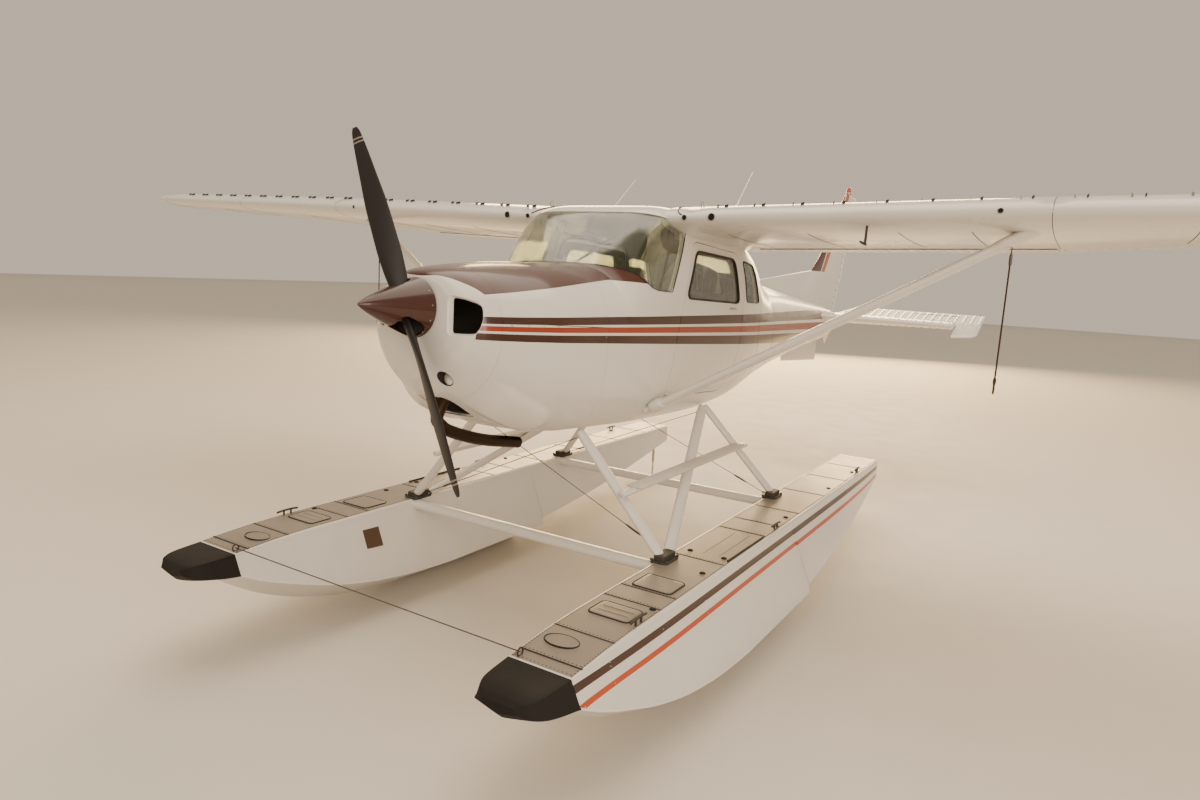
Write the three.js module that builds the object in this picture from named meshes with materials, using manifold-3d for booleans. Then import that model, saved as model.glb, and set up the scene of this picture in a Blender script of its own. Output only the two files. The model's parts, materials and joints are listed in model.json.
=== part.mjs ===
// A high-wing, strut-braced, single-engine aeroplane on twin floats, as an assembly of separate pieces.
// Units are millimetres. +X points to the aeroplane's left wing tip, +Y aft, +Z up.
// The origin is on the ground, on the plane of symmetry, half way along the overall length.
import * as THREE from "three";
import { mergeVertices } from "three/addons/utils/BufferGeometryUtils.js";
import Module from "manifold-3d";

const wasm = await Module();
wasm.setup();

// Rigging: how the airframe stands on the floats. Airframe stations are measured from the firewall,
// on the thrust line, and floats from the same firewall point but with Z from the keels.
const NOSE_UP = THREE.MathUtils.degToRad(2.9);
const THRUST_HEIGHT = 1922;
const FIREWALL_Y = -2647;
const REST_GAP = 0.3; // between pieces that touch
const RUN_GAP = 6; // round pieces that move
const COVE_GAP = 12; // ahead of a flap's or an aileron's nose
const BITE = 4; // how far a fused detail reaches into what carries it

// Fuselage
const FUSELAGE = { nose: -990, cowlSeam: -810, firewall: 0, tailSeam: 2420, end: 5940 };
const COWL_WALL = 12;
const CABIN_WALL = 35;
const TAIL_WALL = 12;
const GLASS = 8;
const COWL_SPLIT = -35; // height of the joint between the cowl halves
const INLET = { x: 276, z: -22, halfWidth: 76, halfHeight: 94, depth: 260 };
const LOWER_INLET = { half: 124, from: -1100, to: -665, low: -548, high: -442 };
const OUTLET = { half: 190, from: -330, to: 60, low: -800, high: -560 };
// Exhaust pipe: x, radius, room round it, and its path as (station, height), first point in the engine bay
const EXHAUST = {
  x: 75, radius: 33, room: 8,
  path: [[-790, -420], [-855, -485], [-878, -545], [-826, -598], [-520, -688], [-195, -736]],
};
const ENGINE = { half: 310, front: -760, back: -170, low: -330, high: 120, shaft: 42, leg: 16 };

// Fuselage sections: station, half width, roof, widest level, belly, squareness above, squareness below
const SECTION_TABLE = [
  [-990, 239, 150, -60, -234, 2.3, 2.0],
  [-970, 285, 176, -75, -324, 2.35, 1.9],
  [-930, 330, 194, -95, -390, 2.4, 1.8],
  [-885, 368, 206, -110, -438, 2.45, 1.8],
  [-800, 407, 222, -122, -487, 2.48, 1.93],
  [-700, 443, 238, -130, -535, 2.5, 2.15],
  [-550, 475, 259, -137, -588, 2.55, 2.42],
  [-400, 499, 276, -140, -632, 2.6, 2.64],
  [0, 516, 310, -140, -676, 2.7, 3.0],
  [190, 524, 330, -135, -676, 2.8, 3.1],
  [300, 527, 470, -130, -676, 4.2, 3.2],
  [450, 530, 640, -125, -676, 6.2, 3.3],
  [600, 533, 718, -118, -676, 7.4, 3.4],
  [720, 535, 745, -112, -675, 7.4, 3.4],
  [1000, 537, 768, -105, -670, 6.0, 3.4],
  [1500, 537, 760, -95, -652, 4.8, 3.4],
  [1950, 528, 722, -80, -610, 4.6, 3.3],
  [2250, 505, 672, -65, -560, 4.2, 3.2],
  [2420, 486, 610, -55, -532, 3.6, 3.0],
  [2650, 456, 514, -45, -492, 3.0, 2.8],
  [2950, 418, 436, -30, -442, 2.6, 2.6],
  [3600, 338, 402, 10, -345, 2.4, 2.4],
  [4600, 226, 356, 65, -215, 2.3, 2.3],
  [5940, 92, 292, 120, -45, 2.2, 2.2],
];
const RING_POINTS = 28;

// Glass and door outlines on the side of the fuselage, as (station, height)
const WINDSHIELD_OUTLINE = [
  [150, 362], [373, 244], [445, 216], [530, 205], [700, 207], [835, 590],
  [660, 655], [500, 672], [420, 900], [100, 900],
];
const REAR_WINDOW_OUTLINE = [[2300, 610], [2790, 458], [2900, 700], [2330, 900]];
const REAR_WINDOW_HALF = 372;
const DOOR_OUTLINE = [[748, -470], [1700, -470], [1925, -150], [1925, 190], [1790, 556], [955, 556]];
const DOOR_WINDOW_OUTLINE = [[915, 180], [1820, 190], [1690, 505], [1010, 498]];
const SIDE_WINDOW_OUTLINE = [[1990, 205], [2340, 215], [2160, 500], [1880, 512]];

// Door hinge: an upright pin line at the foot of the door's front edge, just outside the skin
const HINGE = { x: 544, y: 765, knuckle: 45, heights: [-400, -105], pin: 7 };

// Cabin fittings, the last two as outlines of (station, height)
const FLOOR = { low: -560, high: -535, from: 20, to: 2300 };
const SEAT = { inner: 40, outer: 440, frontY: 880, rearY: 1640, rearOuter: 420, headHalf: 125 };
const PANEL_OUTLINE = [[20, -60], [420, -160], [440, 150], [400, 262], [20, 285]];
const SEAT_OUTLINE = [
  [0, 0], [430, 0], [470, 60], [638, 765], [578, 785], [440, 250], [380, 160], [20, 190], [-20, 120],
];
const HEAD_REST_OUTLINE = [[568, 745], [628, 730], [668, 925], [608, 940]];

// Wing
const WING = {
  rootX: 300, jointX: 2540, tipX: 5485, leadY: 640, tipLeadY: 790, rootChord: 1630, tipChord: 1140,
  rootZ: 662, fromX: 550, thickness: 0.12, camber: 0.02, camberAt: 0.4,
};
const DIHEDRAL = THREE.MathUtils.degToRad(1.73);
const ROOT_TWIST = THREE.MathUtils.degToRad(1.5);
const TIP_TWIST = THREE.MathUtils.degToRad(-1.0);
const AIRFOIL_STEPS = 9;
const TIP_FROM = 5300;
// Tip rounding: x, how much the chord shrinks at the front, at the back, and the share of thickness left
const TIP_TABLE = [
  [TIP_FROM, 0, 0, 1], [5400, 12, 30, 0.86], [5455, 45, 95, 0.6], [WING.tipX, 120, 230, 0.22],
];
const FLAP = { fromX: 640, toX: 2560, coveY: 1880 };
const AILERON = { fromX: 2600, toX: 5150, fromY: 2000, toY: 1742 };
const HINGE_IN = 13; // how far flap and aileron hinge lines lie inside the skin

// Wing strut: from the foot of the door post to the wing's panel joint, with a wider cuff at the top
const STRUT = { foot: [500, 650, -528], head: [2551, 985, 700], chord: 132, thick: 54 };
const CUFF = { from: [2330, 950, 572], chord: 190, thick: 66 };

// Tail, in airframe stations
const STABILIZER = { z: 190, tipX: 1725, rootLead: 5215, tipLead: 5700, rootThick: 108, tipThick: 62 };
const ELEVATOR = { hingeY: 6000, rootTrail: 6450, tipTrail: 6420, hornX: 1480, innerX: 62, restUp: 20 };
const FIN = { baseZ: 255, topZ: 1715, baseHingeY: 6127, topHingeY: 6628 };
// Fin sections: height, leading edge station, thickness
const FIN_TABLE = [
  [150, 4700, 60], [450, 4780, 60], [560, 5010, 66], [690, 5190, 78], [870, 5437, 74], [1250, 5787, 62],
  [1620, 6128, 46], [1690, 6205, 38], [FIN.topZ, 6262, 22],
];
const RUDDER = { bottomZ: -45, restRight: 16, waterRatio: 1.5, nose: 30, padGap: 0.4 };
// Rudder sections: height, chord behind the hinge line
const RUDDER_TABLE = [[RUDDER.bottomZ, 300], [60, 370], [300, 400], [FIN.topZ - 40, 250], [FIN.topZ, 215]];
// Ventral fin sections: height, leading edge station, trailing edge station, thickness
const VENTRAL_TABLE = [[30, 4300, 5880, 28], [-241, 4453, 5640, 28], [-330, 4620, 5440, 26]];
const BEACON = { y: 6345, z: 1715, radius: 34, height: 96 };

// Propeller
const PROP = {
  y: -1095, radius: 950, restAngle: 25.5, shaft: 60, bladeY: 31,
  spinnerTip: -1358, spinnerBack: -1004, spinnerR: 148, spinnerWall: 8,
};
// Blade sections: radius, chord, thickness, pitch in degrees
const BLADE_TABLE = [
  [60, 84, 60, 55], [130, 98, 50, 49], [200, 110, 40, 43], [300, 118, 31, 36], [500, 116, 22, 26],
  [700, 91, 15, 20], [860, 61, 11, 17], [925, 45, 8, 16], [PROP.radius, 26, 6, 16],
];

// Floats, with heights above the keel
const FLOAT_X = 1089;
const DECK = 620;
const STEP_Y = 1230;
const STEP_RISE = 65;
const BOW_Y = -1360;
const STERN_Y = 3676;
// Float sections: station, deck level, deck half width, chine half width, chine level, keel level
const FOREBODY_TABLE = [
  [BOW_Y, 592, 157, 214, 482, 408],
  [-1230, 603, 159, 236, 420, 320],
  [-1050, 614, 161, 262, 355, 222],
  [-800, DECK, 163, 300, 282, 126],
  [-500, DECK, 165, 330, 226, 50],
  [-150, DECK, 165, 345, 190, 10],
  [200, DECK, 165, 350, 175, 0],
  [STEP_Y, DECK, 167, 350, 172, 0],
];
const AFTERBODY_TABLE = [
  [STEP_Y, DECK, 167, 346, 228, STEP_RISE],
  [2000, DECK, 168, 318, 290, 158],
  [2800, DECK, 170, 262, 372, 262],
  [3350, DECK, 171, 214, 436, 336],
  [STERN_Y, DECK, 171, 186, 478, 384],
];
// Rubber bow cap sections, with the same columns
const BUMPER_TABLE = [
  [-1620, 556, 78, 96, 534, 512],
  [-1590, 574, 118, 142, 516, 482],
  [-1520, 584, 144, 178, 500, 452],
  [BOW_Y - REST_GAP, 592, 157, 214, 482, 408],
];

// Float attachment points: x, station, height above the keel
const FLOAT_FRONT = [944, 22, DECK + 42];
const FLOAT_REAR = [944, 1757, DECK + 42];
const BODY_FRONT = [385, -41, 1262];
const BODY_REAR = [432, 1559, 1236];
const PAD = [80, 120, 40]; // deck fitting pads
const LUG = [70, 90, 60]; // belly fitting lugs
const SPREADER = { z: 585, stations: [-30, 1690], chord: 96, thick: 62, reach: 960 };
const GEAR_STRUT = { chord: 84, thick: 44 };
const STEP_BAR = { z: 972, rise: 4, x: 704, from: -70, to: 1740, chord: 52, thick: 34 };
const RUDDER_POST = { y: STERN_Y + 55, radius: 12, low: 200, high: 580, arms: [500, 560] };
const WATER_BLADE_OUTLINE = [[-8, 60], [60, 30], [200, 60], [215, 240], [120, 330], [-8, 330]];

// Handling ropes under the wing strut heads: where the top is in the airframe, and the length
const ROPE = { top: [2395, 962, 545], length: 760, radius: 5 };

const AIR_TO_GEAR = new THREE.Matrix4().makeRotationX(-NOSE_UP).setPosition(0, 0, THRUST_HEIGHT);
const GEAR_TO_AIR = AIR_TO_GEAR.clone().invert();

// Materials by finish
const finish = (color, roughness, metalness = 0, extra = {}) =>
  new THREE.MeshStandardMaterial({ color, roughness, metalness, ...extra });
const WHITE = finish(0xe9e7e2, 0.3);
const MAROON = finish(0x5a2a1c, 0.35);
const BLACK = finish(0x16110f, 0.5);
const RUBBER = finish(0x14110f, 0.8);
const METAL = finish(0x8d8a86, 0.4, 0.9);
const DARK_METAL = finish(0x3a332e, 0.6, 0.7);
const CLEAR = finish(0xd6ddd6, 0.05, 0, { transparent: true, opacity: 0.35 });
const LAMP_RED = finish(0xb01c12, 0.25);
const TRIM = finish(0x2a2724, 0.7);
const CLOTH = finish(0x6b5b4c, 0.9);
const CORD = finish(0x3d342b, 0.9);

const airframe = new THREE.Group();
airframe.position.set(0, FIREWALL_Y, THRUST_HEIGHT);
airframe.rotation.x = -NOSE_UP;
const gear = new THREE.Group();
gear.position.set(0, FIREWALL_Y, 0);
const floatplane = new THREE.Group();
floatplane.add(airframe, gear);

// A closed geometry as a solid that the library can cut and join.
function solid(geometry) {
  const bare = geometry.clone();
  bare.deleteAttribute("normal");
  bare.deleteAttribute("uv");
  const merged = geometry.userData.closed ? bare : mergeVertices(bare, 1e-3);
  const faces = new Uint32Array(merged.index.array);
  const made = () => new wasm.Manifold(
    new wasm.Mesh({ numProp: 3, vertProperties: merged.attributes.position.array, triVerts: faces }),
  );
  const first = made();
  if (first.volume() > 0) return first;
  for (let i = 0; i < faces.length; i += 3) [faces[i], faces[i + 1]] = [faces[i + 1], faces[i]];
  return made();
}

// A solid's surface as a geometry.
function surface(manifold) {
  const mesh = manifold.getMesh();
  const positions = new Float32Array(mesh.numVert * 3);
  for (let i = 0; i < mesh.numVert; i++)
    positions.set(mesh.vertProperties.subarray(i * mesh.numProp, i * mesh.numProp + 3), i * 3);
  const geometry = new THREE.BufferGeometry();
  geometry.setAttribute("position", new THREE.BufferAttribute(positions, 3));
  geometry.setIndex(new THREE.BufferAttribute(mesh.triVerts, 1));
  geometry.computeVertexNormals();
  geometry.userData.closed = true;
  return geometry;
}

function add(group, name, manifold, material) {
  const mesh = new THREE.Mesh(surface(manifold), material);
  mesh.name = name;
  group.add(mesh);
  return mesh;
}

// Rings of points joined into a closed body, with flat ends.
function loft(rings) {
  const count = rings[0].length;
  const positions = rings.flat().flatMap((p) => [p.x, p.y, p.z]);
  const faces = [];
  for (let r = 0; r + 1 < rings.length; r++)
    for (let i = 0; i < count; i++) {
      const [a, b] = [r * count + i, r * count + ((i + 1) % count)];
      faces.push(a, b, b + count, a, b + count, a + count);
    }
  for (const end of [0, rings.length - 1]) {
    const ring = rings[end];
    const box = new THREE.Box3().setFromPoints(ring).getSize(new THREE.Vector3());
    const flat = ["x", "y", "z"].sort((m, n) => box[n] - box[m]).slice(0, 2);
    const outline = ring.map((p) => new THREE.Vector2(p[flat[0]], p[flat[1]]));
    const turned = THREE.ShapeUtils.isClockWise(outline);
    const caps = THREE.ShapeUtils.triangulateShape(turned ? [...outline].reverse() : outline, []);
    const at = (i) => end * count + (turned ? count - 1 - i : i);
    const kept = keepsTurn(count, end, caps.map((c) => c.map(at)));
    for (const [a, b, c] of caps) {
      const face = [at(a), at(b), at(c)];
      faces.push(...(kept ? face : face.reverse()));
    }
  }
  const geometry = new THREE.BufferGeometry();
  geometry.setAttribute("position", new THREE.BufferAttribute(new Float32Array(positions), 3));
  geometry.setIndex(faces);
  return geometry;
}

// Whether an end cap's faces must keep their turn, judged from an edge that the walls share with it.
function keepsTurn(count, end, caps) {
  const base = end * count;
  for (const [a, b, c] of caps)
    for (const [p, q] of [[a, b], [b, c], [c, a]]) {
      if (q === base + ((p - base + 1) % count)) return end !== 0;
      if (p === base + ((q - base + 1) % count)) return end === 0;
    }
  return true;
}

const vec = (x, y, z) => new THREE.Vector3(x, y, z);
const blend = (a, b, t) => a + (b - a) * t;
const mirrored = (geometry) => geometry.clone().applyMatrix4(new THREE.Matrix4().makeScale(-1, 1, 1));
const degrees = THREE.MathUtils.degToRad;
const inGear = (geometry) => geometry.clone().applyMatrix4(AIR_TO_GEAR);
const toGear = (point) => point.clone().applyMatrix4(AIR_TO_GEAR);
const toAir = (point) => point.clone().applyMatrix4(GEAR_TO_AIR);

// A straight-sided block between two corners.
function block(low, high) {
  const size = low.map((v, i) => high[i] - v);
  return new THREE.BoxGeometry(...size).translate(...low.map((v, i) => v + size[i] / 2));
}

// A smooth curve through a table's rows: each column as a monotone cubic over the first one.
function rowAt(table, y) {
  const last = table.length - 2;
  const next = table.findIndex((row) => row[0] > y);
  const k = next < 0 ? last : Math.max(0, next - 1);
  const slope = (i, c) => (table[i + 1][c] - table[i][c]) / (table[i + 1][0] - table[i][0]);
  const tangent = (i, c) => {
    if (i === 0) return slope(0, c);
    if (i === table.length - 1) return slope(i - 1, c);
    const [s, t] = [slope(i - 1, c), slope(i, c)];
    return s * t <= 0 ? 0 : (2 * s * t) / (s + t);
  };
  const width = table[k + 1][0] - table[k][0];
  const t = (y - table[k][0]) / width;
  return table[k].map((value, c) =>
    c === 0
      ? y
      : (2 * t ** 3 - 3 * t ** 2 + 1) * value +
        (t ** 3 - 2 * t ** 2 + t) * width * tangent(k, c) +
        (3 * t ** 2 - 2 * t ** 3) * table[k + 1][c] +
        (t ** 3 - t ** 2) * width * tangent(k + 1, c),
  );
}

// One fuselage ring: a superellipse whose upper and lower halves have their own height and squareness.
function bodyRing(y, inset) {
  const [, half, top, mid, low, up, down] = rowAt(SECTION_TABLE, y);
  return Array.from({ length: RING_POINTS }, (_, i) => {
    const angle = (2 * Math.PI * (i + 0.5)) / RING_POINTS;
    const [c, s] = [Math.cos(angle), Math.sin(angle)];
    const [n, height] = s > 0 ? [up, top - mid - inset] : [down, mid - low - inset];
    const bend = (v) => Math.sign(v) * Math.abs(v) ** (2 / n);
    return vec((half - inset) * bend(c), y, mid + height * bend(s));
  });
}

function bodyLoft(from, to, inset = 0) {
  const inside = SECTION_TABLE.map((row) => row[0]).filter((y) => y > from + 5 && y < to - 5);
  return loft([from, ...inside, to].map((y) => bodyRing(y, inset)));
}

// A plate of an outline in the station and height plane, between two values of x.
function sidePlate(points, x0, x1, radius = 40) {
  const shape = new THREE.Shape();
  points.forEach((p, i) => {
    const here = new THREE.Vector2(...p);
    const toward = (q) => new THREE.Vector2(...q).sub(here);
    const [before, after] = [toward(points.at(i - 1)), toward(points[(i + 1) % points.length])];
    const start = here.clone().add(before.setLength(Math.min(radius, before.length() / 2)));
    const stop = here.clone().add(after.setLength(Math.min(radius, after.length() / 2)));
    if (i) shape.lineTo(start.x, start.y);
    else shape.moveTo(start.x, start.y);
    shape.quadraticCurveTo(here.x, here.y, stop.x, stop.y);
  });
  const options = { depth: x1 - x0, bevelEnabled: false, curveSegments: 3 };
  return new THREE.ExtrudeGeometry(shape, options).translate(0, 0, x0).applyMatrix4(
    new THREE.Matrix4().makeBasis(vec(0, 1, 0), vec(0, 0, 1), vec(1, 0, 0)),
  );
}

// The same outline moved inwards by a distance, for a panel in its opening.
function shrunk(points, by) {
  const centre = points.reduce((a, p) => [a[0] + p[0] / points.length, a[1] + p[1] / points.length], [0, 0]);
  return points.map((p, i) => {
    const normal = (q, r) => {
      const n = new THREE.Vector2(r[1] - q[1], q[0] - r[0]).normalize();
      return n.dot(new THREE.Vector2(centre[0] - q[0], centre[1] - q[1])) > 0 ? n : n.negate();
    };
    const [n1, n2] = [normal(points.at(i - 1), p), normal(p, points[(i + 1) % points.length])];
    const corner = n1.clone().add(n2);
    return [p[0], p[1]].map((v, k) => v + (2 * by * corner.getComponent(k)) / corner.lengthSq());
  });
}

// A streamlined bar: an oval section, its long side fore and aft.
function bar(from, to, chord, thick, sides = 10) {
  const [a, b] = [vec(...from), vec(...to)];
  const along = b.clone().sub(a).normalize();
  const hint = Math.abs(along.y) > 0.8 ? vec(0, 0, 1) : vec(0, 1, 0);
  const wide = hint.addScaledVector(along, -hint.dot(along)).normalize();
  const thin = along.clone().cross(wide);
  const ring = (centre) => Array.from({ length: sides }, (_, i) => {
    const angle = (2 * Math.PI * i) / sides;
    return centre.clone()
      .addScaledVector(wide, (chord / 2) * Math.cos(angle))
      .addScaledVector(thin, (thick / 2) * Math.sin(angle));
  });
  return loft([ring(a), ring(b)]);
}

// A round rod between two points.
const rod = (from, to, radius, sides = 12) => bar(from, to, 2 * radius, 2 * radius, sides);

function union(...solids) {
  return solids.reduce((a, b) => a.add(b));
}

// A slice of space between two stations, and between two levels if they are given.
const SPACE = 3000;
const slab = (y0, y1, z0 = -SPACE, z1 = SPACE) => solid(block([-SPACE, y0, z0], [SPACE, y1, z1]));
const flipped = (manifold) => solid(mirrored(surface(manifold)));

// Belly lugs for the float struts
const lugBlock = (point, side, grow = 0) => {
  const at = toAir(vec(...point));
  return block(
    [side * at.x - LUG[0] / 2 - grow, at.y - LUG[1] / 2 - grow, at.z - LUG[2] / 2 - grow],
    [side * at.x + LUG[0] / 2 + grow, at.y + LUG[1] / 2 + 30 + grow, at.z + LUG[2] + 40 + grow],
  );
};
const lugs = [BODY_FRONT, BODY_REAR].flatMap((p) => [1, -1].map((s) => solid(lugBlock(p, s))));
const frontLugs = lugs.slice(0, 2);
const frontLugRooms = [1, -1].map((s) => solid(lugBlock(BODY_FRONT, s, REST_GAP)));

// Nose, cowl and engine
const outerCowl = solid(bodyLoft(FUSELAGE.nose, FUSELAGE.firewall - REST_GAP));
const innerCowl = solid(bodyLoft(FUSELAGE.nose + 40, FUSELAGE.firewall + 10, COWL_WALL));
const cowlShell = outerCowl.subtract(innerCowl);
const inlet = (side) => {
  const { x, z, halfWidth, halfHeight, depth } = INLET;
  const bowl = new THREE.SphereGeometry(1, 14, 8).scale(halfWidth, depth, halfHeight);
  return solid(bowl.translate(side * x, FUSELAGE.nose, z));
};
const shaftHole = solid(rod([0, -1050, 0], [0, -880, 0], 70));
const lowerInlet = solid(block(
  [-LOWER_INLET.half, LOWER_INLET.from, LOWER_INLET.low],
  [LOWER_INLET.half, LOWER_INLET.to, LOWER_INLET.high],
));
const noseCuts = [inlet(1), inlet(-1), shaftHole, lowerInlet].reduce((a, b) => a.add(b));
const cowlBay = cowlShell.intersect(slab(FUSELAGE.cowlSeam + REST_GAP, 10)).subtract(noseCuts);

// Exhaust pipe: down out of the lower cowl and aft along the belly
const exhaustPath = new THREE.CatmullRomCurve3(EXHAUST.path.map(([y, z]) => vec(EXHAUST.x, y, z)));
const alongExhaust = (radius) => solid(new THREE.ExtrudeGeometry(
  new THREE.Shape().absarc(0, 0, radius, 0, 2 * Math.PI),
  { steps: 14, curveSegments: 6, extrudePath: exhaustPath, bevelEnabled: false },
));
const exhaustRoute = alongExhaust(EXHAUST.radius + EXHAUST.room);
const bowl = cowlShell.intersect(slab(-1200, FUSELAGE.cowlSeam)).subtract(noseCuts);
add(airframe, "nose_bowl", bowl.subtract(exhaustRoute), WHITE);
add(airframe, "exhaust_pipe", alongExhaust(EXHAUST.radius), DARK_METAL);

const outlet = solid(
  block([-OUTLET.half, OUTLET.from, OUTLET.low], [OUTLET.half, OUTLET.to, OUTLET.high]));
add(airframe, "cowl_upper", cowlBay.intersect(slab(-1200, 100, COWL_SPLIT + REST_GAP)), MAROON);
add(airframe, "cowl_lower", [outlet, exhaustRoute, ...frontLugRooms].reduce(
  (m, cut) => m.subtract(cut), cowlBay.intersect(slab(-1200, 100, -SPACE, COWL_SPLIT))), WHITE);

// Engine: a block with its shaft, an exhaust stub and four legs that reach the firewall
const engineLegs = [[-1, -1], [1, -1], [-1, 1], [1, 1]].map(([sx, sz]) => solid(rod(
  [sx * 250, ENGINE.back - 60, -100 + sz * 150],
  [sx * 300, FUSELAGE.firewall - REST_GAP, -120 + sz * 230],
  ENGINE.leg, 8,
)));
const shaftEndY = PROP.spinnerBack + 14;
const [stubY, stubZ] = EXHAUST.path[0];
const STUB_LENGTH = 90;
add(airframe, "engine_block", union(
  solid(block([-ENGINE.half, ENGINE.front, ENGINE.low], [ENGINE.half, ENGINE.back, ENGINE.high])),
  solid(rod([0, ENGINE.front + 20, 0], [0, shaftEndY + REST_GAP, 0], ENGINE.shaft)),
  solid(rod(
    [EXHAUST.x, stubY + STUB_LENGTH, stubZ + STUB_LENGTH],
    [EXHAUST.x, stubY + REST_GAP, stubZ + REST_GAP],
    EXHAUST.radius,
  )),
  ...engineLegs,
).subtract(slab(FUSELAGE.firewall - REST_GAP, 200)), DARK_METAL);

// Propeller and spinner, turned to the angle that they rest at
function bladeRing(radius, chord, thick, pitch) {
  const outline = [
    [-0.5, 0], [-0.3, 0.35], [0.1, 0.3], [0.5, 0.08], [0.5, -0.08], [0.1, -0.45], [-0.3, -0.5],
  ];
  return outline.map(([c, t]) => {
    const [x, y] = [c * chord, t * thick];
    const back = PROP.bladeY + x * Math.sin(pitch) + y * Math.cos(pitch);
    return vec(x * Math.cos(pitch) - y * Math.sin(pitch), back, radius);
  });
}
const blade = loft(BLADE_TABLE.map(([radius, chord, thick, pitch]) =>
  bladeRing(radius, chord, thick, degrees(pitch))));
const hub = rod([0, -70, 0], [0, 60, 0], 72, 20);
const propShaft = rod([0, 50, 0], [0, shaftEndY - PROP.y, 0], PROP.shaft, 20);
const propShape = union(solid(blade), solid(blade.clone().rotateY(Math.PI)), solid(hub), solid(propShaft));
const SPINNER_SIDES = 28;
const spinnerLength = PROP.spinnerBack - PROP.spinnerTip;
const spinnerProfile = Array.from({ length: 9 }, (_, i) =>
  new THREE.Vector2(PROP.spinnerR * (i / 8) ** 0.78, (spinnerLength * i) / 8));
const turned = (points) =>
  solid(new THREE.LatheGeometry(points, SPINNER_SIDES).translate(0, PROP.spinnerTip - PROP.y, 0));
const onAxis = (y) => new THREE.Vector2(0, y);
const spinnerShell = turned([...spinnerProfile, onAxis(spinnerLength)]);
const hollowProfile = spinnerProfile.slice(2).map((p) => new THREE.Vector2(p.x - PROP.spinnerWall, p.y + 4));
const spinnerHollow = turned([onAxis(40), ...hollowProfile, onAxis(spinnerLength + 4)]);
const bladeSlots = [[40, 300], [-300, -40]].map(([z0, z1]) => solid(block([-72, -74, z0], [72, 74, z1])));
const backFrom = 61;
const spinnerBack = solid(
  rod([0, backFrom, 0], [0, PROP.spinnerBack - PROP.y - 1, 0], PROP.spinnerR - 6, SPINNER_SIDES),
).subtract(solid(rod([0, 0, 0], [0, 120, 0], PROP.shaft + REST_GAP, 20)));
const spinnerWhole = spinnerShell.subtract(spinnerHollow).add(spinnerBack);
const spinner = bladeSlots.reduce((m, slot) => m.subtract(slot), spinnerWhole);
for (const [name, shape, material] of [["propeller", propShape, BLACK], ["spinner", spinner, MAROON]]) {
  const mesh = add(airframe, name, shape, material);
  mesh.position.y = PROP.y;
  mesh.rotation.y = -degrees(PROP.restAngle);
}

// Cabin shell with its firewall, split from the tail cone at the rear bulkhead
const cabinOuter = solid(bodyLoft(FUSELAGE.firewall, FUSELAGE.tailSeam));
const cabinInner = solid(bodyLoft(FUSELAGE.firewall + 20, FUSELAGE.tailSeam + 20, CABIN_WALL));
const cabinWall = cabinOuter.subtract(cabinInner);
const glassSkin = cabinOuter.subtract(solid(bodyLoft(FUSELAGE.firewall, FUSELAGE.tailSeam, GLASS)));
const sides = (points, radius) => {
  const plate = sidePlate(points, 300, 700, radius);
  return [solid(plate), solid(mirrored(plate))];
};
const windshieldCut = solid(sidePlate(WINDSHIELD_OUTLINE, -700, 700, 30));
const doorCuts = sides(DOOR_OUTLINE, 70);
const sideWindowCuts = sides(SIDE_WINDOW_OUTLINE, 45);
const doorWindowCuts = sides(DOOR_WINDOW_OUTLINE, 55);
const panes = (outline, radius) => sides(shrunk(outline, REST_GAP), radius);

// Half width of the fuselage at a station and height
const skinX = (y, z) => {
  const [, half, top, mid, low, up, down] = rowAt(SECTION_TABLE, y);
  const [n, height] = z > mid ? [up, top - mid] : [down, mid - low];
  return half * (1 - (Math.abs(z - mid) / height) ** n) ** (1 / n);
};
const [doorFoot, doorHead] = [DOOR_OUTLINE[0], DOOR_OUTLINE[5]];
const doorEdgeY = (z) => blend(doorFoot[0], doorHead[0], (z - doorFoot[1]) / (doorHead[1] - doorFoot[1]));

// One hinge knuckle with its strap, which lies over the skin and bites into it behind the joint
function hingeKnuckle(z, forDoor) {
  const top = z + HINGE.knuckle;
  const strap = loft([z, top].map((h) => {
    const edge = forDoor ? doorEdgeY(h) : HINGE.y;
    const skin = skinX(edge, h);
    const out = forDoor ? 1 : -1;
    return [
      [HINGE.y, HINGE.x + 5], [edge + out * 14, skin + 10], [edge + out * 45, skin + 2],
      [edge + out * 45, skin - 8], [edge + out * 12, skin - 8], [edge + out * 4, skin + 3.5],
      [HINGE.y, HINGE.x - 5],
    ].map(([y, x]) => vec(x, y, h));
  }));
  return union(solid(rod([HINGE.x, HINGE.y, z], [HINGE.x, HINGE.y, top], HINGE.pin, 10)), solid(strap));
}
const bodyKnuckles = HINGE.heights.map((z) => hingeKnuckle(z, false));
const doorKnuckles = HINGE.heights.map((z) => hingeKnuckle(z + HINGE.knuckle + REST_GAP, true));
const acrossPlate = (points, half) => solid(sidePlate(points, -half, half, 30));
const rearWindowCut = acrossPlate(REAR_WINDOW_OUTLINE, REAR_WINDOW_HALF);
const knuckles = union(...bodyKnuckles, ...bodyKnuckles.map(flipped));
let cabin = union(cabinWall, ...lugs.map((lug) => lug.subtract(cabinInner)), knuckles);
for (const cut of [windshieldCut, rearWindowCut, ...doorCuts, ...sideWindowCuts]) cabin = cabin.subtract(cut);
cabin = cabin.add(knuckles).subtract(exhaustRoute);
const cabinEnds = slab(FUSELAGE.firewall, FUSELAGE.tailSeam - REST_GAP);
const cowlRoom = solid(bodyLoft(FUSELAGE.cowlSeam, FUSELAGE.firewall, -0.2)).subtract(slab(-1, 200));
add(airframe, "cabin_shell", cabin.intersect(union(cabinEnds, ...frontLugs)).subtract(cowlRoom), WHITE);

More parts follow.
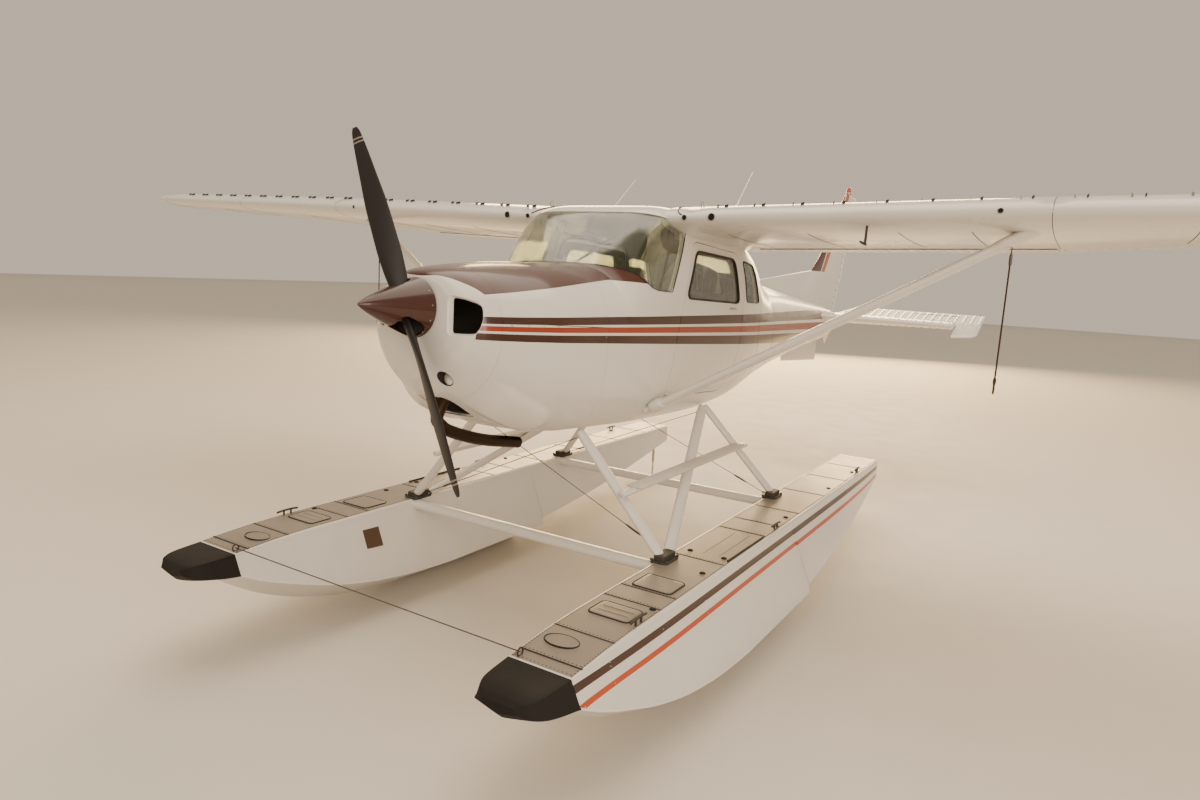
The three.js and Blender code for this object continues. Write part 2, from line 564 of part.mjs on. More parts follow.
const windshieldPane = acrossPlate(shrunk(WINDSHIELD_OUTLINE, REST_GAP), 700);
add(airframe, "windshield", glassSkin.intersect(windshieldPane), CLEAR);
[["left", 0], ["right", 1]].forEach(([side, k]) => {
  add(airframe, `side_window_${side}`, glassSkin.intersect(panes(SIDE_WINDOW_OUTLINE, 45)[k]), CLEAR);
  add(airframe, `door_glass_${side}`, glassSkin.intersect(panes(DOOR_WINDOW_OUTLINE, 55)[k]), CLEAR);
  const leaf = cabinWall.intersect(sides(shrunk(DOOR_OUTLINE, RUN_GAP), 66)[k]).subtract(doorWindowCuts[k]);
  const hinges = k ? doorKnuckles.map(flipped) : doorKnuckles;
  add(airframe, `door_${side}`, union(leaf, ...hinges), WHITE);
});

// Tail cone: a thin shell, open at the cabin end, with the rear window in its top
const tailOuter = solid(bodyLoft(FUSELAGE.tailSeam, FUSELAGE.end));
const tailInner = solid(bodyLoft(FUSELAGE.tailSeam - 10, FUSELAGE.end - 20, TAIL_WALL));
const tail = tailOuter.subtract(tailInner).subtract(rearWindowCut);
const rearGlassSkin = solid(bodyLoft(2200, 3200)).subtract(solid(bodyLoft(2190, 3210, GLASS)));
const rearPane = acrossPlate(shrunk(REAR_WINDOW_OUTLINE, REST_GAP), REAR_WINDOW_HALF - REST_GAP);
add(airframe, "rear_window", rearGlassSkin.intersect(rearPane), CLEAR);

// Cabin fittings: floor, panel and seats
const cabinRoom = solid(
  bodyLoft(FUSELAGE.firewall + 20 + REST_GAP, FUSELAGE.tailSeam - 20, CABIN_WALL + 2 * REST_GAP));
const floorBlock = solid(block([-500, FLOOR.from, FLOOR.low], [500, FLOOR.to, FLOOR.high]));
add(airframe, "cabin_floor", floorBlock.intersect(cabinRoom), TRIM);
add(airframe, "instrument_panel", solid(sidePlate(PANEL_OUTLINE, -520, 520, 20)).intersect(cabinRoom), TRIM);
const seatSlab = (outline, y, x0, x1) =>
  solid(sidePlate(outline.map(([dy, dz]) => [y + dy, FLOOR.high + REST_GAP + dz]), x0, x1, 30));
for (const [name, y, x0, x1, headMiddles] of [
  ["seat_front_left", SEAT.frontY, SEAT.inner, SEAT.outer, [240]],
  ["seat_front_right", SEAT.frontY, -SEAT.outer, -SEAT.inner, [-240]],
  ["seat_rear", SEAT.rearY, -SEAT.rearOuter, SEAT.rearOuter, [-220, 220]],
]) {
  const heads = headMiddles.map((x) => seatSlab(HEAD_REST_OUTLINE, y, x - SEAT.headHalf, x + SEAT.headHalf));
  add(airframe, name, union(seatSlab(SEAT_OUTLINE, y, x0, x1), ...heads).intersect(cabinRoom), CLOTH);
}

// Wing: a cambered four-digit section, with flap and aileron cut out of it
const EDGE_SHARE = 0.0012; // half the trailing edge's thickness, as a share of the chord
const halfThickness = (c, ratio) =>
  5 * ratio * (0.2969 * Math.sqrt(c) - 0.126 * c - 0.3516 * c ** 2 + 0.2843 * c ** 3 - 0.1015 * c ** 4);
const meanLine = (c) => {
  const { camber: m, camberAt: p } = WING;
  return c < p ? (m / p ** 2) * (2 * p * c - c * c) : (m / (1 - p) ** 2) * (1 - 2 * p + 2 * p * c - c * c);
};
function airfoilRing(x, leadY, leadZ, chord, twist, ratio = WING.thickness) {
  const [cos, sin] = [Math.cos(twist), Math.sin(twist)];
  const place = (c, side) => {
    const half = Math.max(halfThickness(c, ratio), c > 0.5 ? EDGE_SHARE : 0);
    const [y, z] = [c * chord, (meanLine(c) + side * half) * chord];
    return vec(x, leadY + y * cos + z * sin, leadZ - y * sin + z * cos);
  };
  const steps = Array.from({ length: AIRFOIL_STEPS + 1 }, (_, i) =>
    0.5 - 0.5 * Math.cos((Math.PI * i) / AIRFOIL_STEPS));
  return [...steps.map((c) => place(1 - c, 1)), ...steps.slice(1).map((c) => place(c, -1))];
}
const wingZ = (x) => WING.rootZ + (x - WING.fromX) * Math.tan(DIHEDRAL);
const outboard = (x) => Math.max(0, (x - WING.jointX) / (TIP_FROM - WING.jointX));
const wingRow = (x) => ({
  leadY: blend(WING.leadY, WING.tipLeadY, outboard(x)),
  chord: blend(WING.rootChord, WING.tipChord, outboard(x)),
  twist: blend(ROOT_TWIST, TIP_TWIST, outboard(x)),
});
const wingRing = (x, front = 0, back = 0, share = 1) => {
  const row = wingRow(Math.min(x, TIP_FROM));
  const chord = row.chord - front - back;
  return airfoilRing(x, row.leadY + front, wingZ(x), chord, row.twist, WING.thickness * share);
};
const wingRings = [wingRing(WING.rootX), wingRing(WING.jointX), ...TIP_TABLE.map((row) => wingRing(...row))];
const wingWhole = solid(loft(wingRings));
const bodyRoom = solid(bodyLoft(200, FUSELAGE.tailSeam, -REST_GAP));
const planPrism = (corners, z0 = 300, z1 = 1200) =>
  solid(loft([z0, z1].map((z) => corners.map(([x, y]) => vec(x, y, z)))));
const BEHIND_WING = 2500;
// The part of the wing behind a line between two stations, widened by gaps for the hole that it leaves
const behindLine = (surfaceAt, y0, y1, ends = 0, ahead = 0) => planPrism([
  [surfaceAt.fromX - ends, y0 - ahead], [surfaceAt.toX + ends, y1 - ahead],
  [surfaceAt.toX + ends, BEHIND_WING], [surfaceAt.fromX - ends, BEHIND_WING],
]);
const flapCut = behindLine(FLAP, FLAP.coveY, FLAP.coveY, RUN_GAP, COVE_GAP);
const aileronCut = behindLine(AILERON, AILERON.fromY, AILERON.toY, RUN_GAP, COVE_GAP);
const aileronCoveY = (x) =>
  blend(AILERON.fromY, AILERON.toY, (x - AILERON.fromX) / (AILERON.toX - AILERON.fromX));

// Height of the wing's upper or lower skin
function skinZ(x, y, side) {
  const row = wingRow(x);
  const c = (y - row.leadY) / row.chord;
  const fromMean = meanLine(c) + side * halfThickness(c, WING.thickness);
  return wingZ(x) - (y - row.leadY) * Math.sin(row.twist) + fromMean * row.chord;
}
// A point of a hinge line, just inside the lower or the upper skin
const hingePoint = (x, coveY, side) => {
  const y = coveY + HINGE_IN;
  return vec(x, y, skinZ(x, y, side) - side * HINGE_IN);
};
const flapAxis = [FLAP.fromX, FLAP.toX].map((x) => hingePoint(x, FLAP.coveY, -1));
const aileronAxis = [AILERON.fromX, AILERON.toX].map((x) => hingePoint(x, aileronCoveY(x), 1));
const bosses = [flapAxis, aileronAxis].flatMap(([inner, outer]) => {
  const line = outer.clone().sub(inner).normalize();
  const out = (at, distance) => at.clone().addScaledVector(line, distance).toArray();
  const stub = (at, side) => solid(rod(out(at, side), out(at, side * (RUN_GAP + BITE)), 6, 8));
  return [stub(inner, -1), stub(outer, 1)];
});
const wing = union(wingWhole.subtract(flapCut).subtract(aileronCut), ...bosses).subtract(bodyRoom);
const flap = wingWhole.intersect(behindLine(FLAP, FLAP.coveY, FLAP.coveY));
const bevel = solid(loft(aileronAxis.map((p, i) => {
  const x = p.x + (i ? 20 : -20);
  const y = aileronCoveY(x);
  return [vec(x, y - 5, p.z + 6), vec(x, y, p.z + 6), vec(x, y + 80, p.z - 160), vec(x, y - 5, p.z - 160)];
})));
const aileron = wingWhole.intersect(behindLine(AILERON, AILERON.fromY, AILERON.toY)).subtract(bevel);

// Wing strut, cut off just below the wing and just outside the body, with the eye that holds its rope
const strutWhole = union(
  solid(bar(STRUT.foot, STRUT.head, STRUT.chord, STRUT.thick, 12)),
  solid(bar(CUFF.from, STRUT.head, CUFF.chord, CUFF.thick, 12)),
);
const lowered = wingRings.slice(0, 4).map((ring) => ring.map((p) => p.clone().add(vec(0, 0, -REST_GAP))));
const wingRoom = solid(loft(lowered)).add(solid(block([2000, 600, 690], [3000, 1600, 1200])));
const ropeTop = toGear(vec(...ROPE.top));
const EYE_LENGTH = 45;
const eyeEnds = [REST_GAP, EYE_LENGTH].map((up) => toAir(ropeTop.clone().add(vec(0, 0, up))).toArray());
const strut = strutWhole.add(solid(rod(...eyeEnds, 9, 8))).subtract(wingRoom).subtract(bodyRoom);
for (const [side, turn] of [["left", (m) => m], ["right", flipped]]) {
  add(airframe, `wing_${side}`, turn(wing).subtract(bodyRoom), WHITE);
  add(airframe, `flap_${side}`, turn(flap), WHITE);
  add(airframe, `aileron_${side}`, turn(aileron), WHITE);
  add(airframe, `wing_strut_${side}`, turn(strut), WHITE);
}

// Tail surfaces: a lens-shaped section for the fixed ones,
// and a round nose with a straight taper for the moving ones
function lensRing(place, lead, trail, thick) {
  const shape = [[0, 0.12], [0.08, 0.62], [0.3, 1], [0.7, 0.94], [1, 0.8]];
  const point = ([c, t], side) => place(blend(lead, trail, c), (side * t * thick) / 2);
  return [...shape.map((p) => point(p, 1)), ...shape.reverse().map((p) => point(p, -1))];
}
function teardropRing(place, hinge, trail, radius) {
  const nose = Array.from({ length: 9 }, (_, i) => Math.PI / 2 + (Math.PI * i) / 8);
  const round = nose.map((a) => place(hinge + radius * Math.cos(a), radius * Math.sin(a)));
  return [...round, place(trail, -4), place(trail, 4)];
}
const flatAt = (x) => (y, t) => vec(x, y, STABILIZER.z + t);
const stabRow = (x) => {
  const t = x / STABILIZER.tipX;
  const { rootLead, tipLead, rootThick, tipThick } = STABILIZER;
  return [blend(rootLead, tipLead, t), blend(rootThick, tipThick, t)];
};
const noseR = (x) => stabRow(x)[1] * 0.4;
const stabRing = (x, grow = 0) => lensRing(
  flatAt(x), stabRow(x)[0] - grow, ELEVATOR.hingeY - noseR(x) - RUN_GAP + grow, stabRow(x)[1] + 3 * grow);
const stabTipX = ELEVATOR.hornX - RUN_GAP;
const STAB_MID_X = 1400;
const stabHalf = solid(loft([0, STAB_MID_X, stabTipX].map((x) => stabRing(x))));
// Hinge pads, which reach back to the elevator's nose
const PAD_HALF = 12;
const stabPads = [-1150, -250, 250, 1150].map((x) => {
  const nose = ELEVATOR.hingeY - noseR(Math.abs(x));
  return solid(block(
    [x - PAD_HALF, nose - RUN_GAP - BITE, STABILIZER.z - PAD_HALF],
    [x + PAD_HALF, nose - 2 * REST_GAP, STABILIZER.z + PAD_HALF]));
});
const stabilizer = union(stabHalf, flipped(stabHalf), ...stabPads);
const roomHalf = solid(loft([0, STAB_MID_X].map((x) => stabRing(x, 2 * REST_GAP))));
const stabRoom = roomHalf.add(flipped(roomHalf));
add(airframe, "stabilizer", stabilizer, WHITE);

const elevatorRow = (x) => blend(ELEVATOR.rootTrail, ELEVATOR.tipTrail, x / STABILIZER.tipX);
const atHinge = (x) => (y, t) => vec(x, y - ELEVATOR.hingeY, t);
const elevatorMain = loft([ELEVATOR.innerX, ELEVATOR.hornX, STABILIZER.tipX].map((x) =>
  teardropRing(atHinge(x), ELEVATOR.hingeY, elevatorRow(x), noseR(x))));
const horn = loft([ELEVATOR.hornX, STABILIZER.tipX].map((x) =>
  lensRing(atHinge(x), stabRow(x)[0], ELEVATOR.hingeY + 20, 2 * noseR(x))));
const rudderRoom = solid(loft([-60, 60].map((z) => [
  vec(-400, -100, z), vec(ELEVATOR.innerX + 1, -100, z), vec(ELEVATOR.innerX + 1, 0, z),
  vec(260, 480, z), vec(-400, 480, z),
])));
const elevatorHalf = union(solid(elevatorMain).subtract(rudderRoom), solid(horn));
const elevatorShape = union(elevatorHalf, flipped(elevatorHalf), solid(rod([-100, 0, 0], [100, 0, 0], 18)));
const elevator = add(airframe, "elevator", elevatorShape, WHITE);
elevator.position.set(0, ELEVATOR.hingeY, STABILIZER.z);
elevator.rotation.x = degrees(ELEVATOR.restUp);

// Fin with its long dorsal fillet, and the rudder behind the swept hinge line
const hingeYAt = (z) => blend(FIN.baseHingeY, FIN.topHingeY, (z - FIN.baseZ) / (FIN.topZ - FIN.baseZ));
const upright = (z) => (y, t) => vec(t, y, z);
const hingeLean = Math.atan2(FIN.topHingeY - FIN.baseHingeY, FIN.topZ - FIN.baseZ);
// From the leaning hinge line to the rudder's nose, measured along Y
const noseReach = RUDDER.nose / Math.cos(hingeLean);
const finBackY = (z) => hingeYAt(z) - noseReach - RUN_GAP;
const finWhole = solid(loft(FIN_TABLE.map(([z, lead, thick]) =>
  lensRing(upright(z), lead, finBackY(z), thick))));
const dorsal = solid(loft([
  [vec(-4, 3250, 300), vec(4, 3250, 300), vec(4, 3250, 425), vec(-4, 3250, 425)],
  [vec(-30, 5250, 200), vec(30, 5250, 200), vec(14, 5250, 700), vec(-14, 5250, 700)],
]));
const rudderPads = [360, 1150].map((z) => solid(loft([z - 14, z + 14].map((h) => {
  const [front, back] = [finBackY(h) - BITE, hingeYAt(h) - noseReach - RUDDER.padGap];
  return [vec(-10, front, h), vec(10, front, h), vec(10, back, h), vec(-10, back, h)];
}))));
const tailRoom = solid(bodyLoft(2900, FUSELAGE.end + 5, -REST_GAP))
  .add(slab(FUSELAGE.end - 5, 7000, -100, 262));
add(airframe, "fin", union(finWhole, dorsal, ...rudderPads).subtract(tailRoom).subtract(stabRoom), WHITE);

const rudderRing = (z, chord) => {
  const up = (z - RUDDER.bottomZ) / Math.cos(hingeLean);
  return teardropRing((y, t) => vec(t, y, up), 0, chord, RUDDER.nose);
};
const rudderShape = solid(loft(RUDDER_TABLE.map(([z, chord]) => rudderRing(z, chord))));
const rudderMast = new THREE.Group();
rudderMast.position.set(0, hingeYAt(RUDDER.bottomZ), RUDDER.bottomZ);
rudderMast.rotation.x = -hingeLean;
const rudder = add(rudderMast, "rudder", rudderShape, WHITE);
rudder.rotation.z = degrees(RUDDER.restRight);
airframe.add(rudderMast);
const beaconProfile = [[0, 0], [1, 0], [1, 0.25], [0.85, 0.3], [0.85, 0.62], [0.66, 0.88], [0.3, 1], [0, 1]]
  .map(([r, h]) => new THREE.Vector2(r * BEACON.radius, REST_GAP + h * BEACON.height));
const beacon = new THREE.LatheGeometry(beaconProfile, 14).rotateX(Math.PI / 2);
add(airframe, "beacon", solid(beacon.translate(0, BEACON.y, BEACON.z)), LAMP_RED);

// Ventral fin below the tail cone
const ventral = solid(loft(VENTRAL_TABLE.map(([z, lead, trail, thick]) =>
  lensRing(upright(z), lead, trail, thick))));
add(airframe, "ventral_fin", ventral.subtract(solid(bodyLoft(2900, FUSELAGE.end + 40, -REST_GAP))), WHITE);

const cabinRing = solid(bodyLoft(2000, FUSELAGE.tailSeam, -1));
add(airframe, "tail_cone", tail.subtract(stabRoom).subtract(cabinRing), WHITE);

// Floats
function hullRing([y, deck, deckHalf, chineHalf, chine, keel], grow = 0) {
  const round = 0.06 * (deck - chine);
  const half = [
    [0, keel - grow], [chineHalf + grow, chine - grow], [chineHalf - 5 + grow, chine + round],
    [deckHalf + 0.7 * round + grow, deck - round], [deckHalf + grow, deck + grow],
  ];
  return [...half, ...half.slice(1).reverse().map(([x, z]) => [-x, z])].map(([x, z]) => vec(x, y, z));
}
const hull = (grow = 0) => solid(loft(FOREBODY_TABLE.map((row) => hullRing(row, grow))))
  .add(solid(loft(AFTERBODY_TABLE.map((row) => hullRing(row, grow)))));
const deckPads = [FLOAT_FRONT, FLOAT_REAR].map(([x, y]) => {
  const middle = FLOAT_X - x - 5;
  return solid(block(
    [middle - PAD[0] / 2, y - PAD[1] / 2, DECK - BITE],
    [middle + PAD[0] / 2, y + PAD[1] / 2, DECK + PAD[2]]));
});
const transomArms = RUDDER_POST.arms.map((z) =>
  solid(block([-22, STERN_Y - BITE, z - 7], [22, RUDDER_POST.y + 20, z + 7])));
const floatShape = union(hull(), ...deckPads.map(flipped), ...transomArms)
  .subtract(solid(rod([0, RUDDER_POST.y, 400], [0, RUDDER_POST.y, 620], RUDDER_POST.radius + 1)));
const bumperShape = solid(loft(BUMPER_TABLE.map((row) => hullRing(row))));
const waterRudderShape = union(
  solid(rod([0, 0, RUDDER_POST.low], [0, 0, RUDDER_POST.high], RUDDER_POST.radius)),
  solid(sidePlate(WATER_BLADE_OUTLINE, -5, 5, 30)),
  solid(rod([0, 0, 515], [0, 0, 545], 20)),
);
for (const [side, s, turn] of [["left", 1, (m) => m], ["right", -1, flipped]]) {
  const water = new THREE.Group();
  water.position.set(s * FLOAT_X, 0, 0);
  add(water, `float_${side}`, turn(floatShape), WHITE);
  add(water, `bumper_${side}`, bumperShape, RUBBER);
  const helm = add(water, `water_rudder_${side}`, waterRudderShape, METAL);
  helm.position.y = RUDDER_POST.y;
  helm.rotation.z = degrees(RUDDER.restRight * RUDDER.waterRatio);
  gear.add(water);
}

// Struts between floats and fuselage, boarding steps and spreader bars
const lugRooms = [BODY_FRONT, BODY_REAR].map((p) => solid(inGear(lugBlock(p, 1, REST_GAP))));
const deckRoom = solid(block([0, -SPACE, 0], [2500, 5000, DECK + PAD[2] + REST_GAP]));
const minus = (manifold, cuts) => cuts.reduce((m, cut) => m.subtract(cut), manifold);
const shifted = ([x, y, z], dy, dz) => [x, y + dy, z + dz];
const FRONT_STRUT = [shifted(FLOAT_FRONT, -24, -32), shifted(BODY_FRONT, 0, 10)];
const REAR_STRUT = [shifted(FLOAT_REAR, 18, -32), shifted(BODY_REAR, 24, 10)];
const DIAGONAL_STRUT = [shifted(FLOAT_FRONT, 40, -52), shifted(BODY_REAR, -30, 10)];
const gearStrut = ([low, high], grow = 0) =>
  solid(bar(low, high, GEAR_STRUT.chord + 2 * grow, GEAR_STRUT.thick + 2 * grow));
const strutRoom = (ends) => gearStrut(ends, REST_GAP + 0.2);
const [frontStrut, rearStrut, diagonalWhole] = [FRONT_STRUT, REAR_STRUT, DIAGONAL_STRUT].map((ends) =>
  minus(gearStrut(ends), [...lugRooms, deckRoom]));
const [frontRoom, rearRoom, diagonalRoom] = [FRONT_STRUT, REAR_STRUT, DIAGONAL_STRUT].map(strutRoom);
const diagonal = minus(diagonalWhole, [frontRoom, rearRoom]);
const stepWhole = solid(bar(
  [STEP_BAR.x, STEP_BAR.from, STEP_BAR.z], [STEP_BAR.x, STEP_BAR.to, STEP_BAR.z + STEP_BAR.rise],
  STEP_BAR.chord, STEP_BAR.thick,
));
const stepBar = minus(stepWhole, [frontRoom, rearRoom, diagonalRoom]);
for (const [side, turn] of [["left", (m) => m], ["right", flipped]]) {
  add(gear, `float_strut_front_${side}`, turn(frontStrut), WHITE);
  add(gear, `float_strut_diagonal_${side}`, turn(diagonal), WHITE);
  add(gear, `float_strut_rear_${side}`, turn(rearStrut), WHITE);
  add(gear, `boarding_step_${side}`, turn(stepBar), WHITE);
}
const hullRooms = [1, -1].map((s) => solid(surface(hull(REST_GAP)).translate(s * FLOAT_X, 0, 0)));
["spreader_front", "spreader_rear"].forEach((name, k) => {
  const y = SPREADER.stations[k];
  const tube = solid(bar(
    [-SPREADER.reach, y, SPREADER.z], [SPREADER.reach, y, SPREADER.z], SPREADER.chord, SPREADER.thick, 12));
  add(gear, name, minus(tube, hullRooms), WHITE);
});

// Handling ropes that hang from the struts
for (const [side, s] of [["left", 1], ["right", -1]]) {
  const [x, y, z] = [s * ropeTop.x, ropeTop.y, ropeTop.z];
  add(gear, `rope_${side}`, solid(rod([x, y, z - ROPE.length], [x, y, z], ROPE.radius, 8)), CORD);
}

export default floatplane;
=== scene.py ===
"""A high-wing aeroplane on twin floats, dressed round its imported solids.

Units are metres. +X is to the aeroplane's left, +Y aft and +Z up, with the ground under the keels at zero.
"""

import json
import logging
import math
from dataclasses import dataclass, field
from enum import Enum
from typing import Callable, Sequence

import bmesh
import bpy
import numpy as np
from mathutils import Matrix

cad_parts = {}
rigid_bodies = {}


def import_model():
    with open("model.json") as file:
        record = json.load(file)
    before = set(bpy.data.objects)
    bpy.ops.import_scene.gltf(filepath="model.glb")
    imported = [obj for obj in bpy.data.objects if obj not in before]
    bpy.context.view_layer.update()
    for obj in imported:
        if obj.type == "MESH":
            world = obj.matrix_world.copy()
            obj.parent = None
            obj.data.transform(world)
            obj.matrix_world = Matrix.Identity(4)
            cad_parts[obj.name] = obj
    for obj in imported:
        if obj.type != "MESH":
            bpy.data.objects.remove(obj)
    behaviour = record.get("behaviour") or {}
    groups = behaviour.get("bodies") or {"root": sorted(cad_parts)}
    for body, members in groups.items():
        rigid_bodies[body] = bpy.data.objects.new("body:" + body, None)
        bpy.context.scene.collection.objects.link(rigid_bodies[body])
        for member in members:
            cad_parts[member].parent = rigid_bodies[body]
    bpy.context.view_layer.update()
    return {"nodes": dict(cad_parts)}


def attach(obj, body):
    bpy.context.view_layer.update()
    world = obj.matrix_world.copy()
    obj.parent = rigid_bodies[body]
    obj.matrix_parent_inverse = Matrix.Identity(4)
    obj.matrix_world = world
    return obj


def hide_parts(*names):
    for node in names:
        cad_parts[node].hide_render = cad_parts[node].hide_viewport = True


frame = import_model()
log = logging.getLogger("floatplane")

# How the airframe stands on the floats: airframe stations start at the firewall on the thrust line
NOSE_UP = math.radians(2.9)
THRUST_HEIGHT = 1.922
FIREWALL_Y = -2.647
FLOAT_X = 1.089


class Place(Enum):
    """The set of axes that a shape is drawn in."""

    PART = "part"
    AIRFRAME = "airframe"
    FLOATS = "floats"


def placed(points: np.ndarray, place: Place) -> np.ndarray:
    """Carry points from a sub-assembly's axes into the part's.

    Args:
        points: an array whose last axis is x, y, z.
        place: the axes that the points are given in.

    Returns:
        The same array in the part's axes.
    """
    out = np.array(points, float)
    if place is Place.AIRFRAME:
        y, z = out[..., 1].copy(), out[..., 2].copy()
        out[..., 1] = FIREWALL_Y + y * math.cos(NOSE_UP) + z * math.sin(NOSE_UP)
        out[..., 2] = THRUST_HEIGHT - y * math.sin(NOSE_UP) + z * math.cos(NOSE_UP)
    if place is Place.FLOATS:
        out[..., 1] += FIREWALL_Y
    return out


class Table:
    """Columns of numbers joined by smooth curves that never overshoot, over the first column."""

    def __init__(self, rows: Sequence[Sequence[float]]) -> None:
        """Work out each column's slopes: the harmonic mean of its two neighbours, or none at a peak.

        Args:
            rows: the table, first column rising.
        """
        data = np.array(rows, float)
        self.at, self.value = data[:, 0], data[:, 1:]
        slope = np.diff(self.value, axis=0) / np.diff(self.at)[:, None]
        product = slope[:-1] * slope[1:]
        same = product > 0
        inner = np.where(same, 2 * product / np.where(same, slope[:-1] + slope[1:], 1), 0)
        self.slope = np.concatenate([slope[:1], inner, slope[-1:]])

    def __call__(self, x: np.ndarray) -> np.ndarray:
        """Read the table by cubic Hermite pieces.

        Args:
            x: where to read it, any shape.

        Returns:
            The columns, first axis, at each place.
        """
        x = np.asarray(x, float)
        k = np.clip(np.searchsorted(self.at, x, side="right") - 1, 0, len(self.at) - 2)
        width = (self.at[k + 1] - self.at[k])[..., None]
        t = np.clip((x - self.at[k])[..., None] / width, 0, 1)
        out = (2 * t**3 - 3 * t**2 + 1) * self.value[k] + (t**3 - 2 * t**2 + t) * width * self.slope[k]
        out = out + (3 * t**2 - 2 * t**3) * self.value[k + 1] + (t**3 - t**2) * width * self.slope[k + 1]
        return np.moveaxis(out, -1, 0)


def ease(x: np.ndarray, low: float, high: float) -> np.ndarray:
    """Rise smoothly from 0 at low to 1 at high: 3 t squared less 2 t cubed."""
    t = np.clip((np.asarray(x, float) - low) / (high - low), 0, 1)
    return t * t * (3 - 2 * t)


def outward(surface: Callable, u: np.ndarray, v: np.ndarray, step: float = 1e-3) -> np.ndarray:
    """Which way a surface of two parameters faces: the cross product of its two small differences.

    Args:
        surface: turns the two parameters into points.
        u: the first parameter.
        v: the second parameter.
        step: the small difference.

    Returns:
        One direction for each point, pointing out.
    """
    along = surface(u + step, v) - surface(u - step, v)
    across = surface(u, v + step) - surface(u, v - step)
    return np.cross(along, across)


def spread(*arrays: np.ndarray) -> np.ndarray:
    """Stack x, y and z of any matching shapes into one array of points."""
    return np.stack(np.broadcast_arrays(*arrays), -1).astype(float)


def even(outline: np.ndarray, count: int, closed: bool = True) -> np.ndarray:
    """Space points evenly along an outline or a path.

    Args:
        outline: its corners, one row each.
        count: how many points to return.
        closed: whether the last point joins the first.

    Returns:
        The evenly spaced points.
    """
    ring = np.concatenate([outline, outline[:1]]) if closed else np.asarray(outline, float)
    run = np.concatenate([[0], np.cumsum(np.linalg.norm(np.diff(ring, axis=0), axis=1))])
    at = np.linspace(0, run[-1], count + 1)[:-1] if closed else np.linspace(0, run[-1], count)
    return np.stack([np.interp(at, run, column) for column in ring.T], -1)


def rounded(corners: Sequence[Sequence[float]], radius: float, count: int = 72) -> np.ndarray:
    """Draw a flat closed outline with round corners.

    Each corner is a quadratic curve: it leaves one side and joins the next at the radius from the corner.

    Args:
        corners: the outline's corners.
        radius: how far from a corner its curve starts.
        count: how many points the outline has.

    Returns:
        The outline's points, evenly spaced.
    """
    p = np.array(corners, float)
    sides = [np.roll(p, 1, 0) - p, np.roll(p, -1, 0) - p]
    length = [np.linalg.norm(s, axis=1, keepdims=True) for s in sides]
    start, stop = [p + s / n * np.minimum(radius, n / 2) for s, n in zip(sides, length)]
    t = np.linspace(0, 1, 8)[None, :, None]
    curve = (1 - t) ** 2 * start[:, None] + 2 * t * (1 - t) * p[:, None] + t**2 * stop[:, None]
    return even(curve.reshape(-1, 2), count)


def oblong(
    middle: Sequence[float], half: Sequence[float], corner: float, count: int = 40
) -> np.ndarray:
    """Draw a rectangle with round corners.

    Args:
        middle: its middle.
        half: half its size each way.
        corner: how far from a corner its curve starts.
        count: how many points the outline has.

    Returns:
        The outline's points, evenly spaced.
    """
    (x, y), (a, b) = middle, half
    return rounded([(x - a, y - b), (x + a, y - b), (x + a, y + b), (x - a, y + b)], corner, count)


def at_level(z: float) -> Callable:
    """A flat surface at a level, which turns flat points and a depth below it into points."""
    return lambda flat, depth=0.0: spread(flat[:, 0], flat[:, 1], z - depth + 0 * flat[:, 0])


def closed(outline: np.ndarray) -> np.ndarray:
    """An outline with its first point again at its end."""
    return np.concatenate([outline, outline[:1]])


def inset(outline: np.ndarray, by: float) -> np.ndarray:
    """Move a flat closed outline inwards along its own normals.

    Args:
        outline: the outline's points.
        by: how far, negative for outwards.

    Returns:
        The moved outline.
    """
    along = np.roll(outline, -1, 0) - np.roll(outline, 1, 0)
    normal = np.stack([along[:, 1], -along[:, 0]], -1)
    normal /= np.linalg.norm(normal, axis=1, keepdims=True) + 1e-12
    x, y = outline.T
    area = np.sum(x * np.roll(y, -1) - y * np.roll(x, -1))
    return outline - normal * by * np.sign(area)


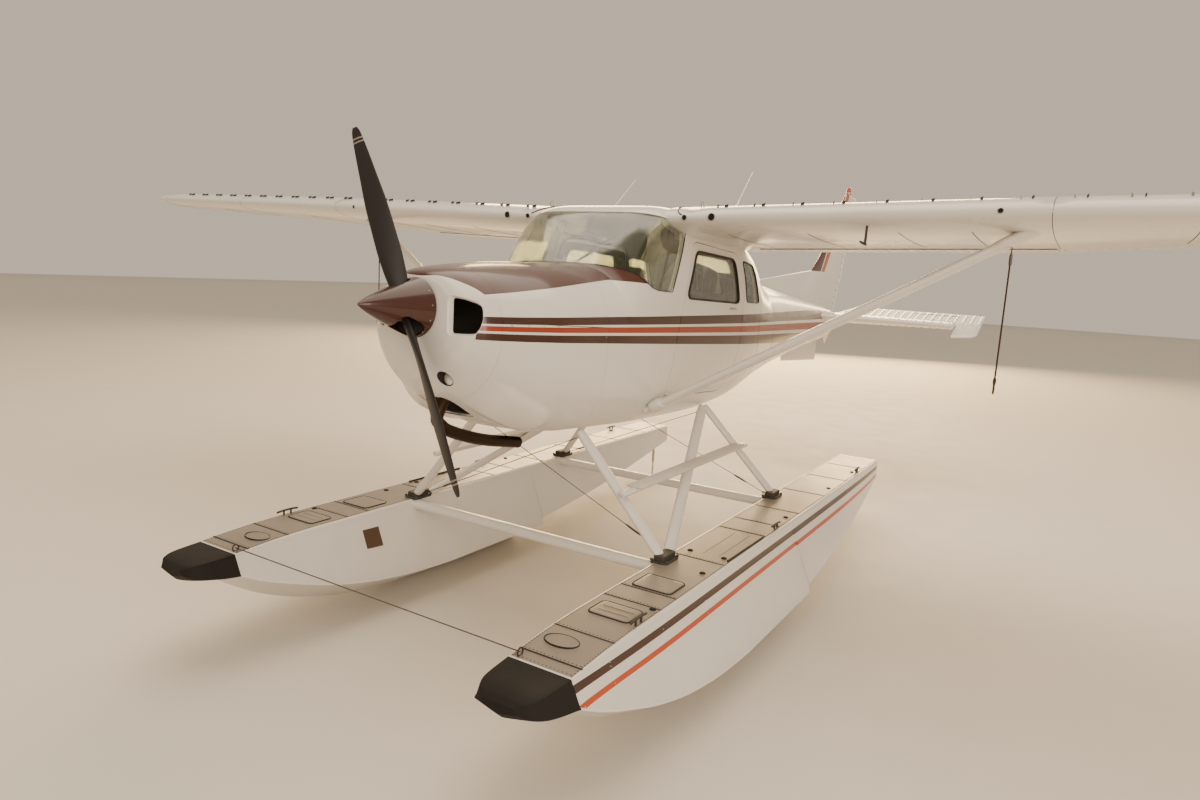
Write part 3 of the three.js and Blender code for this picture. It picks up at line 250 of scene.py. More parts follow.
class Shape:
    """Surfaces gathered as whole arrays, which become one mesh."""

    def __init__(self) -> None:
        """Start with nothing drawn."""
        self.points: list[np.ndarray] = []
        self.faces: list[np.ndarray] = []
        self.count = 0

    def take(self, points: np.ndarray, *faces: np.ndarray) -> "Shape":
        """Add points and the faces between them, whose numbers start at the first of these points.

        Args:
            points: points in rows of xyz.
            faces: arrays of faces, each row one face.

        Returns:
            This shape.
        """
        self.points.append(np.asarray(points, float).reshape(-1, 3))
        self.faces += [f.reshape(-1, f.shape[-1]) + self.count for f in faces]
        self.count += len(self.points[-1])
        return self

    def grid(self, points: np.ndarray, loop: bool = False) -> "Shape":
        """Join rows of points that each go once round, and close the end rows by fans to their middles.

        Args:
            points: rows, columns, xyz; the last column joins the first.
            loop: whether the last row joins the first row instead, as in a thick shell.

        Returns:
            This shape.
        """
        rows, columns = points.shape[:2]
        index = np.arange(rows * columns).reshape(rows, columns)
        below = np.roll(index, -1, 0) if loop else index[1:]
        here = index if loop else index[:-1]
        quads = np.stack([here, np.roll(here, -1, 1), np.roll(below, -1, 1), below], -1)
        if loop:
            return self.take(points, quads)
        middles = points[[0, -1]].mean(1)
        fans = [
            np.stack([np.full(columns, rows * columns + k), row, np.roll(row, -1)], -1)
            for k, row in enumerate((index[0], index[-1]))
        ]
        return self.take(np.concatenate([points.reshape(-1, 3), middles]), quads, *fans)

    def tube(
        self,
        path: Sequence[Sequence[float]],
        radius: float | np.ndarray,
        sides: int = 14,
        thin: float | np.ndarray = 1.0,
        wide: Sequence[float] | None = None,
        ends: bool = True,
    ) -> "Shape":
        """Carry a round or oval section along a path.

        Each ring is the path's point plus radius times (cosine times a wide direction plus thin times sine
        times the direction square to both). The ends are half rounds, or flat.

        Args:
            path: the centre line's points.
            radius: half the section's width, one number or one for each point.
            sides: how many points go round.
            thin: the section's thickness as a share of its width, one number or one for each point.
            wide: the direction that the wide side leans to, or any that suits.
            ends: whether the ends are rounded.

        Returns:
            This shape.
        """
        path = np.array(path, float)
        radius = np.broadcast_to(np.asarray(radius, float), (len(path),))
        thin = np.broadcast_to(np.asarray(thin, float), (len(path),))
        tangent = np.gradient(path, axis=0)
        tangent /= np.linalg.norm(tangent, axis=1, keepdims=True)
        if wide is None:
            wide = np.eye(3)[np.argmin(np.abs(tangent).mean(0))]
        across = np.asarray(wide, float) - tangent * (tangent @ np.asarray(wide, float))[:, None]
        across /= np.linalg.norm(across, axis=1, keepdims=True)
        other = np.cross(tangent, across)
        if ends:
            q = np.array([0.0, 0.38, 0.71, 0.92])
            size, ahead = np.maximum(np.sqrt(1 - (1 - q) ** 2), 0.02), 1 - q
            first = path[0] - tangent[0] * (ahead * radius[0] * thin[0])[:, None]
            last = path[-1] + tangent[-1] * (ahead[::-1] * radius[-1] * thin[-1])[:, None]
            path = np.concatenate([first, path, last])
            radius = np.concatenate([size * radius[0], radius, size[::-1] * radius[-1]])
            rows = np.concatenate([np.zeros(4, int), np.arange(len(across)), np.full(4, len(across) - 1)])
            across, other, thin = across[rows], other[rows], thin[rows]
        a = np.linspace(0, 2 * np.pi, sides, endpoint=False)[None, :, None]
        ring = np.cos(a) * across[:, None] + thin[:, None, None] * np.sin(a) * other[:, None]
        return self.grid(path[:, None] + radius[:, None, None] * ring)

    def turned(
        self,
        profile: Sequence[Sequence[float]],
        centre: Sequence[float] = (0, 0, 0),
        axis: Sequence[float] = (0, 0, 1),
        sides: int = 32,
        loop: bool = False,
    ) -> "Shape":
        """Turn a profile of (radius, distance along the axis) round an axis.

        Args:
            profile: radius and distance, in order.
            centre: the point on the axis where the distance is nought.
            axis: the axis's direction.
            sides: how many points go round.
            loop: whether the profile closes on itself, as a ring's does.

        Returns:
            This shape.
        """
        profile = np.array(profile, float)
        axis = np.asarray(axis, float) / np.linalg.norm(axis)
        u = np.cross(axis, np.eye(3)[np.argmin(np.abs(axis))])
        u /= np.linalg.norm(u)
        v = np.cross(axis, u)
        a = np.linspace(0, 2 * np.pi, sides, endpoint=False)[None, :, None]
        ring = np.cos(a) * u + np.sin(a) * v
        points = profile[:, :1, None] * ring + profile[:, 1:, None] * axis + np.asarray(centre, float)
        return self.grid(points, loop=loop)

    def plate(
        self,
        outline: np.ndarray,
        low: Callable[[np.ndarray], np.ndarray],
        high: Callable[[np.ndarray], np.ndarray],
        round_off: float = 0.0,
    ) -> "Shape":
        """Close the space between two surfaces over a flat outline, its upper edge rounded.

        The rows run from the lower middle out to the outline, up, and back in to the upper middle; the
        upper edge is a quarter circle of the radius round_off.

        Args:
            outline: the flat closed outline, two columns.
            low: turns flat points into points of the lower surface.
            high: turns flat points and a depth below it into points of the upper surface.
            round_off: the upper edge's radius.

        Returns:
            This shape.
        """
        middle = outline.mean(0)
        inner = lambda ring, share: middle + (ring - middle) * share
        rows = [low(inner(outline, s)) for s in (0.3, 0.65, 1.0)]
        if round_off:
            for turn in np.linspace(0, np.pi / 2, 4):
                moved = inset(outline, round_off * (1 - math.cos(turn)))
                rows.append(high(moved, round_off * (1 - math.sin(turn))))
            edge = inset(outline, round_off)
        else:
            rows.append(high(outline, 0.0))
            edge = outline
        rows += [high(inner(edge, s), 0.0) for s in (0.85, 0.6, 0.3)]
        return self.grid(np.stack(rows))

    def slab(self, outer: np.ndarray, inner: np.ndarray) -> "Shape":
        """Close the space between two sheets of rows and columns, which is a panel with four edges.

        Args:
            outer: rows, columns, xyz of one sheet.
            inner: the same of the other.

        Returns:
            This shape.
        """
        rows, columns = outer.shape[:2]
        top = np.arange(rows * columns).reshape(rows, columns)
        low = top + rows * columns
        quads = lambda i: np.stack([i[:-1, :-1], i[:-1, 1:], i[1:, 1:], i[1:, :-1]], -1).reshape(-1, 4)
        rim = np.concatenate([top[0, :-1], top[:-1, -1], top[-1, :0:-1], top[:0:-1, 0]])
        under = rim + rows * columns
        edge = np.stack([rim, under, np.roll(under, -1), np.roll(rim, -1)], -1)
        points = np.concatenate([outer.reshape(-1, 3), inner.reshape(-1, 3)])
        return self.take(points, quads(top), quads(low)[:, ::-1], edge)

    def domes(
        self, points: np.ndarray, normals: np.ndarray | Sequence[float], radius: float, height: float
    ) -> "Shape":
        """Set a small six-sided dome on each point, for rivets and screws.

        Args:
            points: where they sit.
            normals: which way each stands out, or one direction for all.
            radius: a dome's radius.
            height: how far it stands out.

        Returns:
            This shape.
        """
        n = np.broadcast_to(np.asarray(normals, float), points.shape)
        n = n / np.linalg.norm(n, axis=1, keepdims=True)
        hint = np.where(np.abs(n[:, :1]) < 0.8, [[1.0, 0, 0]], [[0, 1.0, 0]])
        u = np.cross(n, hint)
        u /= np.linalg.norm(u, axis=1, keepdims=True)
        v = np.cross(n, u)
        a = np.arange(6) * np.pi / 3
        ring = np.cos(a)[None, :, None] * u[:, None] + np.sin(a)[None, :, None] * v[:, None]
        low = points[:, None] + radius * ring - n[:, None] * height * 0.3
        high = points[:, None] + 0.62 * radius * ring + n[:, None] * height * 0.75
        tip = points[:, None] + n[:, None] * height
        cloud = np.concatenate([low, high, tip], 1)
        k = np.arange(6)
        sides = np.stack([k, (k + 1) % 6, 6 + (k + 1) % 6, 6 + k], -1)
        top = np.stack([6 + k, 6 + (k + 1) % 6, np.full(6, 12)], -1)
        start = (np.arange(len(points)) * 13)[:, None, None]
        floor = np.arange(6)[::-1]
        return self.take(cloud, sides[None] + start, top[None] + start, floor[None, None] + start)

    def mesh(self, name: str, place: Place = Place.PART) -> bpy.types.Mesh:
        """Write the gathered faces into a mesh, all facing outwards.

        Args:
            name: the mesh's name.
            place: the axes that the shape was drawn in.

        Returns:
            The mesh.
        """
        points = placed(np.concatenate(self.points), place)
        sizes = np.concatenate([np.full(len(f), f.shape[1]) for f in self.faces])
        corners = np.concatenate([f.ravel() for f in self.faces])
        data = bpy.data.meshes.new(name)
        data.vertices.add(len(points))
        data.vertices.foreach_set("co", points.ravel())
        data.loops.add(len(corners))
        data.loops.foreach_set("vertex_index", corners.astype(np.int32))
        data.polygons.add(len(sizes))
        data.polygons.foreach_set("loop_start", np.concatenate([[0], np.cumsum(sizes)[:-1]]).astype(np.int32))
        data.update(calc_edges=True)
        data.validate()
        return face_out(data)


def face_out(data: bpy.types.Mesh) -> bpy.types.Mesh:
    """Turn every closed surface of a mesh to face outwards.

    Args:
        data: the mesh.

    Returns:
        The same mesh.
    """
    work = bmesh.new()
    work.from_mesh(data)
    bmesh.ops.recalc_face_normals(work, faces=work.faces)
    work.to_mesh(data)
    work.free()
    return data


# Finishes


def linear(colour: str) -> tuple[float, float, float, float]:
    """Turn an sRGB hex colour into linear light.

    Args:
        colour: the colour, as #rrggbb.

    Returns:
        Red, green, blue and one.
    """
    parts = [int(colour[i : i + 2], 16) / 255 for i in (1, 3, 5)]
    red, green, blue = [p / 12.92 if p <= 0.04045 else ((p + 0.055) / 1.055) ** 2.4 for p in parts]
    return red, green, blue, 1.0


def add_node(
    tree: bpy.types.NodeTree, kind: str, settings: dict | None = None, links: dict | None = None
) -> bpy.types.Node:
    """Add a node with its settings and links.

    Args:
        tree: the material's node tree.
        kind: the node's type name.
        settings: properties by name, or inputs by name or number.
        links: the socket that feeds each input.

    Returns:
        The node.
    """
    node = tree.nodes.new(kind)
    for key, value in (settings or {}).items():
        if isinstance(key, str) and hasattr(node, key):
            setattr(node, key, value)
        else:
            node.inputs[key].default_value = value
    for key, source in (links or {}).items():
        tree.links.new(source, node.inputs[key])
    return node


def ramp(
    tree: bpy.types.NodeTree, source: bpy.types.NodeSocket, stops: Sequence[tuple], hard: bool = False
) -> bpy.types.NodeSocket:
    """Add a colour ramp.

    Args:
        tree: the material's node tree.
        source: the value that it reads.
        stops: (position, sRGB hex colour) pairs, rising.
        hard: whether colours change at once rather than blend.

    Returns:
        The ramp's colour socket.
    """
    node = add_node(tree, "ShaderNodeValToRGB", links={0: source})
    node.color_ramp.interpolation = "CONSTANT" if hard else "LINEAR"
    elements = node.color_ramp.elements
    elements[0].position, elements[0].color = stops[0][0], linear(stops[0][1])
    elements[1].position, elements[1].color = stops[-1][0], linear(stops[-1][1])
    for position, colour in stops[1:-1]:
        elements.new(position).color = linear(colour)
    return node.outputs[0]


def maths(
    tree: bpy.types.NodeTree, operation: str, *values: float | bpy.types.NodeSocket
) -> bpy.types.NodeSocket:
    """Add a math node.

    Args:
        tree: the material's node tree.
        operation: the node's operation.
        values: its inputs, numbers or sockets.

    Returns:
        Its value socket.
    """
    numbers = {i: v for i, v in enumerate(values) if isinstance(v, (int, float))}
    sockets = {i: v for i, v in enumerate(values) if not isinstance(v, (int, float))}
    return add_node(tree, "ShaderNodeMath", {"operation": operation, **numbers}, sockets).outputs[0]


@dataclass(frozen=True)
class Finish:
    """A surface finish: the base that the named ones are made from.

    The fields are the shader's own numbers, with grain as a bump of a real size in metres, and the slot of
    the record that the finish usually belongs to.
    """

    name: str
    colour: str
    roughness: float = 0.4
    metallic: float = 0.0
    coat: float = 0.0
    vary: float = 0.12
    grain: float = 0.004
    bump: float = 0.0
    specular: float = 0.5
    slot: str = ""

    def material(self) -> bpy.types.Material:
        """Make the material, or return it if it is made already.

        Returns:
            The material.
        """
        found = bpy.data.materials.get(self.name)
        if found:
            return found
        made = bpy.data.materials.new(self.name)
        made.use_nodes = True
        tree = made.node_tree
        tree.nodes.clear()
        coords = add_node(tree, "ShaderNodeTexCoord").outputs["Object"]
        settings = {
            "Roughness": self.roughness,
            "Metallic": self.metallic,
            "Coat Weight": self.coat,
            "Coat Roughness": 0.06,
            "Specular IOR Level": self.specular,
        }
        links = self.patterns(tree, coords)
        if "Normal" not in links and self.bump:
            noise = add_node(tree, "ShaderNodeTexNoise", {"Scale": 1 / self.grain}, {"Vector": coords})
            height = {"Strength": self.bump, "Distance": self.grain * 0.2}
            bumped = add_node(tree, "ShaderNodeBump", height, {"Height": noise.outputs[0]})
            links["Normal"] = bumped.outputs[0]
        shader = add_node(tree, "ShaderNodeBsdfPrincipled", settings | self.extras(), links)
        add_node(tree, "ShaderNodeOutputMaterial", links={0: shader.outputs[0]})
        return made

    def extras(self) -> dict:
        """Further numbers for the shader's own sockets."""
        return {}

    def colours(self, tree: bpy.types.NodeTree, coords: bpy.types.NodeSocket) -> bpy.types.NodeSocket | None:
        """The clean colour before wear, where it varies: here it is the one colour everywhere."""
        return None

    def patterns(self, tree: bpy.types.NodeTree, coords: bpy.types.NodeSocket) -> dict:
        """Cloud the clean colour with soft stains, and the gloss with them.

        Args:
            tree: the material's node tree.
            coords: the object coordinates.

        Returns:
            The sockets that feed the shader, by input name.
        """
        stain = add_node(
            tree, "ShaderNodeTexNoise", {"Scale": 2.2, "Detail": 6.0, "Roughness": 0.6}, {"Vector": coords}
        ).outputs[0]
        shade = maths(tree, "MULTIPLY_ADD", stain, -2 * self.vary, 1 + self.vary)
        clean = self.colours(tree, coords)
        plain = {} if clean else {6: linear(self.colour)}
        mixed = add_node(
            tree,
            "ShaderNodeMix",
            {"data_type": "RGBA", "blend_type": "MULTIPLY", "Factor": 1.0} | plain,
            {7: shade} | ({6: clean} if clean else {}),
        ).outputs[2]
        rough = maths(tree, "MULTIPLY_ADD", stain, 0.5 * self.roughness, 0.75 * self.roughness)
        return {"Base Color": mixed, "Roughness": rough}


class SheetEnamel(Finish):
    """Two-pack enamel sprayed on sheet aluminium: a hard wet gloss."""

    def extras(self) -> dict:
        """A clear coat over the colour."""
        return {"Coat Weight": 0.35}


class FuselageEnamel(SheetEnamel):
    """The same enamel, masked for three cheat lines along the side and a brown anti-glare top.

    Each line is a slope along the station and a level at the firewall.
    """

    band_foot = (0.004, -0.1235)
    band_width = (0.0405, 0.149)
    bands_from = -0.925
    top_edge = (0.1454, 0.2152)
    top_limit = 0.238
    top_ends = (-0.985, 0.42)
    lip_curve = 1.12

    def colours(self, tree: bpy.types.NodeTree, coords: bpy.types.NodeSocket) -> bpy.types.NodeSocket:
        """Paint by station and level in the airframe's axes.

        The three lines share a band whose lower edge is nearly level and whose upper edge climbs aft, so
        they fan out. The brown top is what lies above a climbing line ahead of the windshield.

        Args:
            tree: the material's node tree.
            coords: the object coordinates.

        Returns:
            The colour socket.
        """
        a = NOSE_UP
        y0, z0 = FIREWALL_Y, THRUST_HEIGHT
        back = (0, z0 * math.sin(a) - y0 * math.cos(a), -y0 * math.sin(a) - z0 * math.cos(a))
        axes = add_node(
            tree, "ShaderNodeMapping", {"Location": back, "Rotation": (a, 0, 0)}, {"Vector": coords}
        ).outputs[0]
        across, station, level = add_node(tree, "ShaderNodeSeparateXYZ", links={0: axes}).outputs
        lower = maths(tree, "MULTIPLY_ADD", station, *self.band_foot)
        span = maths(tree, "MULTIPLY_ADD", station, *self.band_width)
        share = maths(tree, "DIVIDE", maths(tree, "SUBTRACT", level, lower), span)
        white, brown, orange = self.colour, "#3c1c0d", "#96330c"
        lines = [
            (0.0, white), (0.001, brown), (0.30, white), (0.40, orange),
            (0.61, white), (0.70, brown), (0.999, white),
        ]
        banded = ramp(tree, share, lines, hard=True)
        behind_inlet = maths(tree, "GREATER_THAN", station, self.bands_from)
        side = add_node(
            tree, "ShaderNodeMix", {"data_type": "RGBA", 6: linear(white)}, {0: behind_inlet, 7: banded}
        ).outputs[2]
        edge = maths(tree, "MINIMUM", maths(tree, "MULTIPLY_ADD", station, *self.top_edge), self.top_limit)
        above = maths(tree, "GREATER_THAN", level, edge)
        squared = maths(tree, "POWER", maths(tree, "ABSOLUTE", across), 2.0)
        lip = maths(tree, "MULTIPLY", squared, self.lip_curve)
        aft = maths(tree, "GREATER_THAN", maths(tree, "SUBTRACT", station, lip), self.top_ends[0])
        ahead = maths(tree, "LESS_THAN", station, self.top_ends[1])
        top = maths(tree, "MULTIPLY", maths(tree, "MULTIPLY", above, aft), ahead)
        return add_node(
            tree, "ShaderNodeMix", {"data_type": "RGBA", 7: linear("#48200f")}, {0: top, 6: side}
        ).outputs[2]


class FinEnamel(SheetEnamel):
    """The same enamel on the fin, with a brown and an orange band along its leading edge."""

    kink = (2.578, 2.345)
    sweep = 0.87
    band_width = 0.42

    def colours(self, tree: bpy.types.NodeTree, coords: bpy.types.NodeSocket) -> bpy.types.NodeSocket:
        """Paint by distance behind the swept leading edge, above the kink where the bands end.

        Args:
            tree: the material's node tree.
            coords: the object coordinates.

        Returns:
            The colour socket.
        """
        axes = add_node(tree, "ShaderNodeSeparateXYZ", links={0: coords}).outputs
        station = maths(tree, "SUBTRACT", axes[1], self.kink[0])
        up = maths(tree, "SUBTRACT", axes[2], self.kink[1])
        lead = maths(tree, "MULTIPLY", up, self.sweep)
        share = maths(tree, "DIVIDE", maths(tree, "SUBTRACT", station, lead), self.band_width)
        white = self.colour
        bands = [(0.0, "#4a2413"), (0.54, white), (0.60, "#a8471c"), (0.86, white), (0.999, white)]
        banded = ramp(tree, share, bands, hard=True)
        above = maths(tree, "GREATER_THAN", up, 0.0)
        return add_node(
            tree, "ShaderNodeMix", {"data_type": "RGBA", 6: linear(white)}, {0: above, 7: banded}
        ).outputs[2]


class HullEnamel(SheetEnamel):
    """Marine enamel on the floats' riveted hulls, with a brown and an orange line below the deck edge."""

    def colours(self, tree: bpy.types.NodeTree, coords: bpy.types.NodeSocket) -> bpy.types.NodeSocket:
        """Paint by level on the outer sides only, which is where x is far from the middle.

        Args:
            tree: the material's node tree.
            coords: the object coordinates.

        Returns:
            The colour socket.
        """
        axes = add_node(tree, "ShaderNodeSeparateXYZ", links={0: coords}).outputs
        outer = maths(tree, "GREATER_THAN", maths(tree, "ABSOLUTE", axes[0]), FLOAT_X + 0.05)
        white = self.colour
        lines = [
            (0.0, white), (0.469, "#b5400f"), (0.493, white), (0.538, "#3d2013"), (0.568, white), (0.7, white)
        ]
        banded = ramp(tree, axes[2], lines, hard=True)
        return add_node(
            tree, "ShaderNodeMix", {"data_type": "RGBA", 6: linear(white)}, {0: outer, 7: banded}
        ).outputs[2]


class BladeEnamel(Finish):
    """Matt black enamel on a forged propeller, with light bands near the tips."""

    def colours(self, tree: bpy.types.NodeTree, coords: bpy.types.NodeSocket) -> bpy.types.NodeSocket:
        """Paint by distance from the shaft.

        Args:
            tree: the material's node tree.
            coords: the object coordinates.

        Returns:
            The colour socket.
        """
        hub = placed(np.array([0, Propeller.station, 0.0]), Place.AIRFRAME)
        moved = add_node(tree, "ShaderNodeMapping", {"Location": tuple(-hub)}, {"Vector": coords})
        length = add_node(tree, "ShaderNodeVectorMath", {"operation": "LENGTH"}, {0: moved.outputs[0]})
        black, pale = self.colour, "#8e8478"
        bands = [(0.0, black), (0.866, pale), (0.875, black), (0.884, pale), (0.892, black), (1.0, black)]
        return ramp(tree, length.outputs["Value"], bands, hard=True)


class TintedAcrylic(Finish):
    """Cast acrylic, tinted yellow-green: thin, clear and slightly dusty."""

    def extras(self) -> dict:
        """Light passes through, and the surface still shines."""
        return {"Transmission Weight": 0.95, "IOR": 1.45, "Alpha": 0.42}


class SeatCloth(Finish):
    """A plain-woven wool mix: matt, with a soft sheen at its edges and a weave drawn at 3 mm to show."""

    def extras(self) -> dict:
        """A soft sheen."""
        return {"Sheen Weight": 0.4, "Sheen Roughness": 0.5}


class TwistedRope(Finish):
    """Three-strand polyester rope, browned by weather: matt and softly stained."""


# The named finishes, each with what it gives the eye

# Clean white gloss over sheet metal, very slightly wavy
WHITE = SheetEnamel("white_enamel_on_aluminium", "#dedad2", roughness=0.26, vary=0.05)
# The same white gloss with the cheat lines along the side and the brown top of the cowl
FUSELAGE_PAINT = FuselageEnamel("fuselage_enamel_with_lines", "#dedad2", roughness=0.24, vary=0.05)
# The same white gloss with a brown and an orange band behind the leading edge
FIN_PAINT = FinEnamel("fin_enamel_with_bands", "#dedad2", roughness=0.26, vary=0.05)
# White paint with less shine, and the lines along the outer side of a float
HULL_PAINT = HullEnamel("float_enamel_with_lines", "#d8d4cc", roughness=0.34, vary=0.09, slot="white_gear")
# Walkway paint in a patchy grey-brown, partly the walkway's own colour and partly painted reflection of the
# wet metal deck
DECK_PAINT = Finish(
    "float_deck_enamel_and_painted_reflection", "#857a6d", roughness=0.34, vary=0.25, grain=0.006, bump=0.25, slot="white_gear"
)
# Deep brown gloss that mirrors the sky
BROWN = SheetEnamel("brown_enamel_on_spun_aluminium", "#3c180b", roughness=0.24, vary=0.06, slot="brown_skin")
# Half-matt black with the marks at the blade tips
BLADE = BladeEnamel(
    "black_enamel_on_forged_blades", "#17120f", roughness=0.45, vary=0.15, slot="black_blades"
)
# A brown metal plate with nothing on it
PLATE = Finish("anodised_blank_plate", "#5a4636", roughness=0.45, metallic=0.4, vary=0.1, slot="bare_plate")
# Pale rough tread that never shines
GRIT = Finish(
    "bonded_grit_tread", "#d2ccc2", roughness=0.95, vary=0.15, grain=0.002, bump=0.6, slot="white_gear"
)
# Dull black that looks soft: real rubber on the bows and caps, and painted shade inside the cowl, the
# exhaust's mouth and the wing's vents
BLACK_RUBBER_AND_SHADE = Finish(
    "black_rubber_and_painted_shade", "#1a1613", roughness=0.78,
    vary=0.2, grain=0.003, bump=0.3, specular=0.3, slot="bow_rubber",
)
# A thin dark edge round glass, hatches and plates
SEAL = Finish("extruded_rubber_seal", "#201b18", roughness=0.65, vary=0.1)
# The dark line where two skins meet
GAP = Finish("shadowed_panel_joint", "#3b342e", roughness=0.8)
# Brown patchy metal, stained by heat
STEEL = Finish(
    "heat_stained_exhaust_steel", "#35261b", roughness=0.42, metallic=0.85,
    vary=0.3, grain=0.01, bump=0.1, slot="exhaust_metal",
)
# Silver metal with a brushed sheen
BARE = Finish(
    "brushed_bare_aluminium", "#a9a49b", roughness=0.35, metallic=0.9, vary=0.15, grain=0.002, bump=0.1
)
# Grey wire with a low shine
RIGGING = Finish(
    "drawn_stainless_wire", "#5f564c", roughness=0.4, metallic=0.8, vary=0.15, slot="engine_metal"
)
# Grey cast metal with a grain
IRON = Finish(
    "cast_crankcase_alloy", "#4a4640", roughness=0.6, metallic=0.6,
    vary=0.2, grain=0.004, bump=0.4, slot="engine_metal",
)
# Dark felt that closes the view into the cabin
LINING = Finish(
    "dark_cabin_headlining", "#2e2620", roughness=0.92, vary=0.15, grain=0.003, bump=0.3, slot="cabin_trim"
)
# Black trim with a faint grain
PLASTIC = Finish(
    "moulded_black_trim", "#26211d", roughness=0.62, vary=0.12, grain=0.0015, bump=0.2, slot="cabin_trim"
)
# A clear pane with a faint green cast
GLASS = TintedAcrylic("tinted_cast_acrylic", "#c3cda0", roughness=0.03, vary=0.02, slot="tinted_glass")
# A deep red, wet-looking lens
LAMP_RED = Finish("red_moulded_lens", "#b3150c", roughness=0.12, coat=0.6, vary=0.05, slot="beacon_lens")
# A bright clear lens
LAMP_CLEAR = Finish("pressed_lamp_glass", "#e8e6de", roughness=0.06, coat=0.8, vary=0.03, specular=0.9)
# Plain pale ground that takes the shadow
STUDIO_FLOOR = Finish("pale_studio_floor", "#d9d2c6", roughness=0.7, vary=0.03)
# A brown woven cover without shine
CLOTH = SeatCloth(
    "woven_seat_cloth", "#4a3d2f", roughness=0.9, vary=0.1, grain=0.003, bump=0.5, slot="seat_cloth"
)
# Dark matt rope whose strands show
ROPE = TwistedRope(
    "twisted_polyester_rope", "#3b2d22", roughness=0.85, vary=0.2, grain=0.002, bump=0.4, slot="rope_fibre"
)


# Pieces


def piece(
    shape: Shape | bpy.types.Mesh,
    name: str,
    finish: Finish,
    body: str = "airframe",
    place: Place = Place.AIRFRAME,
    replaces: Sequence[str] = (),
    sharp: float = 32.0,
) -> bpy.types.Object:
    """Make a finished piece that rides on a body.

    Args:
        shape: what it is made of.
        name: the piece's name.
        finish: its finish.
        body: the moving body that carries it.
        place: the axes that the shape was drawn in.
        replaces: the solids that it stands for.
        sharp: the angle in degrees above which an edge stays sharp.

    Returns:
        The object.
    """
    data = shape if isinstance(shape, bpy.types.Mesh) else shape.mesh(name, place)
    data.polygons.foreach_set("use_smooth", np.ones(len(data.polygons), bool))
    data.set_sharp_from_angle(angle=math.radians(sharp))
    made = bpy.data.objects.new(name, data)
    bpy.context.scene.collection.objects.link(made)
    data.materials.clear()
    data.materials.append(finish.material())
    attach(made, body)
    if replaces:
        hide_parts(*replaces)
    log.info("%s: %d faces on %s", name, len(data.polygons), body)
    return made


class Cut(Enum):
    """What a boolean keeps of the first mesh."""

    LESS = "DIFFERENCE"
    WITHIN = "INTERSECT"


def carved(data: bpy.types.Mesh, tools: Sequence[bpy.types.Mesh], how: Cut = Cut.LESS) -> bpy.types.Mesh:
    """Cut a mesh with others, one after another, and keep the result.

    Args:
        data: the mesh that is cut.
        tools: what cuts it.
        how: what is kept.

    Returns:
        The carved mesh.
    """
    scene = bpy.context.scene.collection.objects
    main = bpy.data.objects.new("carving", data)
    scene.link(main)
    for k, tool in enumerate(tools):
        cutter = bpy.data.objects.new(f"cutter_{k}", tool)
        scene.link(cutter)
        step = main.modifiers.new(f"cut_{k}", "BOOLEAN")
        step.operation, step.solver, step.object = how.value, "EXACT", cutter
    bpy.context.view_layer.update()
    graph = bpy.context.evaluated_depsgraph_get()
    made = bpy.data.meshes.new_from_object(main.evaluated_get(graph))
    for step in list(main.modifiers):
        bpy.data.objects.remove(step.object)
    bpy.data.objects.remove(main)
    return made


def prism(outline: np.ndarray, low: float, high: float, axis: int = 0) -> bpy.types.Mesh:
    """Stand a flat outline up into a prism between two values of one axis, to cut with.

    Args:
        outline: points on the other two axes, in their order.
        low: where the prism starts.
        high: where it ends.
        axis: the axis that it runs along.

    Returns:
        The prism in the part's axes, drawn in the airframe's.
    """
    rows = [np.insert(outline, axis, value, axis=1) for value in (low, high)]
    return Shape().grid(np.stack(rows)).mesh("cutter", Place.AIRFRAME)


def both_sides(name: str) -> list[tuple[str, float]]:
    """A name for the left and the right piece, with the sign of x."""
    return [(f"{name}_left", 1.0), (f"{name}_right", -1.0)]


@dataclass
class SubAssembly:
    """A group of pieces that is built together, drawn in one set of axes."""

    made: list = field(default_factory=list)
    axes: Place = Place.AIRFRAME
    slot: str = "white_skin"

    def add(
        self, shape: Shape | bpy.types.Mesh, name: str, finish: Finish, body: str = "airframe",
        slot: str = "", replaces: Sequence[str] = (), sharp: float = 32.0,
    ) -> bpy.types.Object:
        """Make a piece in this group's axes and note it as built.

        Args:
            shape: what it is made of.
            name: the piece's name.
            finish: its finish.
            body: the moving body that carries it.
            slot: not used.
            replaces: the solids that it stands for.
            sharp: the angle in degrees above which an edge stays sharp.

        Returns:
            The object.
        """
        made = piece(shape, name, finish, body, self.axes, replaces, sharp)
        self.made.append(made)
        return made

    def seam(
        self, path: np.ndarray, name: str, finish: Finish, width: float, body: str = "airframe",
        thin: float = 0.5,
    ) -> None:
        """Lay a flat bead along a path, which is a panel's joint or a glass's seal.

        Args:
            path: the bead's points.
            name: the piece's name.
            finish: its finish.
            width: half the bead's width.
            body: the moving body that carries it.
            thin: the bead's height as a share of its width.
        """
        self.add(Shape().tube(path, width, 8, thin), name, finish, body)

    def build(self) -> None:
        """Make the pieces."""
        raise NotImplementedError

    def report(self) -> None:
        """Say what was built."""
        log.info("%s: %d pieces", type(self).__name__, len(self.made))


# The fuselage's skin

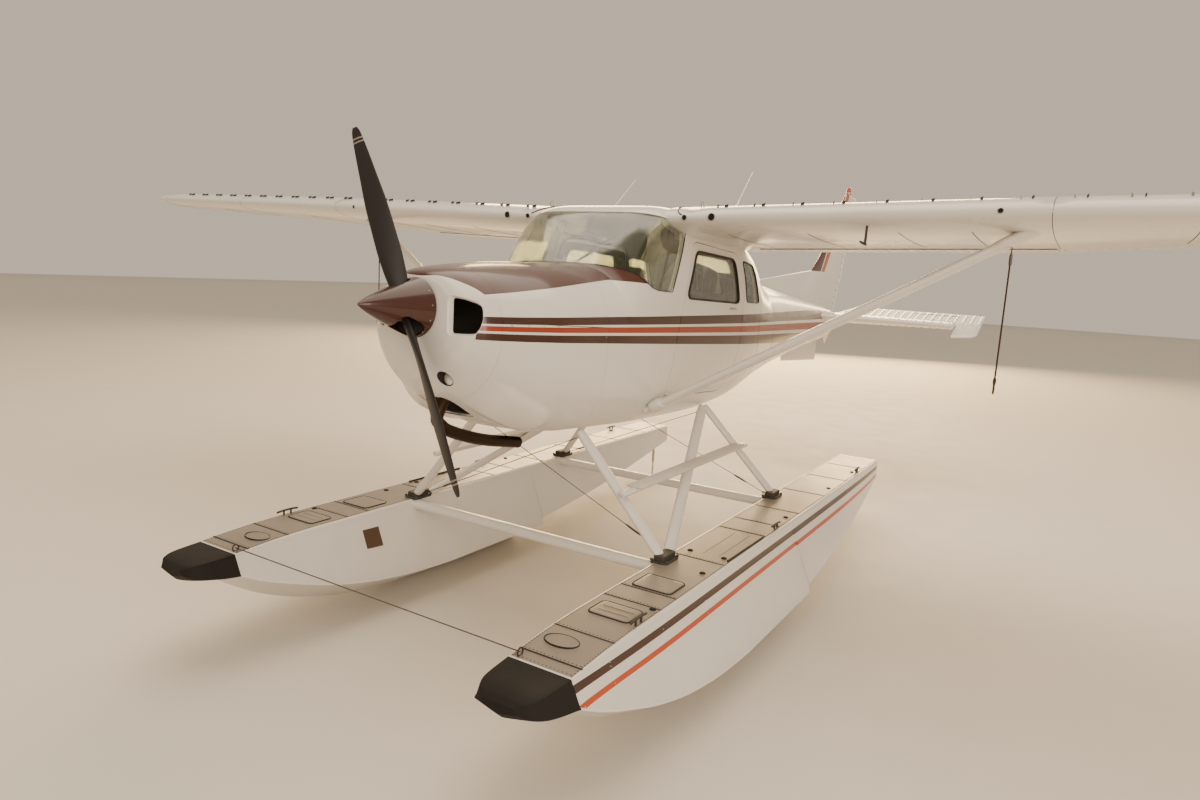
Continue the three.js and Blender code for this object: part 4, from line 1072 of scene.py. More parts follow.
SECTIONS = Table(
    [  # station, half width, roof, widest level, belly, squareness above it, squareness below it
        (-0.990, 0.239, 0.150, -0.060, -0.234, 2.3, 2.0),
        (-0.970, 0.285, 0.176, -0.075, -0.324, 2.35, 1.9),
        (-0.930, 0.330, 0.194, -0.095, -0.390, 2.4, 1.8),
        (-0.885, 0.368, 0.206, -0.110, -0.438, 2.45, 1.8),
        (-0.800, 0.407, 0.222, -0.122, -0.487, 2.48, 1.93),
        (-0.700, 0.443, 0.238, -0.130, -0.535, 2.5, 2.15),
        (-0.550, 0.475, 0.259, -0.137, -0.588, 2.55, 2.42),
        (-0.400, 0.499, 0.276, -0.140, -0.632, 2.6, 2.64),
        (0.000, 0.516, 0.310, -0.140, -0.676, 2.7, 3.0),
        (0.190, 0.524, 0.330, -0.135, -0.676, 2.8, 3.1),
        (0.300, 0.527, 0.470, -0.130, -0.676, 4.2, 3.2),
        (0.450, 0.530, 0.640, -0.125, -0.676, 6.2, 3.3),
        (0.600, 0.533, 0.718, -0.118, -0.676, 7.4, 3.4),
        (0.720, 0.535, 0.745, -0.112, -0.675, 7.4, 3.4),
        (1.000, 0.537, 0.768, -0.105, -0.670, 6.0, 3.4),
        (1.500, 0.537, 0.760, -0.095, -0.652, 4.8, 3.4),
        (1.950, 0.528, 0.722, -0.080, -0.610, 4.6, 3.3),
        (2.250, 0.505, 0.672, -0.065, -0.560, 4.2, 3.2),
        (2.420, 0.486, 0.610, -0.055, -0.532, 3.6, 3.0),
        (2.650, 0.456, 0.514, -0.045, -0.492, 3.0, 2.8),
        (2.950, 0.418, 0.436, -0.030, -0.442, 2.6, 2.6),
        (3.600, 0.338, 0.402, 0.010, -0.345, 2.4, 2.4),
        (4.600, 0.226, 0.356, 0.065, -0.215, 2.3, 2.3),
        (5.940, 0.092, 0.292, 0.120, -0.045, 2.2, 2.2),
    ]
)


def skin(station: np.ndarray, turn: np.ndarray, inset: float | np.ndarray = 0.0) -> np.ndarray:
    """The fuselage's skin: at each station a squared oval, whose radius in a direction is
    (|cos / a| to the n plus |sin / b| to the n) to the power of minus one over n.

    Args:
        station: distance behind the firewall.
        turn: the direction round the section, nought to the left and a quarter turn up.
        inset: how far inside the outer skin.

    Returns:
        Points in the airframe's axes.
    """
    half, top, mid, low, up, down = SECTIONS(station)
    c, s = np.cos(turn), np.sin(turn)
    n = np.where(s >= 0, up, down)
    b = np.where(s >= 0, top - mid, mid - low) - inset
    radius = (np.abs(c / (half - inset)) ** n + np.abs(s / b) ** n) ** (-1 / n)
    return spread(radius * c, station + 0 * turn, mid + radius * s)


def skin_x(station: np.ndarray, level: np.ndarray, inset: float = 0.0) -> np.ndarray:
    """Half the fuselage's width at a station and a level, from the same squared oval.

    Args:
        station: distance behind the firewall.
        level: height above the thrust line.
        inset: how far inside the outer skin.

    Returns:
        Half the width.
    """
    half, top, mid, low, up, down = SECTIONS(station)
    n = np.where(level > mid, up, down)
    b = np.where(level > mid, top - mid, mid - low) - inset
    share = np.clip(np.abs(level - mid) / b, 0, 1)
    return (half - inset) * (1 - share**n) ** (1 / n)


def skin_turn(station: np.ndarray, level: np.ndarray) -> np.ndarray:
    """The direction from a section's middle to its skin at a level, on the left."""
    return np.arctan2(level - SECTIONS(station)[2], skin_x(station, level))


def on_side(path: Sequence[Sequence[float]], side: float = 1.0, out: float = 0.0) -> np.ndarray:
    """Lay a path of (station, level) on the fuselage's side.

    Args:
        path: the path's points.
        side: 1 on the left, -1 on the right.
        out: how far it stands out from the skin.

    Returns:
        Points in the airframe's axes.
    """
    station, level = np.asarray(path, float).T
    return spread(side * skin_x(station, level, -out), station, level)


def side_normals(path: Sequence[Sequence[float]], side: float = 1.0, step: float = 0.004) -> np.ndarray:
    """Which way the fuselage's side faces along a path of (station, level), by small differences.

    Args:
        path: the path's points.
        side: 1 on the left, -1 on the right.
        step: the small difference.

    Returns:
        One direction for each point.
    """
    station, level = np.asarray(path, float).T
    along = (skin_x(station + step, level) - skin_x(station - step, level)) / (2 * step)
    up = (skin_x(station, level + step) - skin_x(station, level - step)) / (2 * step)
    return spread(side * np.ones_like(along), -along, -up)


def shell(
    stations: np.ndarray, wall: float, columns: int = 128, bump: Callable | None = None
) -> Shape:
    """A length of fuselage: the skin outside, the same inset by the wall inside, and closed at its ends.

    Args:
        stations: the rows, front to back.
        wall: the shell's thickness.
        columns: how many points go round.
        bump: gives how far the skin stands out at each station and turn.

    Returns:
        The shell.
    """
    turn = np.linspace(0, 2 * np.pi, columns, endpoint=False)[None]
    rows = np.asarray(stations, float)[:, None]
    lift = bump(rows, turn) if bump else 0.0
    outer = skin(rows, turn, -lift if bump else 0.0)
    inner = skin(rows, turn, wall)
    return Shape().grid(np.concatenate([outer, inner[::-1]]), loop=True)


# Studio


@dataclass
class Studio:
    """The pale floor, the soft lights and the camera."""

    eye: tuple[float, float, float] = (2.8372, -6.5045, 2.1873)
    right: tuple[float, float, float] = (0.84726, 0.52839, 0.05440)
    down: tuple[float, float, float] = (0.12842, -0.10439, -0.98621)
    ahead: tuple[float, float, float] = (-0.51543, 0.84256, -0.15630)
    lens_mm: float = 24.009
    sensor_mm: float = 36.0
    floor_half: float = 60.0

    def camera(self) -> None:
        """Stand the camera where the photograph was taken from."""
        data = bpy.data.cameras.new("camera")
        data.lens, data.sensor_width, data.sensor_fit = self.lens_mm, self.sensor_mm, "HORIZONTAL"
        data.clip_end = 300
        made = bpy.data.objects.new("camera", data)
        bpy.context.scene.collection.objects.link(made)
        columns = np.array([self.right, -np.array(self.down), -np.array(self.ahead), self.eye]).T
        made.matrix_world = Matrix(np.vstack([columns, [0, 0, 0, 1]]).tolist())
        bpy.context.scene.camera = made

    def lamp(
        self, name: str, at: Sequence[float], aim: Sequence[float], size: tuple[float, float], power: float,
        colour: str,
    ) -> None:
        """Hang a soft rectangular light.

        Args:
            name: the light's name.
            at: where it hangs.
            aim: the point that it faces.
            size: its width and height.
            power: its power in watts.
            colour: its sRGB hex colour.
        """
        data = bpy.data.lights.new(name, "AREA")
        data.shape, data.size, data.size_y = "RECTANGLE", *size
        data.energy, data.color = power, linear(colour)[:3]
        back = np.array(at, float) - np.array(aim, float)
        back /= np.linalg.norm(back)
        side = np.cross([0, 0, 1], back)
        side /= np.linalg.norm(side)
        rows = np.stack([side, np.cross(back, side), back, np.array(at, float)], -1)
        made = bpy.data.objects.new(name, data)
        made.matrix_world = Matrix(np.vstack([rows, [0, 0, 0, 1]]).tolist())
        bpy.context.scene.collection.objects.link(made)

    def build(self) -> None:
        """Set the camera, lay the floor and hang the lights."""
        self.camera()
        ticks = np.linspace(-self.floor_half, self.floor_half, 9)
        x, y = np.meshgrid(ticks, ticks, indexing="ij")
        sheet = Shape().slab(spread(x, y, 0.0 * x - 0.0005), spread(x, y, 0.0 * x - 0.05))
        data = sheet.mesh("studio_floor")
        floor = bpy.data.objects.new("studio_floor", data)
        data.materials.append(STUDIO_FLOOR.material())
        bpy.context.scene.collection.objects.link(floor)
        world = bpy.data.worlds.new("studio_air")
        world.use_nodes = True
        air = world.node_tree.nodes["Background"]
        air.inputs["Color"].default_value = linear("#f1dfc8")
        air.inputs["Strength"].default_value = 0.75
        bpy.context.scene.world = world
        self.lamp("low_back_light", (-7.5, 17.0, 5.5), (0, 0, 1.2), (16, 7), 5200, "#ffd9a0")
        self.lamp("overhead_light", (0, 0, 12), (0, 0.01, 0), (16, 14), 1500, "#fff1de")
        self.lamp("camera_side_light", (11, -10, 5.0), (0, -0.5, 1.2), (9, 6), 900, "#ffeedd")


# Handling ropes


@dataclass
class HandlingRopes(SubAssembly):
    """The two short ropes that hang from the wing struts, each with a clip above and an eye below."""

    axes: Place = Place.PART
    top: tuple[float, float, float] = (2.395, -1.659, 2.418)
    length: float = 0.76
    radius: float = 0.005
    sway: float = 0.004
    lay_turn: float = 0.022
    eye_length: float = 0.075

    def route(self, side: float) -> np.ndarray:
        """The rope's points: straight down from its clip, with a slight lean aft that fades out.

        Args:
            side: 1 on the left, -1 on the right.

        Returns:
            Points in the part's axes.
        """
        down = np.linspace(0, self.length, 20)
        lean = self.sway * np.sin(np.pi * down / self.length)
        return spread(side * self.top[0], self.top[1] + lean, self.top[2] - down)

    def rope(self, side: float, name: str) -> bpy.types.Object:
        """Three strands laid in a twist: the radius is 0.8 + 0.2 |cos(1.5 (angle - turn))| of the whole.

        Args:
            side: 1 on the left, -1 on the right.
            name: the piece's name.

        Returns:
            The rope.
        """
        path = even(self.route(side), 260, closed=False)
        angle = np.linspace(0, 2 * np.pi, 12, endpoint=False)[None]
        turn = np.linspace(0, self.length / self.lay_turn * 2 * np.pi / 3, len(path))[:, None]
        radius = self.radius * (0.8 + 0.2 * np.abs(np.cos(1.5 * (angle - turn))))
        points = path[:, None] + spread(radius * np.cos(angle), radius * np.sin(angle), 0 * radius)
        return self.add(Shape().grid(points), name, ROPE, replaces=[name])

    def build(self) -> None:
        """Hang both ropes with their fittings."""
        for name, side in both_sides("rope"):
            rope = self.rope(side, name)
            route = self.route(side)
            foot, head = route[-1], route[0]
            t = np.linspace(0, 2 * np.pi, 24, endpoint=False)
            eye = foot + spread(0 * t, 0.014 * np.sin(t), self.eye_length * (0.5 * np.cos(t) + 0.42))
            knot = Shape().tube(closed(eye), self.radius * 0.9, 8, ends=False)
            end = [(0, -0.016), (0.007, -0.015), (0.0085, -0.004), (0.0085, 0.012), (0.006, 0.02), (0, 0.021)]
            knot.turned(end, foot + [0, 0, 0.06], sides=12)
            eye_piece = self.add(knot, f"{name}_eye", ROPE)
            hook = head + spread(0 * t, 0.011 * np.sin(t), 0.016 + 0.028 * np.cos(t))[:-1]
            clip = Shape().tube(hook, 0.003, 8)
            grip = [
                (0, -0.07), (0.0075, -0.07), (0.0085, -0.06), (0.0085, -0.02), (0.006, -0.012), (0, -0.012),
            ]
            clip.turned(grip, head, sides=14)
            clip_piece = self.add(clip, f"{name}_clip", RIGGING)


# Nose, cowl and exhaust


@dataclass
class NoseAndCowl(SubAssembly):
    """The spun nose bowl, the two cowl halves and the exhaust pipe."""

    seam_at: float = -0.81
    split_level: float = -0.035
    wall: float = 0.010
    inlet: tuple = (
        (0.200, 0.079), (0.263, 0.070), (0.289, 0.061), (0.328, 0.046), (0.346, 0.018), (0.354, -0.041),
        (0.339, -0.097), (0.315, -0.115), (0.208, -0.119),
    )
    intake: tuple = (
        (-0.095, -0.437), (0.095, -0.437), (0.122, -0.465),
        (0.134, -0.552), (-0.134, -0.552), (-0.122, -0.465),
    )
    intake_back: float = -0.65
    exhaust_x: float = 0.075
    lamp_at: tuple = (0.164, -0.333)
    lamp_radius: float = 0.037
    exhaust: tuple = (
        (-0.79, -0.42), (-0.855, -0.485), (-0.878, -0.545),
        (-0.826, -0.598), (-0.52, -0.688), (-0.195, -0.736),
    )

    def chin(self, station: np.ndarray, turn: np.ndarray) -> np.ndarray:
        """The blister low on each cowl side: a half sine between its crease and its ridge, which fades out.

        Args:
            station: distance behind the firewall.
            turn: the direction round the section.

        Returns:
            How far the skin stands out.
        """
        point = skin(station, turn)
        level = point[..., 2]
        along = np.clip((station + 0.80) / 0.53, 0, 1)
        crease = -0.315 - 0.225 * along
        foot = -0.60 - 0.03 * along
        share = np.clip((level - foot) / (crease - foot), 0, 1)
        fade = ease(along, 0, 0.25) * (1 - ease(along, 0.7, 1.0))
        return 0.038 * fade * np.sin(np.pi * share) ** 0.62 * ease(np.abs(point[..., 0]), 0.13, 0.24)

    def inlet_outline(self, side: float, grow: float = 0.0) -> np.ndarray:
        """The rounded inlet opening as (x, z), larger by grow."""
        ring = inset(rounded(self.inlet, 0.03, 48), -grow)
        return ring * [side, 1]

    def bowl(self) -> None:
        """The nose bowl: a dished face, a round shoulder back to the seam, and the inlets cut through."""
        turn = np.linspace(0, 2 * np.pi, 144, endpoint=False)[None]
        share = np.linspace(0.42, 1, 12)[:, None]
        front = skin(np.full((1, 1), -0.99), turn)[0]
        middle = np.array([0, -0.99, -0.04])
        face = middle + (front - middle) * share[..., None]
        face[..., 1] -= 0.009 * (1 - share**3)
        rows = -0.99 + (self.seam_at - 0.0005 + 0.99) * np.linspace(0, 1, 30)[1:] ** 1.5
        outer = np.concatenate([face, skin(rows[:, None], turn)])
        inner = outer[::-1]
        middle_in = inner.mean(1, keepdims=True)
        inner = middle_in + (inner - middle_in) * (1 - self.wall / 0.4) + [0, self.wall, 0]
        inner[0, :, 1] = outer[-1, :, 1]
        data = Shape().grid(np.concatenate([outer, inner]), loop=True).mesh("nose_bowl", Place.AIRFRAME)
        tools = [prism(self.inlet_outline(side), -1.1, -0.82, axis=1) for side in (1.0, -1.0)]
        tools.append(self.mouth())
        tools.append(prism(self.lamp_ring(), -1.1, -0.86, axis=1))
        self.add(carved(data, tools), "nose_bowl_skin", FUSELAGE_PAINT, replaces=["nose_bowl"])

    def mouth(self) -> bpy.types.Mesh:
        """The block of air that the intake takes out of the chin."""
        return prism(rounded(self.intake, 0.025, 48), -1.1, self.intake_back, axis=1)

    def lamp_ring(self, grow: float = 0.0) -> np.ndarray:
        """The landing lamp's round opening as (x, z), larger by grow.

        Args:
            grow: how much larger its radius is.

        Returns:
            Points (x, z).
        """
        a = np.linspace(0, 2 * np.pi, 40, endpoint=False)
        radius = self.lamp_radius + grow
        return np.stack([self.lamp_at[0] + radius * np.cos(a), self.lamp_at[1] + radius * np.sin(a)], -1)

    def bowl_station(self, flat: np.ndarray) -> np.ndarray:
        """Where the bowl's skin stands ahead of or behind a point (x, z): the first section that holds it.

        Args:
            flat: the points, as (x, z).

        Returns:
            The stations.
        """
        stations = np.linspace(-0.99, -0.55, 260)
        half, top, mid, low, up, down = SECTIONS(stations)[..., None]
        x, z = np.abs(flat[:, 0]), flat[:, 1]
        above = z > mid
        n, b = np.where(above, up, down), np.where(above, top - mid, mid - low)
        held = (x / half) ** n + (np.abs(z - mid) / b) ** n <= 1
        return stations[np.argmax(held, 0)]

    def lining(self, ring: np.ndarray, depth: float, draw_in: float = 0.012, forward: float = 0.0) -> Shape:
        """A thin-walled throat behind an opening: its mouth follows the skin and its bore draws in.

        Args:
            ring: the opening's outline as (x, z).
            depth: how far back it goes.
            draw_in: how much narrower it is at its back.
            forward: how far its lower lip stands ahead of the skin.

        Returns:
            The throat.
        """
        low = ring[:, 1].min()
        lip = forward * (1 - ease(ring[:, 1], low, low + 0.05))
        start = self.bowl_station(ring) + 0.001 - lip
        rows = []
        for t in np.linspace(0, 1, 7):
            flat = inset(ring, draw_in * math.sin(t * np.pi / 2))
            rows.append(spread(flat[:, 0], start + depth * t, flat[:, 1]))
        inner = np.stack(rows)
        outer = inner + (inner - inner.mean(1, keepdims=True)) * [0.05, 0, 0.05]
        return Shape().grid(np.concatenate([inner, outer[::-1]]), loop=True)

    def inlets(self) -> None:
        """Line each opening, set the lamp in its well and hang a dark disc behind them, painted shade that
        closes the view into the cowl.
        """
        for name, side in both_sides("inlet_lining"):
            self.add(self.lining(self.inlet_outline(side, -0.0006), 0.03), name, WHITE)
        throat = inset(rounded(self.intake, 0.025, 48), 0.0006)
        self.add(self.lining(throat, 0.06, 0.010, 0.016), "intake_lining", WHITE)
        self.add(
            self.lining(self.lamp_ring(-0.0006), 0.05, 0.004), "landing_lamp_well", SEAL,
            slot="engine_metal",
        )
        x, z = self.lamp_at
        y = float(self.bowl_station(self.lamp_ring()).max()) - 0.022
        dish = [(0, 0.046), (0.018, 0.044), (0.031, 0.022), (0.0315, 0.05), (0, 0.052)]
        self.add(
            Shape().turned(dish, (x, y, z), (0, 1, 0), 36), "landing_lamp_dish", BARE, slot="engine_metal"
        )
        lens = [(0, 0.012), (0.02, 0.0135), (0.031, 0.019), (0.031, 0.0215), (0, 0.0205)]
        self.add(
            Shape().turned(lens, (x, y, z), (0, 1, 0), 36), "landing_lamp_lens", LAMP_CLEAR,
            slot="tinted_glass",
        )
        # A dark disc across the whole cowl behind the openings: painted shade for the dark inside of the cowl
        a = np.linspace(0, 2 * np.pi, 64, endpoint=False)
        rim = skin(np.full(64, -0.70), a, 0.013)
        hub = rim * [0.02, 1, 0.02]
        shade_disc = Shape().grid(np.stack([hub, rim, rim + [0, 0.004, 0], hub + [0, 0.004, 0]]), loop=True)
        self.add(shade_disc, "cowl_shade_disc", BLACK_RUBBER_AND_SHADE, slot="engine_metal")

    def cowl_half(self, name: str, low: bool) -> bpy.types.Mesh:
        """One half of the cowl: the skin between the split line and its mirror, above or below.

        Args:
            name: the mesh's name.
            low: whether it is the lower half.

        Returns:
            The mesh.
        """
        rows = np.linspace(self.seam_at + 0.0005, -0.0008, 72)[:, None]
        split = skin_turn(rows, self.split_level + (-0.001 if low else 0.001))
        share = np.linspace(0, 1, 120)[None]
        turn = (split - (np.pi + 2 * split) * share) if low else (split + (np.pi - 2 * split) * share)
        lift = self.chin(rows, turn) if low else 0.0
        outer, inner = skin(rows, turn, -lift), skin(rows, turn, self.wall)
        return Shape().slab(outer, inner).mesh(name, Place.AIRFRAME)

    def cowls(self) -> None:
        """Both cowl halves, with the air outlet cut in the belly, the split's screws and the panel joints."""
        self.add(
            self.cowl_half("cowl_upper", False), "cowl_upper_skin", FUSELAGE_PAINT, slot="brown_skin",
            replaces=["cowl_upper"],
        )
        outlet = oblong((0, -0.135), (0.19, 0.195), 0.04)
        lower = carved(self.cowl_half("cowl_lower", True), [prism(outlet, -0.8, -0.56, axis=2), self.mouth()])
        self.add(lower, "cowl_lower_skin", FUSELAGE_PAINT, replaces=["cowl_lower"])
        stations = np.linspace(-0.80, -0.02, 30)
        screws, bolts = Shape(), np.linspace(-0.76, -0.06, 8)
        for _, side in both_sides("cowl"):
            path = np.stack([bolts, -0.026 + 0.030 * bolts], -1)
            screws.domes(on_side(path, side), side_normals(path, side), 0.0055, 0.002)
            upright = np.stack([np.full(14, -0.022), np.linspace(-0.55, 0.2, 14)], -1)
            screws.domes(on_side(upright, side), side_normals(upright, side), 0.0035, 0.0015)
        self.add(screws, "cowl_screws", BARE)
        for name, side in both_sides("cowl_split_joint"):
            path = np.stack([stations, np.full(30, self.split_level)], -1)
            self.seam(on_side(path, side), name, GAP, 0.002)
        a = np.linspace(0, 2 * np.pi, 97)
        ring = skin(np.full(97, self.seam_at), a, 0.0012)
        self.seam(ring, "nose_bowl_joint", SEAL, 0.0011, thin=1.0)

    def pipe(self) -> None:
        """The exhaust pipe, swept out of the lower cowl and aft along the belly."""
        t = np.linspace(0, 1, len(self.exhaust))
        fine = np.linspace(0, 1, 40)
        curve = Table([(k, *row) for k, row in zip(t, self.exhaust)])(fine)
        path = spread(self.exhaust_x, curve[0], curve[1])
        self.add(Shape().tube(path, 0.033, 24, ends=False), "exhaust_tube", STEEL, replaces=["exhaust_pipe"])
        end = path[-1] - path[-2]
        end /= np.linalg.norm(end)
        lip = [(0.028, 0.0), (0.0305, -0.002), (0.0335, 0.0), (0.0335, 0.008), (0.028, 0.008)]
        mouth = Shape().turned(lip, path[-1] + end * 0.002, -end, 28, loop=True)
        self.add(mouth, "exhaust_lip", STEEL)
        # A dark disc just inside the pipe's mouth: painted shade for the inside of the pipe
        disc = [(0, 0.0), (0.0285, 0.0), (0.0285, 0.004), (0, 0.004)]
        bore = Shape().turned(disc, path[-1] + end * 0.003, -end, 24)
        self.add(bore, "exhaust_bore_shade", BLACK_RUBBER_AND_SHADE, slot="exhaust_metal")

    def build(self) -> None:
        """Make the bowl, its openings, the cowls and the pipe."""
        self.bowl()
        self.inlets()
        self.cowls()
        self.pipe()


# Cabin


@dataclass
class Cabin(SubAssembly):
    """The cabin's shell with its windshield, windows and two doors."""

    wall: float = 0.03
    ends: tuple = (0.0008, 2.419)
    windshield: tuple = (
        (0.150, 0.362), (0.373, 0.244), (0.445, 0.216), (0.530, 0.205), (0.700, 0.207), (0.835, 0.590),
        (0.660, 0.655), (0.500, 0.672), (0.420, 0.900), (0.100, 0.900),
    )
    door: tuple = (
        (0.748, -0.47), (1.70, -0.47), (1.925, -0.15), (1.925, 0.19), (1.79, 0.556), (0.955, 0.556),
    )
    door_window: tuple = ((0.915, 0.18), (1.82, 0.19), (1.69, 0.505), (1.01, 0.498))
    side_window: tuple = ((1.99, 0.205), (2.34, 0.215), (2.16, 0.5), (1.88, 0.512))
    rear_window: tuple = ((2.30, 0.61), (2.79, 0.458), (2.90, 0.70), (2.33, 0.90))
    rear_half: float = 0.372
    leaf_gap: float = 0.006
    pane: float = 0.005
    rebate: float = 0.002

    def side_prism(self, outline: np.ndarray, side: float) -> bpy.types.Mesh:
        """A prism through one side of the cabin."""
        low, high = sorted((side * 0.25, side * 0.75))
        return prism(outline, low, high)

    def skin_shell(
        self, first: float, last: float, inner: float, outer: float, step: float = 0.02
    ) -> bpy.types.Mesh:
        """A length of skin between two insets, to cut panes and leaves from.

        Args:
            first: its first station.
            last: its last station.
            inner: how far its inner face lies inside the skin.
            outer: the same of its outer face.
            step: the distance between rows.

        Returns:
            The mesh.
        """
        rows = np.arange(first, last + step / 2, step)[:, None]
        turn = np.linspace(0, 2 * np.pi, 168, endpoint=False)[None]
        sheet = np.concatenate([skin(rows, turn, outer), skin(rows[::-1], turn, inner)])
        return Shape().grid(sheet, loop=True).mesh("skin_shell", Place.AIRFRAME)

    def body(self) -> None:
        """The shell with every opening cut, in one clean wall."""
        rows = np.linspace(*self.ends, 100)
        data = shell(rows, self.wall, 168).mesh("cabin_shell", Place.AIRFRAME)
        tools = [prism(rounded(self.windshield, 0.03), -0.7, 0.7)]
        for side in (1.0, -1.0):
            tools.append(self.side_prism(rounded(self.door, 0.07), side))
            tools.append(self.side_prism(rounded(self.side_window, 0.045), side))
        tools.append(prism(rounded(self.rear_window, 0.03), -self.rear_half, self.rear_half))
        self.add(carved(data, tools), "cabin_skin", FUSELAGE_PAINT, replaces=["cabin_shell"])

    def panes(self) -> None:
        """The windshield, the two side windows and the rear window, each a sheet of bent acrylic."""
        rebate, inner = self.rebate, self.rebate + self.pane
        cuts = {"windshield": (0.06, 0.9, self.windshield, 0.03, None)}
        for name, side in both_sides("side_window"):
            cuts[name] = (1.82, 2.4, self.side_window, 0.045, side)
        cuts["rear_window"] = (2.24, 2.96, self.rear_window, 0.03, None)
        for name, (first, last, outline, radius, side) in cuts.items():
            ring = inset(rounded(outline, radius), 0.001)
            half = self.rear_half - 0.001 if name == "rear_window" else 0.7
            tool = self.side_prism(ring, side) if side else prism(ring, -half, half)
            data = carved(self.skin_shell(first, last, inner, rebate), [tool], Cut.WITHIN)
            self.add(data, f"{name}_pane", GLASS, replaces=[name])

    def seals(self) -> None:
        """Rubber strips round each side window's edge, and a dark strip along the windshield's edge."""
        for name, side in both_sides("side_window_seal"):
            ring = closed(rounded(self.side_window, 0.045))
            self.seam(on_side(ring, side, 0.0005), name, SEAL, 0.006, thin=0.6)
        for name, side in both_sides("windshield_seal"):
            path = even(np.array([(0.215, 0.3275), *self.windshield[1:6]]), 70, closed=False)
            self.seam(on_side(path, side, 0.0008), name, SEAL, 0.0045)

    def linings(self) -> None:
        """The dark headlining and side panels, with window openings a little smaller than the glass."""
        blank = self.skin_shell(0.06, 2.40, self.wall + 0.007, self.wall + 0.001)
        tools = [prism(inset(rounded(self.windshield, 0.03), 0.003), -0.7, 0.7)]
        for side in (1.0, -1.0):
            tools.append(self.side_prism(rounded(self.door, 0.07), side))
            tools.append(self.side_prism(inset(rounded(self.side_window, 0.045), 0.014), side))
        tools.append(prism(rounded(self.rear_window, 0.03), -self.rear_half, self.rear_half))
        self.add(carved(blank, tools), "cabin_lining", LINING)

    def door_leaf(self, name: str, side: float) -> None:
        """One door: its leaf, glass, window seal, lining and handle.

        Args:
            name: the piece's name.
            side: 1 on the left, -1 on the right.
        """
        body, word = f"{name.split('_')[1]}_door", name.split("_")[1]
        outline = inset(rounded(self.door, 0.07), self.leaf_gap - 0.001)
        blank = self.skin_shell(0.70, 1.96, self.wall, 0.0)
        leaf = carved(blank, [self.side_prism(outline, side)], Cut.WITHIN)
        leaf = carved(leaf, [self.side_prism(rounded(self.door_window, 0.055), side)])
        self.add(leaf, f"{name}_leaf", FUSELAGE_PAINT, body, "door_skin", replaces=[name])
        frame_ring = rounded(self.door_window, 0.055)
        ring = inset(frame_ring, 0.001)
        sheet = self.skin_shell(0.88, 1.86, self.rebate + self.pane, self.rebate)
        pane = carved(sheet, [self.side_prism(ring, side)], Cut.WITHIN)
        self.add(pane, f"door_pane_{word}", GLASS, body, replaces=[f"door_glass_{word}"])
        self.seam(on_side(closed(frame_ring), side, 0.0005), f"{name}_window_seal", SEAL, 0.013, body)
        inner = self.skin_shell(0.72, 1.94, self.wall + 0.007, self.wall + 0.001)
        inner = carved(inner, [self.side_prism(inset(outline, 0.012), side)], Cut.WITHIN)
        hole = [(0.948, 0.235), (1.79, 0.245), (1.665, 0.485), (1.03, 0.478)]
        inner = carved(inner, [self.side_prism(rounded(hole, 0.05), side)])
        self.add(inner, f"door_lining_{word}", LINING, body)
        self.handle(word, side, body)

    def handle(self, word: str, side: float, body: str) -> None:
        """The flush pull handle in its dished plate, low behind the window.

        Args:
            word: left or right.
            side: 1 on the left, -1 on the right.
            body: the moving body that carries it.
        """
        dish = oblong((1.71, 0.145), (0.07, 0.02), 0.018)
        surface = lambda out: lambda flat, depth=0.0: on_side(flat, side, out - depth)
        plate = Shape().plate(dish, surface(-0.004), surface(0.0015), 0.0015)
        self.add(plate, f"door_handle_plate_{word}", WHITE, body, "door_skin")
        grip = np.stack([np.linspace(1.655, 1.765, 12), np.full(12, 0.145)], -1)
        out = 0.006 + 0.004 * np.sin(np.linspace(0, np.pi, 12))
        path = on_side(grip, side) + spread(side * out, 0 * out, 0 * out)
        self.add(
            Shape().tube(path, 0.007, 12, 0.55, wide=(0, 0, 1)), f"door_handle_{word}", BARE, body,
            "door_skin",
        )

    def build(self) -> None:
        """Make the shell, its glass, its seals and both doors."""
        self.body()
        self.panes()
        self.seals()
        self.linings()
        for name, side in both_sides("door"):
            self.door_leaf(name, side)


# Tail cone


@dataclass
class TailCone(SubAssembly):
    """The riveted tail cone behind the cabin."""

    wall: float = 0.010
    frames: tuple = (2.42, 2.98, 3.55, 4.12, 4.69, 5.26)

    def build(self) -> None:
        """Make the cone, its rear cap, its skin joints and its rivets."""
        rows = np.concatenate([np.linspace(2.421, 5.92, 96), [5.93, 5.937, 5.940]])
        turn = np.linspace(0, 2 * np.pi, 128, endpoint=False)[None]
        outer = skin(rows[:, None], turn)
        share = np.array([1.0] * 96 + [0.96, 0.86, 0.6])[:, None, None]
        middle = outer.mean(1, keepdims=True)
        outer = middle + (outer - middle) * share
        solid = Shape().grid(outer).mesh("tail_cone", Place.AIRFRAME)
        bore = skin(np.linspace(2.40, 5.86, 60)[:, None], turn, self.wall)
        hollow = Shape().grid(bore).mesh("hollow", Place.AIRFRAME)
        window = prism(rounded(Cabin.rear_window, 0.03), -Cabin.rear_half, Cabin.rear_half)
        self.add(carved(solid, [hollow, window]), "tail_cone_skin", FUSELAGE_PAINT, replaces=["tail_cone"])
        a = np.linspace(0, 2 * np.pi, 90, endpoint=False)
        rivets = Shape()
        for k, station in enumerate(self.frames):
            ring = skin(np.full(91, station), np.append(a, 0.0), -0.0002)
            self.seam(ring, f"tail_skin_joint_{k}", GAP, 0.0018, thin=0.4)
            for offset in (-0.012, 0.012):
                points = skin(np.full(90, station + offset), a)
                rivets.domes(points, outward(skin, np.full(90, station + offset), a), 0.003, 0.0012)
        for level in (0.03, -0.12, 0.22):
            stations = np.arange(2.5, 5.4, 0.05)
            shift = level * (1 - 0.16 * (stations - 2.5))
            for side in (1.0, -1.0):
                path = np.stack([stations, shift], -1)
                rivets.domes(on_side(path, side), side_normals(path, side), 0.003, 0.0012)
        self.add(rivets, "tail_cone_rivets", WHITE)


# Wings


